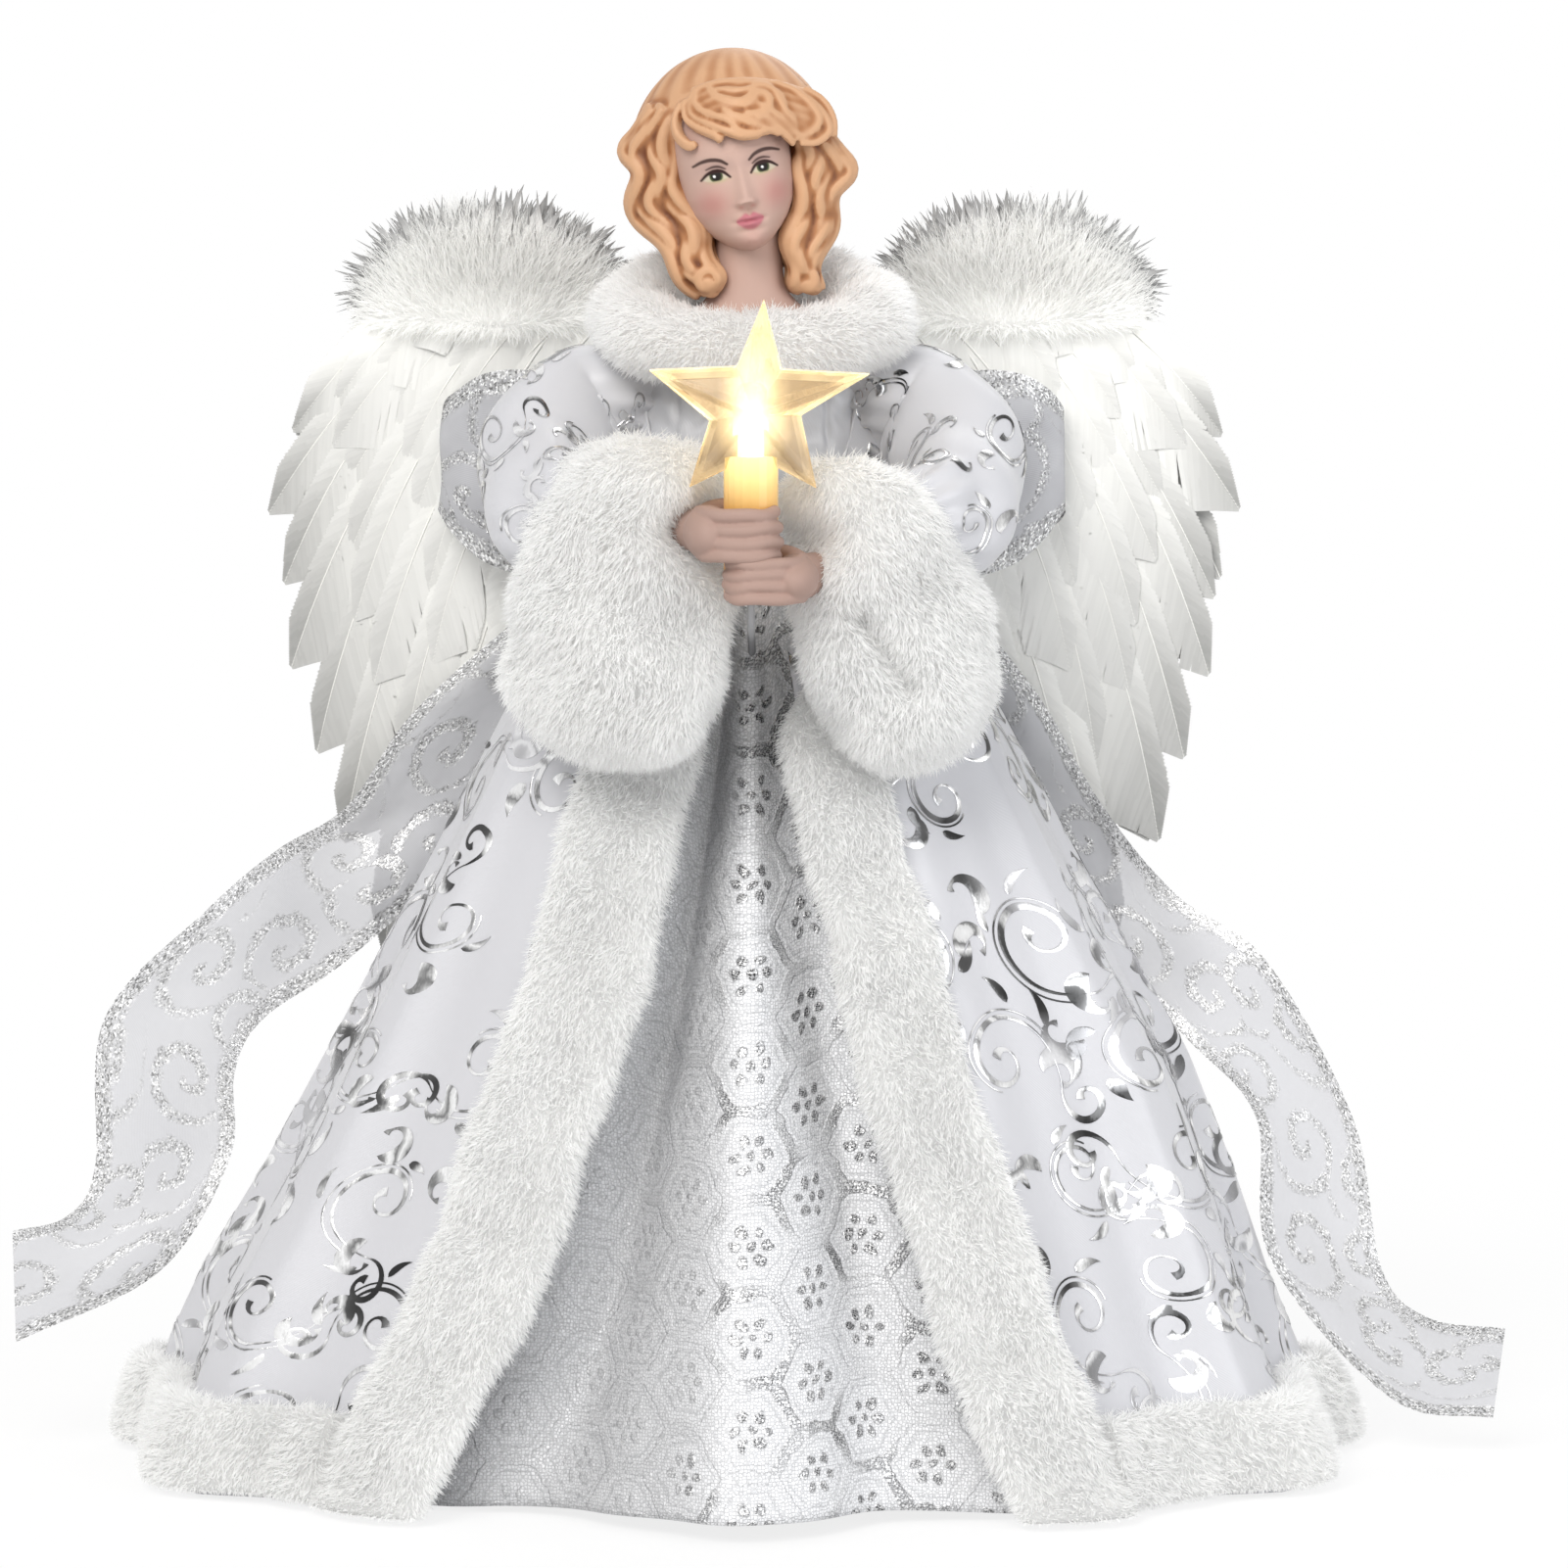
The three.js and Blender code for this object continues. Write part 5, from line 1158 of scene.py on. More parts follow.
def addFeather(build, root, tip, y, wide, rng, face, mirror, dim):
    root, tip = np.array([root[0], y, root[1]]), np.array([tip[0], y, tip[1]])
    length = np.linalg.norm(tip - root)
    ahead = (tip - root) / length
    normal = np.array([0, face, 0.0])
    side = np.cross(normal, ahead)
    sweep = -rng.uniform(0.085, 0.125) * length * mirror
    lean = rng.uniform(-0.4, 0.4)

    def shaft(t):
        t = np.asarray(t, float)
        bow = sweep * 2 * t * (1 - t)
        rise = 0.9 * np.sin(math.pi * np.clip(t, 0, 1)) - 0.8 * t**2 + lean * t
        return root + ahead * (t * length)[..., None] + side * bow[..., None] + normal * rise[..., None]

    t = np.linspace(0, 0.995, 16)
    build.tube(shaft(t) - normal * 0.02, np.linspace(0.5, 0.16, 16), normal)
    count = int(length * 0.92 / wings["barbStep"])
    for way in (-1, 1):
        inner = way * mirror > 0
        full = wide * (1.0 if inner else wings["outerVane"])
        slant = 0.75 if inner else 3.0
        slits = rng.uniform(0.35, 0.95, 3 if inner else 1)
        for k in range(count):
            at = 0.08 + 0.915 * k / count
            angle = math.radians(40 - 9 * at)
            # a slit opens where the barbs part
            near = [(at - c) * length for c in slits if abs(at - c) * length < 3.2]
            drift = sum(0.045 * np.sign(d) * (1 - abs(d) / 3.2) for d in near)
            shape = min(1, (at / 0.3) ** 0.65) * rng.uniform(0.97, 1.02)
            left = (1 - at) * length
            reach = min(full * shape / math.sin(angle), left / (math.cos(angle) + slant * math.sin(angle))
                        + 0.3)
            base = shaft(at)
            heading = angle - drift
            slope = sweep / length * 2 * (1 - 2 * at)
            on, off = ahead + side * slope, side - ahead * slope
            forward = (on * math.cos(heading) + off * way * math.sin(heading)) / math.hypot(1, slope)
            along = np.array([0, 0.5, 1.0])
            middle = base + forward * (along * reach)[:, None] + ahead * (0.05 * reach * along**2)[:, None]
            middle = middle - normal * (0.7 * along**2 * (reach / 14) * rng.uniform(0.8, 1.2))[:, None]
            across = np.cross(normal, forward)
            thick = np.array([0.64, 0.62, 0.45]) * wings["barbStep"]
            # painted shade: each barb greys towards the feather tip, more on the outer vane
            tone = rng.uniform(0.92, 1) - dim * smoothStep((at - 0.42) / 0.55) * (0.8 if inner else 1.1)
            build.strip(middle + across * thick[:, None], middle - across * thick[:, None], along,
                        max(0.0, tone))


def featherPiece(name, build):
    piece = addPiece(name, build.points, build.faces)
    for key, values in (("out", build.out), ("barb", build.barb)):
        layer = piece.data.attributes.new(key, "FLOAT", "POINT")
        layer.data.foreach_set("value", values)
    # bake map: barb tone across, distance from the shaft up
    corner = np.empty(len(piece.data.loops), int)
    piece.data.loops.foreach_get("vertex_index", corner)
    edge = np.tile([0.0, 0.012], len(build.points))[: len(build.points)]
    uv = np.stack([0.01 + 0.95 * np.array(build.barb) + edge, 0.02 + 0.95 * np.array(build.out)], -1)
    piece.data.uv_layers.new(name="OFBake").data.foreach_set("uv", uv[corner].ravel())
    return piece


feather = featherFinish()


def rowEnds(sign, row):
    tips, roots = splineThrough(wings["tips"], 200), splineThrough(wings["roots"], 200)
    for share in np.linspace(0, 1, row["count"]):
        root, tip = roots[int(share * 199)], tips[int(share * 199)]
        end = root + (tip - root) * row["reach"]
        yield (root - [row["shift"], 0]) * [sign, 1], (end - [row["shift"] * 0.8, 0]) * [sign, 1]


def makeWing(side):
    sign = sides[side]
    rng = np.random.default_rng(wings["seed"] + sign)
    for part, rows, face in (("front", wings["rows"], -1), ("back", wings["back"], 1)):
        build = FeatherBuilder()
        for row in rows:
            for i, (root, tip) in enumerate(rowEnds(sign, row)):
                jitter = rng.uniform(-2, 2, 2)
                y = row["y"] + face * (0.45 - 0.12 * i)
                addFeather(build, root, tip + jitter, y, row["wide"] * rng.uniform(0.92, 1.06), rng, face,
                           sign * face, row["dim"])
        piece = featherPiece(f"{side}_wing_feathers_{part}", build)
        rowNodes = [f"{side}_wing_back_feather_row"]
        if part == "front":
            rowNodes = [f"{side}_wing_feather_row_{n}" for n in (1, 2, 3)]
        wear(piece, feather, f"{side}_wing", rowNodes)
        print("feathers on", piece.name, len(piece.data.polygons))


# fluffy down along the wing's upper edge
down = dict(
    stations=[((28.5, 243.5), 0.4, 1), ((31, 243.5), 3, 7), ((37, 243.6), 6.2, 13.5),
              ((46, 243.8), 8, 17.8), ((57, 244), 9, 19.6),
              ((68, 243.8), 8.4, 18), ((77, 243.6), 6.6, 14), ((83, 243.5), 3.2, 7), ((85.5, 243.5), 0.4, 1)],
    y=38, under=0.16, along=46, around=36, fan=(55, 239), middle=(57, 249.5), half=(27, 17), tufts=520,
    turns=(-0.2, math.pi + 0.15), seed=60,
)


def makeDown(side):
    sign = sides[side]
    line = splineThrough([s[0] for s in down["stations"]], down["along"])
    deep = splineThrough([[s[1]] for s in down["stations"]], down["along"])
    tall = splineThrough([[s[2]] for s in down["stations"]], down["along"])
    a = fullTurn(down["around"])[None, :]
    share = np.linspace(0, 1, down["along"])[:, None]
    lump = 1 + 0.06 * np.sin(4 * a + 12 * share) + 0.05 * np.sin(19 * share - 2 * a)
    x = line[:, :1] + 0 * a
    y = down["y"] + deep * lump * np.cos(a)
    z = line[:, 1:] + tall * lump * np.sin(a) * np.where(np.sin(a) > 0, 1, down["under"])
    form = capTube(f"{side}_wing_down", np.stack([x * sign, y, z], -1))
    points = np.array([v.co for v in form.data.vertices]) / mm
    comb = np.stack([(points[:, 0] - sign * down["fan"][0]) / 26, 0 * points[:, 2],
                     (points[:, 2] - down["fan"][1]) / 9], -1)
    comb /= np.maximum(1, np.linalg.norm(comb, axis=1, keepdims=True))
    weight = 0.55 + 0.4 * smoothStep((points[:, 2] - 238) / 16)
    growFur(form, furSettings["down"], whiteDown, longBlade, comb, weight)
    wear(form, whiteDown, f"{side}_wing", [f"{side}_wing_marabou"])


# tufts stand out round the upper edge of the down
def makeTufts(side):
    sign = sides[side]
    rng = np.random.default_rng(down["seed"] + sign)
    (x0, z0), (wide, tall) = down["middle"], down["half"]
    build = FeatherBuilder()
    for _ in range(down["tufts"]):
        turn = rng.uniform(*down["turns"]) + 0.12 * math.sin(rng.uniform(0, 6))
        way = np.array([math.cos(turn) * tall / wide, 0, math.sin(turn)])
        way = way / np.linalg.norm(way) + np.array([rng.uniform(-0.35, 0.35), rng.uniform(-0.25, 0.25),
                rng.uniform(-0.2, 0.2)])
        way /= np.linalg.norm(way)
        root = np.array([x0 + wide * math.cos(turn), down["y"] + rng.uniform(-5, 4) * max(0.25,
                math.sin(turn)), z0 + tall * math.sin(turn)]) - way * rng.uniform(7, 11)
        long, fat = 8 + rng.uniform(1.0, 7.0), rng.choice([0.6, 0.8, 1.1, 1.9])
        flat = np.cross(way, [0, 1, 0])
        flat /= np.linalg.norm(flat)
        t = np.linspace(0, 1, 5)
        middle = root + way * (t * long)[:, None] + np.array([0, 0, -0.8]) * (t**2)[:, None]
        half = fat * np.array([0.1, 0.6, 0.7, 0.3, 0.02])
        left, right = middle + flat * half[:, None], middle - flat * half[:, None]
        left[:, 0] *= sign
        right[:, 0] *= sign
        build.strip(left, right, t, rng.uniform(0, 1))
    piece = featherPiece(f"{side}_wing_tufts", build)
    wear(piece, tuft, f"{side}_wing", [f"{side}_wing_marabou"])


def tuftFinish():
    finish, tree, shader = newFinish("greyTuft")
    out = marked(tree, "out")
    barb = marked(tree, "barb")
    tone = steps(tree, out, [(0.0, (0.9, 0.9, 0.88)), (0.45, (0.8, 0.8, 0.79)), (0.7, (0.5, 0.5, 0.5)),
            (1.0, (0.3, 0.3, 0.3))])
    dim = fit(tree, barb, to=(0.75, 1.0))
    tree.links.new(blend(tree, calc(tree, "MULTIPLY", dim, fit(tree, objectNoise(tree, 300), to=(0.9, 1.0))),
                         (0.0, 0.0, 0.0), tone), shader.inputs["Base Color"])
    setInput(shader, "Roughness", 0.8)
    return finish


tuft = tuftFinish()
for side in sides:
    makeWing(side)
    makeDown(side)
    makeTufts(side)
print("wings feathered")


# sheer ribbon with glitter edges and glitter swirls; its map runs in millimetres across and along
ribbon = dict(half=19, edge=4.4, swirl=21, pitch=8.5, across=13, along=120)
loopRoute = [(7.3, 28.3, 0.25), (24, 25.6, 0.7), (40, 21.5, 0.98), (50, 20.5, 1.01), (58, 21, 0.92),
             (64, 23.2, 0.72), (67.5, 26.3, 0.5),
             (65.5, 29.4, 0.64), (57, 31.3, 0.86), (44, 32.1, 0.93), (24, 32.1, 0.62), (7.3, 30.9, 0.25)]
tailEdges = dict(
    right=[((11, 29, 199), (3, 29, 197)), ((38, 31, 188), (20, 31, 174)), ((72, 30, 160), (49, 31, 156)),
           ((88, 29, 138), (63, 30, 128)), ((103, 22, 129), (88, 22, 105)), ((118, 14, 117), (106, 14, 93)),
           ((140, 8, 94), (112, 8, 82)), ((142, 4, 62), (113, 4, 64)), ((148, 0, 52), (128, 0, 40)),
           ((159.5, -2, 49), (159, -2, 25))],
    left=[((11, 29, 199), (3, 29, 197)), ((36, 31, 190), (18, 31, 175)), ((60, 30, 165), (42, 31.5, 154)),
          ((76, 29, 138), (58, 30, 126)), ((92, 22, 119), (80, 22, 102)), ((111, 13, 106), (95, 13, 88)),
          ((130, 8, 72), (109, 8, 72)), ((136, 3, 40), (112, 3, 42)), ((146, 0, 30), (138, 0, 12)),
          ((162.5, -2, 28), (160, -2, 8))],
)


def organzaFinish():
    finish, tree, shader = newFinish("sheerRibbon")
    uv = addNode(tree, "ShaderNodeUVMap", uv_map="cloth").outputs[0]
    parts = addNode(tree, "ShaderNodeSeparateXYZ", {0: uv}).outputs
    wobble = addNode(tree, "ShaderNodeTexNoise", {"Vector": uv, "Scale": 0.35, "Detail": 3.0}).outputs["Fac"]
    wobble = calc(tree, "SUBTRACT", wobble, 0.5)
    rim = calc(tree, "MULTIPLY_ADD", wobble, 2.4, calc(tree, "ABSOLUTE", parts["X"]))
    inner = ribbon["half"] - ribbon["edge"]
    edge = fit(tree, rim, (inner - 0.7, inner + 0.5))
    # spirals: one in each cell, wound round the cell's middle
    cell = addNode(tree, "ShaderNodeTexVoronoi", {"Vector": uv, "Scale": 1 / ribbon["swirl"],
            "Randomness": 0.75}, voronoi_dimensions="2D")
    away = addNode(tree, "ShaderNodeVectorMath", {0: uv, 1: cell.outputs["Position"]},
                   operation="SUBTRACT").outputs[0]
    way = addNode(tree, "ShaderNodeSeparateXYZ", {0: away}).outputs
    far = addNode(tree, "ShaderNodeVectorMath", {0: away}, operation="LENGTH").outputs["Value"]
    turn = calc(tree, "DIVIDE", calc(tree, "ARCTAN2", way["Y"], way["X"]), 2 * math.pi)
    wound = calc(tree, "FRACT", calc(tree, "ADD", turn, calc(tree, "MULTIPLY_ADD", far, 1 / ribbon["pitch"],
            calc(tree, "MULTIPLY", wobble, 0.5))))
    band = calc(tree, "ABSOLUTE", calc(tree, "SUBTRACT", wound, 0.5))
    swirl = fit(tree, band, (0.24, 0.13))
    swirl = calc(tree, "MULTIPLY", swirl, fit(tree, far, (ribbon["swirl"] * 0.6, ribbon["swirl"] * 0.5)))
    flecks = addNode(tree, "ShaderNodeTexVoronoi", {"Vector": uv, "Scale": 2.6})
    fleck = addNode(tree, "ShaderNodeSeparateColor", {0: flecks.outputs["Color"]}).outputs
    broken = fit(tree, fleck[1], (0.12, 0.4))
    glitter = calc(tree, "MULTIPLY", calc(tree, "MAXIMUM", edge, calc(tree, "MULTIPLY", swirl, 0.9)), broken)
    # rows of stitches along both edges
    stitch = calc(tree, "SINE", calc(tree, "MULTIPLY", parts["Y"], 5.2))
    hem = fit(tree, calc(tree, "ABSOLUTE", parts["X"]), (ribbon["half"] - 1.5, ribbon["half"] - 1.2))
    sewn = calc(tree, "MULTIPLY", hem, calc(tree, "GREATER_THAN", stitch, 0.1))
    threads = addNode(tree, "ShaderNodeTexWave", {"Vector": uv, "Scale": 0.75, "Distortion": 0.4},
                      bands_direction="X").outputs["Fac"]
    cloud = addNode(tree, "ShaderNodeTexNoise", {"Vector": uv, "Scale": 0.05, "Detail": 3.0}).outputs["Fac"]
    sheer = fit(tree, calc(tree, "MULTIPLY_ADD", threads, 0.25, cloud), (0.35, 0.85), (0.62, 0.84))
    sparkle = steps(tree, fleck[0], [(0.0, grey(0.12)), (0.4, grey(0.38)), (0.7, grey(0.6)),
            (0.88, grey(0.95)), (1.0, grey(1.0))])
    cloth = blend(tree, cloud, (0.42, 0.42, 0.445), (0.55, 0.555, 0.58))
    cloth = blend(tree, calc(tree, "MULTIPLY", sewn, 0.5), cloth, (0.9, 0.9, 0.9))
    setInput(shader, "Base Color", blend(tree, glitter, cloth, sparkle))
    setInput(shader, "Alpha", calc(tree, "MAXIMUM", sheer, calc(tree, "MULTIPLY",
            calc(tree, "MAXIMUM", glitter, sewn), 0.95)))
    setInput(shader, "Metallic", calc(tree, "MULTIPLY", glitter, 0.55))
    setInput(shader, "Roughness", calc(tree, "MULTIPLY_ADD", glitter, -0.15, 0.5))
    addBump(tree, shader, calc(tree, "MULTIPLY", glitter, fleck[2]), 0.4, 0.8)
    return finish


organza = organzaFinish()


def ribbonGrid(one, two, ripple, seed):
    along, across = ribbon["along"], ribbon["across"]
    a, b = splineThrough(one, along), splineThrough(two, along)
    s = np.linspace(0, 1, across)[None, :, None]
    grid = a[:, None, :] * (1 - s) + b[:, None, :] * s
    ahead = np.gradient(grid.mean(1), axis=0)
    face = np.cross(ahead, b - a)
    face /= np.linalg.norm(face, axis=1, keepdims=True)
    t = np.linspace(0, 1, along)[:, None]
    curl = ripple * (np.sin(9 * t + seed) * np.cos(math.pi * s[..., 0]) + 0.7 * np.sin(23 * t + 2 * seed)
                     * np.sin(2 * math.pi * s[..., 0]))
    curl = curl * np.minimum(1, t * 6)
    grid = grid + face[:, None, :] * curl[..., None]
    run = runLength(grid, 0).mean(1)
    uv = joined((s[..., 0] * 2 - 1) * ribbon["half"] + 0 * t, run[:, None] + 40 * seed)
    return grid, uv


def makeRibbon(name, one, two, ripple, seed, replaces):
    grid, uv = ribbonGrid(one, two, ripple, seed)
    piece = addGrid(name, grid, uv=uv)
    area, long = meshArea(piece), float(runLength(grid, 0).mean(1)[-1]) * mm
    wear(piece, organza, replaces=replaces)
    min(area, 2 * ribbon["half"] * mm * long)
    print("ribbon", name, round(long, 4), "m long")
    return piece


def makeBow():
    for side, sign in sides.items():
        edges = []
        for way in (1, -1):
            edges.append([(sign * x, y, 205 + 8 * x / 64 + way * 22 * share) for x, y, share in loopRoute])
        makeRibbon(f"{side}_bow_loop_cloth", edges[0], edges[1], 0.9, 1 + 0.5 * sign, [f"{side}_bow_loop"])
        outer = [(sign * p[0][0], p[0][1], p[0][2]) for p in tailEdges[side]]
        inner = [(sign * p[1][0], p[1][1], p[1][2]) for p in tailEdges[side]]
        makeRibbon(f"{side}_bow_tail_cloth", outer, inner, 1.1, 2.2 + 0.7 * sign, [f"{side}_bow_tail"])
    # the knot: a pleated band round the middle
    a = fullTurn(60)[None, :]
    h = np.linspace(-1, 1, 24)[:, None]
    swell = np.sqrt(np.clip(1 - (h * 0.93) ** 2, 0, 1))
    pleat = 1 + 0.05 * np.cos(9 * a + 2 * h)
    x = 7 * swell * pleat * np.sin(a)
    y = 29.5 - 3.1 * swell * pleat * np.cos(a)
    rings = joined(x, y, 205 + 7 * h)
    knot = capTube("bow_knot_cloth", rings)
    corner = np.array([knot.data.vertices[l.vertex_index].co for l in knot.data.loops]) / mm
    uv = np.stack([(corner[:, 2] - 205) * 1.6, corner[:, 0] * 3], -1)
    knot.data.uv_layers.new(name="cloth").data.foreach_set("uv", uv.ravel())
    wear(knot, organza, replaces=["bow_knot"])


makeBow()
print("bow tied")


# solid forms fused from tubes and balls
class Pile:
    def __init__(self):
        self.points, self.faces = [], []

    def tube(self, line, radius, around=10, lobes=0, depth=0.0, twist=0.0, flat=1.0):
        line = np.asarray(line, float)
        count = len(line)
        radius = np.broadcast_to(np.asarray(radius, float), count)
        ahead = np.gradient(line, axis=0)
        ahead /= np.linalg.norm(ahead, axis=1, keepdims=True)
        side = np.cross(ahead[0], (0.3, 0.8, 0.5))
        start = len(self.points)
        a = fullTurn(around)
        for i in range(count):
            side = side - ahead[i] * np.dot(side, ahead[i])
            side = side / np.linalg.norm(side)
            up = np.cross(ahead[i], side)
            reach = radius[i] * (1 + depth * np.cos(lobes * a + twist * i))
            self.points += list(line[i] + (reach * np.cos(a))[:, None] * side
                                + (flat * reach * np.sin(a))[:, None] * up)
        self.faces += gridFaces(count, around, True, start=start)
        self.faces.append(tuple(range(start, start + around))[::-1])
        self.faces.append(tuple(range(start + (count - 1) * around, start + count * around)))

    def ball(self, middle, half, shape=None, rows=24, around=32):
        start = len(self.points)
        lift = np.linspace(-0.5 * math.pi + 0.06, 0.5 * math.pi - 0.06, rows)[:, None]
        a = fullTurn(around)[None, :]
        unit = joined(np.cos(lift) * np.cos(a), np.cos(lift) * np.sin(a), np.sin(lift))
        points = np.asarray(middle, float) + unit * np.asarray(half, float)
        if shape:
            points = shape(points)
        self.points += list(points.reshape(-1, 3))
        self.faces += gridFaces(rows, around, True, start=start)
        self.faces.append(tuple(range(start, start + around))[::-1])
        self.faces.append(tuple(range(start + (rows - 1) * around, start + rows * around)))

    def fuse(self, name, grain, rounds):
        piece = addPiece(name, self.points, self.faces)
        skin = piece.modifiers.new("fuse", "REMESH")
        skin.mode, skin.voxel_size, skin.use_smooth_shade = "VOXEL", grain * mm, True
        if rounds:
            soft = piece.modifiers.new("soften", "SMOOTH")
            soft.factor, soft.iterations = 0.5, rounds
        return applyModifiers(piece)


# how deep each point lies in a groove, 0 on ridges to 1 in the cracks
def markGrooves(piece, spread, reach):
    mesh = piece.data
    count = len(mesh.vertices)
    points, normals = np.empty(count * 3), np.empty(count * 3)
    mesh.vertices.foreach_get("co", points)
    mesh.vertices.foreach_get("normal", normals)
    points, normals = points.reshape(-1, 3) / mm, normals.reshape(-1, 3)
    ends = np.empty(len(mesh.edges) * 2, int)
    mesh.edges.foreach_get("vertices", ends)
    ends = ends.reshape(-1, 2)
    links = np.bincount(ends.ravel(), minlength=count)[:, None]

    def average(values):
        total = np.zeros_like(values)
        np.add.at(total, ends[:, 0], values[ends[:, 1]])
        np.add.at(total, ends[:, 1], values[ends[:, 0]])
        return total / links

    soft = points
    for _ in range(spread):
        soft = average(soft)
    hollow = np.sum((soft - points) * normals, axis=1, keepdims=True)
    for _ in range(2):
        hollow = average(hollow)
    layer = mesh.attributes.new("groove", "FLOAT", "POINT")
    layer.data.foreach_set("value", np.clip(0.5 + hollow[:, 0] / reach, 0, 1))


# head: the face is a fine grid in its own right, up and front directions, then painted
face = dict(
    middle=(-3.5, -9, 278), roll=11.5, yaw=5,
    heights=(16, 10, 5, 1, -4, -8, -11, -13.4, -15, -16.1, -16.8, -17.1),
    wide=(9.6, 11.6, 12.2, 12.3, 12.0, 11.0, 9.3, 7.2, 5.4, 3.9, 2.6, 1.2),
    deep=(7.5, 12.0, 13.2, 13.0, 13.0, 12.8, 12.5, 12.2, 11.7, 10.4, 8.2, 5.0),
    skin=(0.5, 0.344, 0.292), blushAndShade=(0.46, 0.225, 0.2), lip=(0.47, 0.155, 0.19), lid=(0.4, 0.275, 0.25),
    line=(0.022, 0.008, 0.008), white=(0.54, 0.47, 0.38), green=(0.36, 0.40, 0.15), eye=5.15,
)
# the hair darkens from ridges into the cracks: partly a darker paint wash in the hollows, partly painted
# shade
hairColour = dict(ridge=(0.56, 0.325, 0.185), middle=(0.37, 0.165, 0.07), crack=(0.13, 0.04, 0.014))


def hill(u, v, at, spread):
    return np.exp(-(((u - at[0]) / spread[0]) ** 2) - ((v - at[1]) / spread[1]) ** 2)


def faceRelief(u, v):
    bridge = np.exp(-((u / (1.1 + 0.13 * np.clip(-v, 0, 7))) ** 2))
    nose = bridge * np.interp(v, [-8.2, -7.3, -6.4, -5.2, -2, 1.5, 4], [0, 0.6, 2.4, 2.2, 1.1, 0.4, 0])
    out = nose + 0.22 * hill(u, v, (0, 7), (7, 3))
    for s in (-1, 1):
        out = out + 0.75 * hill(u, v, (s * 1.45, -6.6), (0.75, 0.8))
        out = out - 0.95 * hill(u, v, (s * 4.7, 0.5), (2.9, 1.7)) + 0.5 * hill(u, v, (s * 5.15, 0.1),
                (2.0, 1.0))
        out = out + 0.5 * hill(u, v, (s * 6.6, -5.2), (3.2, 2.8)) + 0.2 * hill(u, v, (s * 5, 3.4), (3.4, 1.0))
        out = out + 0.35 * hill(u, v, (s * 0.85, -9.55), (0.8, 0.6)) - 0.3 * hill(u, v, (s * 3.2, -10.4),
                (0.8, 0.8))
    out = out + 0.55 * hill(u, v, (0, -9.7), (2.3, 0.7)) + 0.95 * hill(u, v, (0, -11.1), (1.9, 0.75))
    out = out - 0.5 * hill(u, v, (0, -10.4), (2.4, 0.3)) - 0.25 * hill(u, v, (0, -8.4), (0.6, 0.8))
    return out - 0.45 * hill(u, v, (0, -12.6), (2.6, 0.7)) + 0.8 * hill(u, v, (0, -14.4), (3.0, 1.6))


def stroke(u, v, points, half, soft=0.16):
    line = splineThrough(points, 40)
    far = np.full(u.shape, 99.0)
    for k, (a, b) in enumerate(line):
        thick = half * (0.45 + 0.55 * math.sin(math.pi * (0.12 + 0.8 * k / 39)))
        far = np.minimum(far, np.hypot(u - a, v - b) - thick)
    return smoothStep(0.5 - far / (2 * soft))


def paintFace(u, v):
    tint = np.broadcast_to(np.array(face["skin"]), u.shape + (3,)).copy()

    def coat(colour, share):
        tint[:] = tint + (np.array(colour) - tint) * np.clip(share, 0, 1)[..., None]

    for s in (-1, 1):
        coat(face["blushAndShade"], 0.85 * hill(u, v, (s * 7.0, -5.6), (3.4, 3.2)))
        coat(face["lid"], 0.75 * hill(u, v, (s * 5.1, 1.7), (3.3, 1.4)))
        # the nostrils are small spots of the same colour: painted shade
        coat(face["blushAndShade"], 0.7 * hill(u, v, (s * 1.25, -7.35), (0.55, 0.4)))
    coat(face["blushAndShade"], 0.35 * hill(u, v, (0, -15), (4, 2)))
    reach = np.clip(np.abs(u - 0.15) / 2.95, 0, 1)
    top = -8.95 - 0.35 * np.exp(-((u - 0.15) ** 2)
            / 0.25) - 1.0 * reach**2.2 + 0.25 * np.exp(-((np.abs(u - 0.15) - 0.9) ** 2) / 0.4)
    bottom = -12.3 + 1.8 * reach**2.1
    inside = smoothStep(0.5 + (top - v) / 0.8) * smoothStep(0.5 + (v - bottom) / 0.9) * smoothStep(0.5
            + (2.95 - np.abs(u - 0.15)) / 0.5)
    coat(face["lip"], 0.92 * inside)
    coat((0.36, 0.10, 0.13), 0.6 * inside * np.exp(-(((v + 10.4 - 0.1 * np.cos(2.2 * u)) / 0.22) ** 2)))
    for s in (-1, 1):
        out, up = s * u - face["eye"], v
        reach = np.clip(np.abs(out) / 2.9, 0, 1)
        lid = 1.12 * (1 - reach**2) - 0.35 * reach
        low = -0.95 * (1 - reach**2) - 0.35 * reach
        inside = smoothStep(0.5 + (lid - up) / 0.3) * smoothStep(0.5 + (up - low) / 0.4) * (np.abs(out) < 2.9)
        coat(face["white"], 0.95 * inside)
        coat(face["green"], 0.55 * hill(out, up, (-0.3, -0.8), (1.9, 0.55)))
        far = np.hypot(out + 0.1, up - 0.12)
        coat((0.05, 0.07, 0.03), inside * smoothStep(0.5 + (1.4 - far) / 0.3))
        coat((0.006, 0.006, 0.006), inside * smoothStep(0.5 + (1.05 - far) / 0.3))
        coat((0.95, 0.95, 0.95), smoothStep(0.5 + (0.26 - np.hypot(u - s * face["eye"] + 0.28, up - 0.05))
                / 0.2))
        coat(face["line"], stroke(out, up, [(-2.9, -0.6), (-1.6, 0.75), (0, 1.15), (1.6, 0.72),
                (3.05, -0.35)], 0.4))
        coat(face["line"], 0.85 * stroke(out, up, [(-2.2, 1.25), (-1.0, 1.9), (0.3, 2.05), (1.7, 1.7)], 0.27))
        coat(face["line"], 0.9 * stroke(out, up, [(-2.75, 2.15), (-1.4, 3.15), (0.4, 3.6), (2.3, 3.45),
                (4.1, 2.8)], 0.42))
    return tint


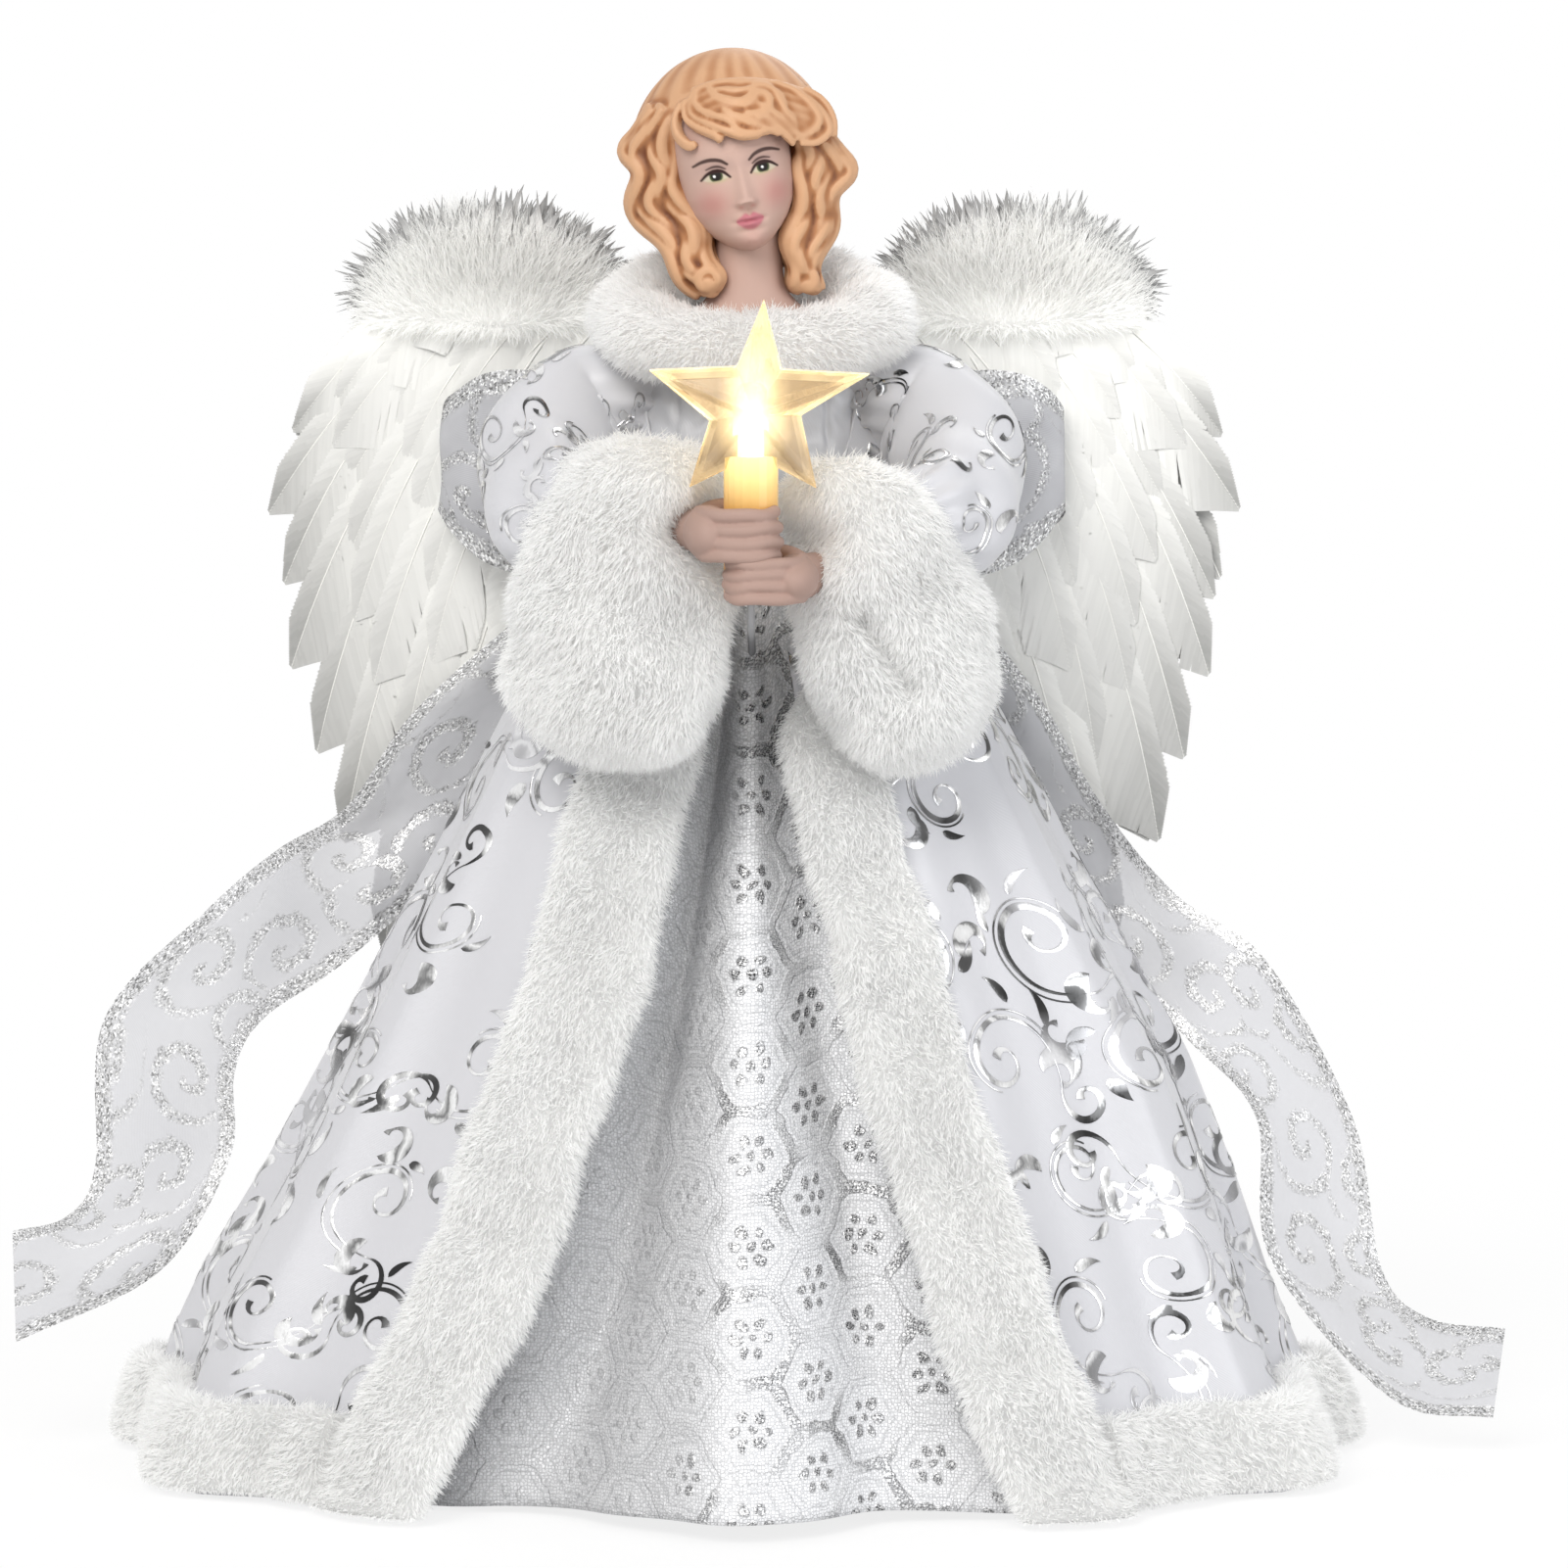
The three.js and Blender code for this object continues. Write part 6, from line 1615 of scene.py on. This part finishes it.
def faceAxes():
    roll, yaw = math.radians(face["roll"]), math.radians(face["yaw"])
    up = np.array([-math.sin(roll), 0, math.cos(roll)])
    right = np.array([math.cos(roll), 0, math.sin(roll)])
    front = np.array([0, -1.0, 0])
    return right * math.cos(yaw) - front * math.sin(yaw), up, front * math.cos(yaw) + right * math.sin(yaw)


def skinFinish():
    finish, tree, shader = newFinish("paintedSkin")
    paint = marked(tree, "paint", "Color")
    cloud = fit(tree, objectNoise(tree, 120, 3), to=(0.0, 0.03))
    setInput(shader, "Base Color", blend(tree, cloud, paint, (0.55, 0.33, 0.26)))
    setInput(shader, "Roughness", 0.55)
    setInput(shader, "Specular IOR Level", 0.14)
    addBump(tree, shader, objectNoise(tree, 900, 2), 0.03, 0.25)
    return finish


skin = skinFinish()


def setPaint(piece, tint):
    layer = piece.data.attributes.new("paint", "FLOAT_COLOR", "POINT")
    tint = np.concatenate([tint.reshape(-1, 3), np.ones((tint.size // 3, 1))], 1)
    layer.data.foreach_set("color", tint.ravel())


def makeFace():
    right, up, front = faceAxes()
    v = np.concatenate([np.linspace(16, 5, 20), np.linspace(4.8, -12.6, 112), np.linspace(-12.8, -17.1, 26)])
    share = np.concatenate([np.linspace(-1.75, -0.8, 14)[:-1], np.linspace(-0.8, 0.8, 118),
            np.linspace(0.8, 1.75, 14)[1:]])
    wide = np.interp(v, face["heights"][::-1], face["wide"][::-1])[:, None]
    deep = np.interp(v, face["heights"][::-1], face["deep"][::-1])[:, None]
    for _ in range(6):
        wide[1:-1] = (wide[:-2] + 2 * wide[1:-1] + wide[2:]) / 4
        deep[1:-1] = (deep[:-2] + 2 * deep[1:-1] + deep[2:]) / 4
    a = np.sign(share) * np.where(np.abs(share) < 0.8, np.arcsin(np.abs(np.clip(share, -0.8, 0.8))),
                                  math.asin(0.8) + (np.abs(share) - 0.8) * 1.25)
    a = a[None, :]
    u = wide * np.sin(a)
    tall = np.broadcast_to(v[:, None], u.shape)
    w = deep * np.cos(a) + faceRelief(u, tall) * np.clip(np.cos(a), 0, 1)
    grid = np.array(face["middle"]) + u[..., None] * right + tall[..., None] * up + w[..., None] * front
    tint = paintFace(u, tall)
    piece = addGrid("head_face", grid)
    setPaint(piece, tint)
    turnOut(piece)
    wear(piece, skin, replaces=["bust_head"])
    # neck and the shoulder plate inside the collar
    rows = [(237, 24, 15, 0, -3), (241, 22, 14, 0, -4), (245, 17, 11.5, -0.2, -5), (249, 11, 9, -0.4, -6),
            (253, 7.9, 7.7, -0.6, -6.5),
            (258, 7.2, 7.1, -0.7, -6.7), (264, 7.1, 6.9, -0.6, -6.9), (269, 7.3, 7.2, -1, -7.2)]
    profile = splineThrough(rows, 34)
    t = fullTurn(44)[None, :]
    z, wide, deep, x, y = (profile[:, k : k + 1] for k in range(5))
    rings = joined(x + wide * np.sin(t), y - deep * np.cos(t), z)
    neck = capTube("head_neck", rings)
    setPaint(neck, np.tile(np.array(face["skin"]) * 0.98, (len(neck.data.vertices), 1)))
    wear(neck, skin, replaces=["bust_head"])


def hairFinish():
    finish, tree, shader = newFinish("paintedHair")
    groove = marked(tree, "groove")
    cloud = calc(tree, "MULTIPLY_ADD", calc(tree, "SUBTRACT", objectNoise(tree, 90, 4), 0.5), 0.22, groove)
    # ridges light, cracks dark: partly paint wash, partly painted shade
    colour = steps(tree, cloud, [(0.12, hairColour["ridge"]), (0.4, hairColour["ridge"]),
            (0.55, hairColour["middle"]), (0.8, hairColour["crack"])])
    setInput(shader, "Base Color", colour)
    setInput(shader, "Roughness", 0.52)
    setInput(shader, "Specular IOR Level", 0.3)
    addBump(tree, shader, objectNoise(tree, 500, 2), 0.05, 0.3)
    return finish


# strands as seen from the front: steps across and down from the upper left of the crown
hair = dict(
    scale=4.018, origin=(-35.28, 307.4), rise=4.048, grain=0.42, seed=8,
    bangs=[[(6.05, 3.5), (5.95, 4.3), (6.5, 4.85), (7.5, 5.2), (8.1, 5.75), (8.9, 5.9), (10, 5.65)],
           [(6.5, 3.4), (6.9, 4.0), (7.9, 4.35), (8.5, 4.25), (9.0, 3.85), (9.5, 3.95), (9.55, 4.5),
            (9.0, 5.0), (8.7, 5.35)],
           [(7.0, 3.15), (8.1, 3.3), (9.5, 3.4), (10.0, 4.0), (10.5, 4.75), (10.9, 5.2), (11.0, 5.8)],
           [(6.9, 3.6), (7.9, 3.75), (8.6, 3.7), (9.2, 3.5), (10.1, 3.85), (10.35, 4.6), (10.1, 5.0)],
           [(5.1, 4.2), (4.8, 5.1), (4.95, 5.9), (5.5, 6.45), (5.9, 6.4)],
           [(5.4, 4.0), (5.4, 5.0), (6.1, 5.6), (6.9, 6.0), (7.2, 6.35)],
           [(5.7, 3.8), (5.75, 4.8), (6.7, 5.4), (7.6, 5.8), (8.3, 6.05), (9.2, 6.0)],
           [(10.0, 3.1), (11.0, 3.6), (11.8, 4.3), (12.2, 5.0), (11.9, 5.6), (11.1, 6.0)],
           [(10.8, 3.5), (12.0, 4.2), (12.6, 5.0), (12.7, 5.7), (12.1, 6.2), (11.3, 6.3)],
           [(11.5, 3.35), (12.4, 4.0), (12.95, 4.9), (13.1, 5.9)],
           [(9.0, 4.3), (9.7, 4.75), (10.2, 5.1), (10.8, 5.6), (11.4, 5.9)],
           [(8.4, 4.9), (9.3, 5.0), (10.0, 5.4), (10.6, 5.95), (11.0, 6.4)],
           [(7.3, 4.7), (8.0, 5.1), (8.6, 5.3), (9.4, 5.5), (10.2, 5.9)]],
    locks=dict(
        right=([(3.6, 4.3), (2.7, 5.7), (2.35, 6.6), (2.8, 7.6), (2.45, 9.0), (3.1, 10.2), (3.85, 11.3),
                (4.65, 12.5), (5.55, 13.7), (6.2, 14.4)],
               [(5.0, 4.4), (4.6, 5.8), (4.45, 7.2), (4.75, 8.4), (5.35, 9.6), (5.95, 10.6), (6.35, 11.8),
                (6.45, 12.8), (6.9, 13.4), (6.9, 13.9)]),
        left=([(12.2, 4.4), (12.6, 5.6), (13.3, 6.9), (13.6, 7.8), (13.1, 8.8), (12.75, 10.3), (12.3, 11.6),
               (12.1, 12.8), (12.0, 13.8), (11.7, 14.1)],
              [(11.1, 5.0), (11.25, 6.2), (11.4, 7.2), (11.4, 8.4), (11.1, 9.8), (10.9, 11.0),
               (10.85, 12.2), (10.95, 13.2), (11.3, 13.7), (11.6, 13.6)])),
    strands=6, backStrands=22, cap=(-4.2, 1, 279.8), capHalf=(21.8, 20.8, 23.6),
)


# how far forward the hair lies, over the brow and down the sides of the face
def hairDepth(x, z):
    dx = x + 3
    curve = np.sqrt(np.clip(1 - (dx / 25.5) ** 2 - ((z - 279) / 26) ** 2, 0.02, 1))
    brow = 6.4 * np.exp(-((dx / 11) ** 2)) * smoothStep((z - 275) / 7) * smoothStep((303 - z) / 14)
    return -4 - 14.2 * curve - brow


def lockDepth(x, z):
    curve = np.sqrt(np.clip(1 - ((x + 3) / 25.5) ** 2 - ((z - 279) / 30) ** 2, 0.02, 1))
    return -2.5 - 11.5 * curve - 0.45 * np.clip(268 - z, 0, 30)


def strandLine(points, count):
    flat = splineThrough(points, count)
    x = hair["origin"][0] + hair["scale"] * flat[:, 0]
    z = hair["origin"][1] - hair["rise"] * flat[:, 1]
    y = hairDepth(x, z + 2)
    return np.stack([x, y, z - 0.1228 * y], -1)


def makeHair():
    rng = np.random.default_rng(hair["seed"])
    pile = Pile()

    # smooth crown with soft grooves; its front steps back where the bangs come out from under it
    def capShape(points):
        middle = np.array(hair["cap"])
        x, y, z = (points[..., k] - middle[k] for k in range(3))
        turn = np.arctan2(x, -(y - 6))
        rise = np.clip(z / 23.6, -1, 1)
        groove = 0.006 * np.cos(26 * turn + 5 * rise + np.sin(5 * turn)) * (1 - rise**6)
        points = middle + np.stack([x, y, z], -1) * (1 + groove)[..., None]
        seam = 296.6 - 0.02 * (points[..., 0] + 1) ** 2
        points[..., 1] += np.where(y < 0, np.clip((seam - points[..., 2]) * 1.3, 0, 6) * np.clip(-y / 8, 0,
                1), 0)
        return points

    pile.ball(hair["cap"], hair["capHalf"], capShape, 90, 150)
    # a ground for the bangs, then the bangs
    for v in np.arange(3.35, 5.3, 0.42):
        line = strandLine([(5.4 + 0.1 * v, v + 0.5), (7, v + 0.1), (8.6, v), (10.2, v + 0.15),
                           (12.2, v + 0.7)], 30)
        pile.tube(line + [0, 1.55, 0], 1.9, 10)
    for line in hair["bangs"]:
        points = strandLine(line, 26)
        fat = rng.uniform(1.0, 1.25) * np.sin(math.pi * (0.16 + 0.72 * np.linspace(0, 1, 26))) ** 0.5
        pile.tube(points, fat * 1.05, 20, 3, 0.16, 0.1)
    t = np.linspace(0, 1, 44)
    for side, (outer, inner) in hair["locks"].items():
        outer, inner = splineThrough(outer, 44), splineThrough(inner, 44)
        for k in range(hair["strands"]):
            share = k / (hair["strands"] - 1)
            flat = outer * (1 - share) + inner * share
            wave = 0.23 * np.sin(t * 20 + 0.75 * k + (2 if side == "left" else 0)) * np.minimum(1, t * 4)
            flat = flat + np.stack([wave, 0.06 * np.cos(t * 15 + k)], -1)
            x = hair["origin"][0] + hair["scale"] * flat[:, 0]
            z = hair["origin"][1] - hair["rise"] * flat[:, 1]
            y = lockDepth(x, z + 1) + 0.7 * np.sin(t * 14 + 2.3 * k)
            line = np.stack([x, y, z - 0.1228 * y], -1)
            end = int(44 - rng.integers(0, 6))
            fat = rng.uniform(1.25, 1.6) * np.sin(math.pi * (0.2 + 0.66 * t)) ** 0.5
            pile.tube(line[:end], fat[:end], 12)
            # the layer behind it
            pile.tube(line[:end] + [0.3, 1.7, 0.3], fat[:end] * 1.7, 10)
            pile.tube(line[:end] * [0.96, 1, 1] + [0.3, 6.0, 0.3], fat[:end] * 1.9, 10)
        # a curl at the end of the lock
        x, z = hair["origin"][0] + hair["scale"] * (6.5 if side == "right"
                else 11.6), hair["origin"][1] - hair["rise"] * 13.5
        a = np.linspace(0, 5.2, 30) * (1 if side == "right" else -1) + (1.2 if side == "right" else 2.0)
        small = np.linspace(2.7, 0.2, 30)
        y = lockDepth(np.array(x), np.array(z)) - 0.9
        pile.tube(np.stack([x + small * np.cos(a), y + 0 * a, z + small * np.sin(a) - 0.1228 * y], -1),
                  np.linspace(1.5, 1.1, 30), 12)
        pile.ball((x, y - 0.2, z - 0.1228 * y), (1.9, 1.4, 1.9))
    for k in range(hair["backStrands"]):
        turn = math.radians(-112 + 224 * k / (hair["backStrands"] - 1))
        back = np.linspace(0, 1, 40)
        z = 295 - 42 * back + 1.2 * np.sin(9 * back + k)
        out = np.sqrt(np.clip(1 - ((z - 279.8) / 24.5) ** 2, 0.16, 1)) + 0.1 * smoothStep((back - 0.55) / 0.3)
        swing = turn + 0.07 * np.sin(13 * back + 0.8 * k)
        # each strand comes up out of the crown
        out *= 0.9 + 0.1 * smoothStep(back / 0.3)
        line = np.stack([-4 + 21.8 * out * np.sin(swing) * (1 - 0.2 * back), 1 + 21 * out * np.cos(swing),
                         z], -1)
        pile.tube(line, rng.uniform(1.8, 2.3) * np.sin(math.pi * (0.06 + 0.82 * back)) ** 0.5, 12)
    piece = pile.fuse("head_hair", hair["grain"], 3)
    markGrooves(piece, 14, 0.75)
    wear(piece, hairFinish(), replaces=["bust_head"])
    print("hair fused,", len(piece.data.polygons), "faces")


makeFace()
makeHair()
print("head made")


# hands: a palm, four fingers round the candle and a thumb, fused
hands = dict(
    right=dict(middle=(0, -70, 206.7), sign=-1, pitch=2.8, wrap=0.74, wrist=(-23, -51, 205.8)),
    left=dict(middle=(0, -70, 197.2), sign=1, pitch=2.4, wrap=0.66, wrist=(23, -51, 198.2)),
)


def makeHand(side):
    hand = hands[side]
    sign, (x, y, z) = hand["sign"], hand["middle"]
    pile = Pile()
    for k in range(4):
        lift = z + (k - 1.5) * hand["pitch"]
        shift = (0.6, 0, 0.2, 1.0)[k]
        tips = [(a + shift, b) for a, b in ((-4.6, -7.4), (-7.4, -3.8), (-7.2, -1.5))]
        knuckles = [(10.6, 2), (9.2, -4), (6.0, -7.3), (0.5, -8.4)] + [(a * hand["wrap"], b) for a, b in tips]
        line = splineThrough([(x + sign * a, y + b, lift + 0.35 * sign * math.sin(k + a)) for a,
                b in knuckles], 26)
        pile.tube(line, np.linspace(1.62, 1.3, 26) * hand["pitch"] / 2.75, 12)
    pile.ball((x + sign * 8.8, y + 0.4, z), (5.2, 9.3, 5.7 * hand["pitch"] / 2.85))
    thumb = [(11, 4, 2.5), (7.5, 7.2, 4.2), (2.5, 8.2, 4.6), (-2.5, 7.2, 3.8)]
    pile.tube(splineThrough([(x + sign * a, y + b, z + c) for a, b, c in thumb], 18),
              np.linspace(2.3, 1.6, 18), 12)
    wrist = hand["wrist"]
    line = splineThrough([(x + sign * 9.5, y + 3, z), (x + sign * 13, y + 9, z), wrist], 18)
    pile.tube(line, np.linspace(4.9, 4.2, 18), 20)
    piece = pile.fuse(f"{side}_hand_skin", 0.33, 4)
    markGrooves(piece, 12, 1.6)
    depth = np.empty(len(piece.data.vertices))
    piece.data.attributes["groove"].data.foreach_get("value", depth)
    # the hands take a darker skin tone than the face, and the grooves between the fingers are darkened
    # further as painted shade
    deep = smoothStep((depth[:, None] - 0.5) / 0.45)
    setPaint(piece, 0.72 * np.array(face["skin"]) * (1 - deep) + np.array((0.3, 0.15, 0.115)) * deep)
    wear(piece, skin, replaces=[f"{side}_hand"])


for side in sides:
    makeHand(side)
print("hands made")


# the lit star: a clear faceted casting with bevelled rims, brightest at the bulb
star = dict(
    middle=(0.5, -70, 231.5), light=(0.5, -70, 228.6), rim=2.0, bevel=3.3, peak=7.3, inset=0.8,
    outline=[(2.2, 23.2), (5.9, 8.8), (23.9, 7.9), (9.8, -0.6), (13.0, -15.6), (0.3, -8.8), (-13.2, -15.4),
             (-9.0, -1.6), (-21.4, 8.7), (-3.4, 9.4)],
)


def starFinish():
    finish, tree, shader = newFinish("clearStar")
    coords = addNode(tree, "ShaderNodeTexCoord").outputs["Object"]
    bulb = [c * mm for c in star["light"]]
    away = addNode(tree, "ShaderNodeVectorMath", {0: coords, 1: bulb}, operation="SUBTRACT").outputs[0]
    parts = addNode(tree, "ShaderNodeSeparateXYZ", {0: away}).outputs
    side = calc(tree, "MULTIPLY", parts["X"], 1 / mm)
    lift = calc(tree, "MULTIPLY", parts["Z"], 1 / mm)
    # the glow runs up the top arm, and less far down
    tall = calc(tree, "ADD", calc(tree, "MULTIPLY", calc(tree, "MAXIMUM", lift, 0.0), 0.27),
                calc(tree, "MULTIPLY", calc(tree, "MINIMUM", lift, 0.0), 0.8))
    high = fit(tree, lift, (-6.0, 3.0), (0.3, 1.0))
    far = calc(tree, "SQRT", calc(tree, "ADD", calc(tree, "MULTIPLY", side, side),
            calc(tree, "MULTIPLY", tall, tall)))
    rim = marked(tree, "rim")
    flaw = objectNoise(tree, 150, 3)
    near = fit(tree, calc(tree, "MULTIPLY_ADD", flaw, 3.0, far), (9.5, 2.5))
    # painted glow along the bevelled rims of the upper arms
    edge = calc(tree, "MULTIPLY", calc(tree, "MULTIPLY", rim, high),
                calc(tree, "MULTIPLY_ADD", flaw, 1.0, 0.12))
    light = calc(tree, "MAXIMUM", near, edge)
    tint = steps(tree, light, [(0.0, (0.62, 0.36, 0.13)), (0.35, (0.95, 0.66, 0.27)),
            (0.7, (1.0, 0.86, 0.46)), (1.0, (1.0, 0.97, 0.8))])
    power = steps(tree, light, [(0.0, grey(0.08)), (0.3, grey(0.24)), (0.65, grey(0.48)), (1.0, grey(0.62))])
    setInput(shader, "Emission Color", tint)
    setInput(shader, "Emission Strength", power)
    # the base colour is painted too: darker amber on the lower arms as painted shade, pale where the star
    # glows
    clear = blend(tree, high, (0.56, 0.46, 0.33), (0.82, 0.63, 0.39))
    setInput(shader, "Base Color", blend(tree, light, clear, (1.0, 0.93, 0.72)))
    setInput(shader, "Transmission Weight", 0.85)
    setInput(shader, "Roughness", 0.06)
    setInput(shader, "IOR", 1.3)
    addBump(tree, shader, objectNoise(tree, 70, 2), 0.5, 0.25)
    return finish


def makeStar():
    outline = np.array(star["outline"])
    count = len(outline)
    x, y, z = star["middle"]
    rings = [(outline, -star["rim"]), (outline * star["inset"], -star["bevel"]),
             (outline * star["inset"], star["bevel"]), (outline, star["rim"])]
    points = [(x + p[0], y + deep, z + p[1]) for ring, deep in rings for p in ring]
    points += [(x, y - star["peak"], z), (x, y + star["peak"], z)]
    faces, rim = [], []
    for k in range(count):
        n = (k + 1) % count
        faces += [(k, n, 3 * count + n, 3 * count + k), (k, count + k, count + n, n),
                  (2 * count + k, 3 * count + k, 3 * count + n, 2 * count + n),
                  (count + k, 4 * count, count + n), (2 * count + n, 4 * count + 1, 2 * count + k)]
        rim += [1.0, 0.75, 0.75, 0.0, 0.0]
    piece = addPiece("star_casting", points, faces, False)
    layer = piece.data.attributes.new("rim", "FLOAT", "FACE")
    layer.data.foreach_set("value", rim)
    soft = piece.modifiers.new("edges", "BEVEL")
    soft.width, soft.segments, soft.limit_method = 0.25 * mm, 2, "NONE"
    applyModifiers(piece)
    turnOut(piece)
    wear(piece, starFinish(), "star", ["star_cover"])


makeStar()


# finishes of the parts that keep their shape from the part itself
def plainFinish(name, colour, rough, spread=0.06, grain=60, bump=0.03, metal=0.0, stretch=(1, 1, 1)):
    finish, tree, shader = newFinish(name)
    cloud = objectNoise(tree, grain, 4, stretch)
    dark = tuple(c * (1 - spread) for c in colour)
    light = tuple(min(1, c * (1 + spread)) for c in colour)
    setInput(shader, "Base Color", steps(tree, cloud, [(0.3, dark), (0.7, light)]))
    tone = fit(tree, cloud, to=(rough - 0.06, rough + 0.06))
    setInput(shader, "Roughness", tone)
    setInput(shader, "Metallic", metal)
    addBump(tree, shader, objectNoise(tree, grain * 9, 2, stretch), bump, 0.4)
    return finish


# lit plastic: the glow fades down from the bulb, painted into the base colour as well as the emission
def litFinish(name, low, high, span, power, rough):
    finish, tree, shader = newFinish(name)
    coords = addNode(tree, "ShaderNodeTexCoord").outputs["Object"]
    height = addNode(tree, "ShaderNodeSeparateXYZ", {0: coords}).outputs["Z"]
    share = fit(tree, height, (span[0] * mm, span[1] * mm))
    mottle = calc(tree, "MULTIPLY_ADD", calc(tree, "SUBTRACT", objectNoise(tree, 160, 3), 0.5), 0.25, share)
    setInput(shader, "Emission Color", steps(tree, mottle, [(0.0, low), (1.0, high)]))
    setInput(shader, "Base Color", steps(tree, mottle, [(0.0, low), (1.0, high)]))
    setInput(shader, "Emission Strength", steps(tree, share, [(0.0, grey(power[0])), (1.0, grey(power[1]))]))
    setInput(shader, "Roughness", rough)
    addBump(tree, shader, objectNoise(tree, 300, 2), 0.04, 0.3)
    return finish


keptFinishes = {
    "card": (plainFinish("paleCard", (0.66, 0.63, 0.56), 0.8, 0.07, 90, 0.08), ["cone_core"]),
    "foam": (plainFinish("whiteFoam", (0.8, 0.78, 0.74), 0.85, 0.05, 200, 0.2), ["torso_form"]),
    "wood": (plainFinish("plainDowel", (0.56, 0.4, 0.22), 0.6, 0.25, 60, 0.06, 0, (9, 9, 0.7)),
             ["neck_dowel"]),
    "wire": (plainFinish("drawnWire", (0.5, 0.51, 0.53), 0.32, 0.1, 400, 0.03, 1.0),
             ["right_arm_wire", "left_arm_wire", "wing_bracket"]),
    "board": (plainFinish("wingBoard", (0.78, 0.77, 0.73), 0.75, 0.05, 120, 0.06),
              ["right_wing_board", "left_wing_board"]),
    "candle": (litFinish("amberCandle", (0.62, 0.33, 0.09), (1.0, 0.83, 0.36), (211.5, 223.5), (0.15, 0.45),
            0.3), ["candle_tube"]),
    "bulb": (litFinish("litBulb", (1.0, 0.96, 0.8), (1.0, 0.8, 0.42), (226, 236), (0.9, 0.16), 0.2),
             ["led_bulb"]),
    "lead": (plainFinish("leadJacket", (0.3, 0.3, 0.31), 0.5, 0.04, 80, 0.02), ["led_lead"]),
    "case": (plainFinish("caseMoulding", (0.8, 0.785, 0.74), 0.48, 0.04, 140, 0.05),
             ["battery_case", "battery_door"]),
    "cell": (plainFinish("cellJacket", (0.075, 0.1, 0.12), 0.35, 0.12, 70, 0.02), ["battery_1", "battery_2"]),
    "brass": (plainFinish("springBrass", (0.57, 0.4, 0.1), 0.3, 0.15, 160, 0.03, 1.0),
              ["contact_tab_1", "contact_tab_2", "door_contact"]),
    "switch": (plainFinish("switchMoulding", (0.02, 0.02, 0.022), 0.45, 0.2, 180, 0.05), ["switch_slider"]),
}
for finish, kept in keptFinishes.values():
    for name in kept:
        nodes[name].data.materials.clear()
        nodes[name].data.materials.append(finish)
print("star lit, other parts finished")


for helper in (shortBlade, longBlade):
    bpy.data.objects.remove(helper)
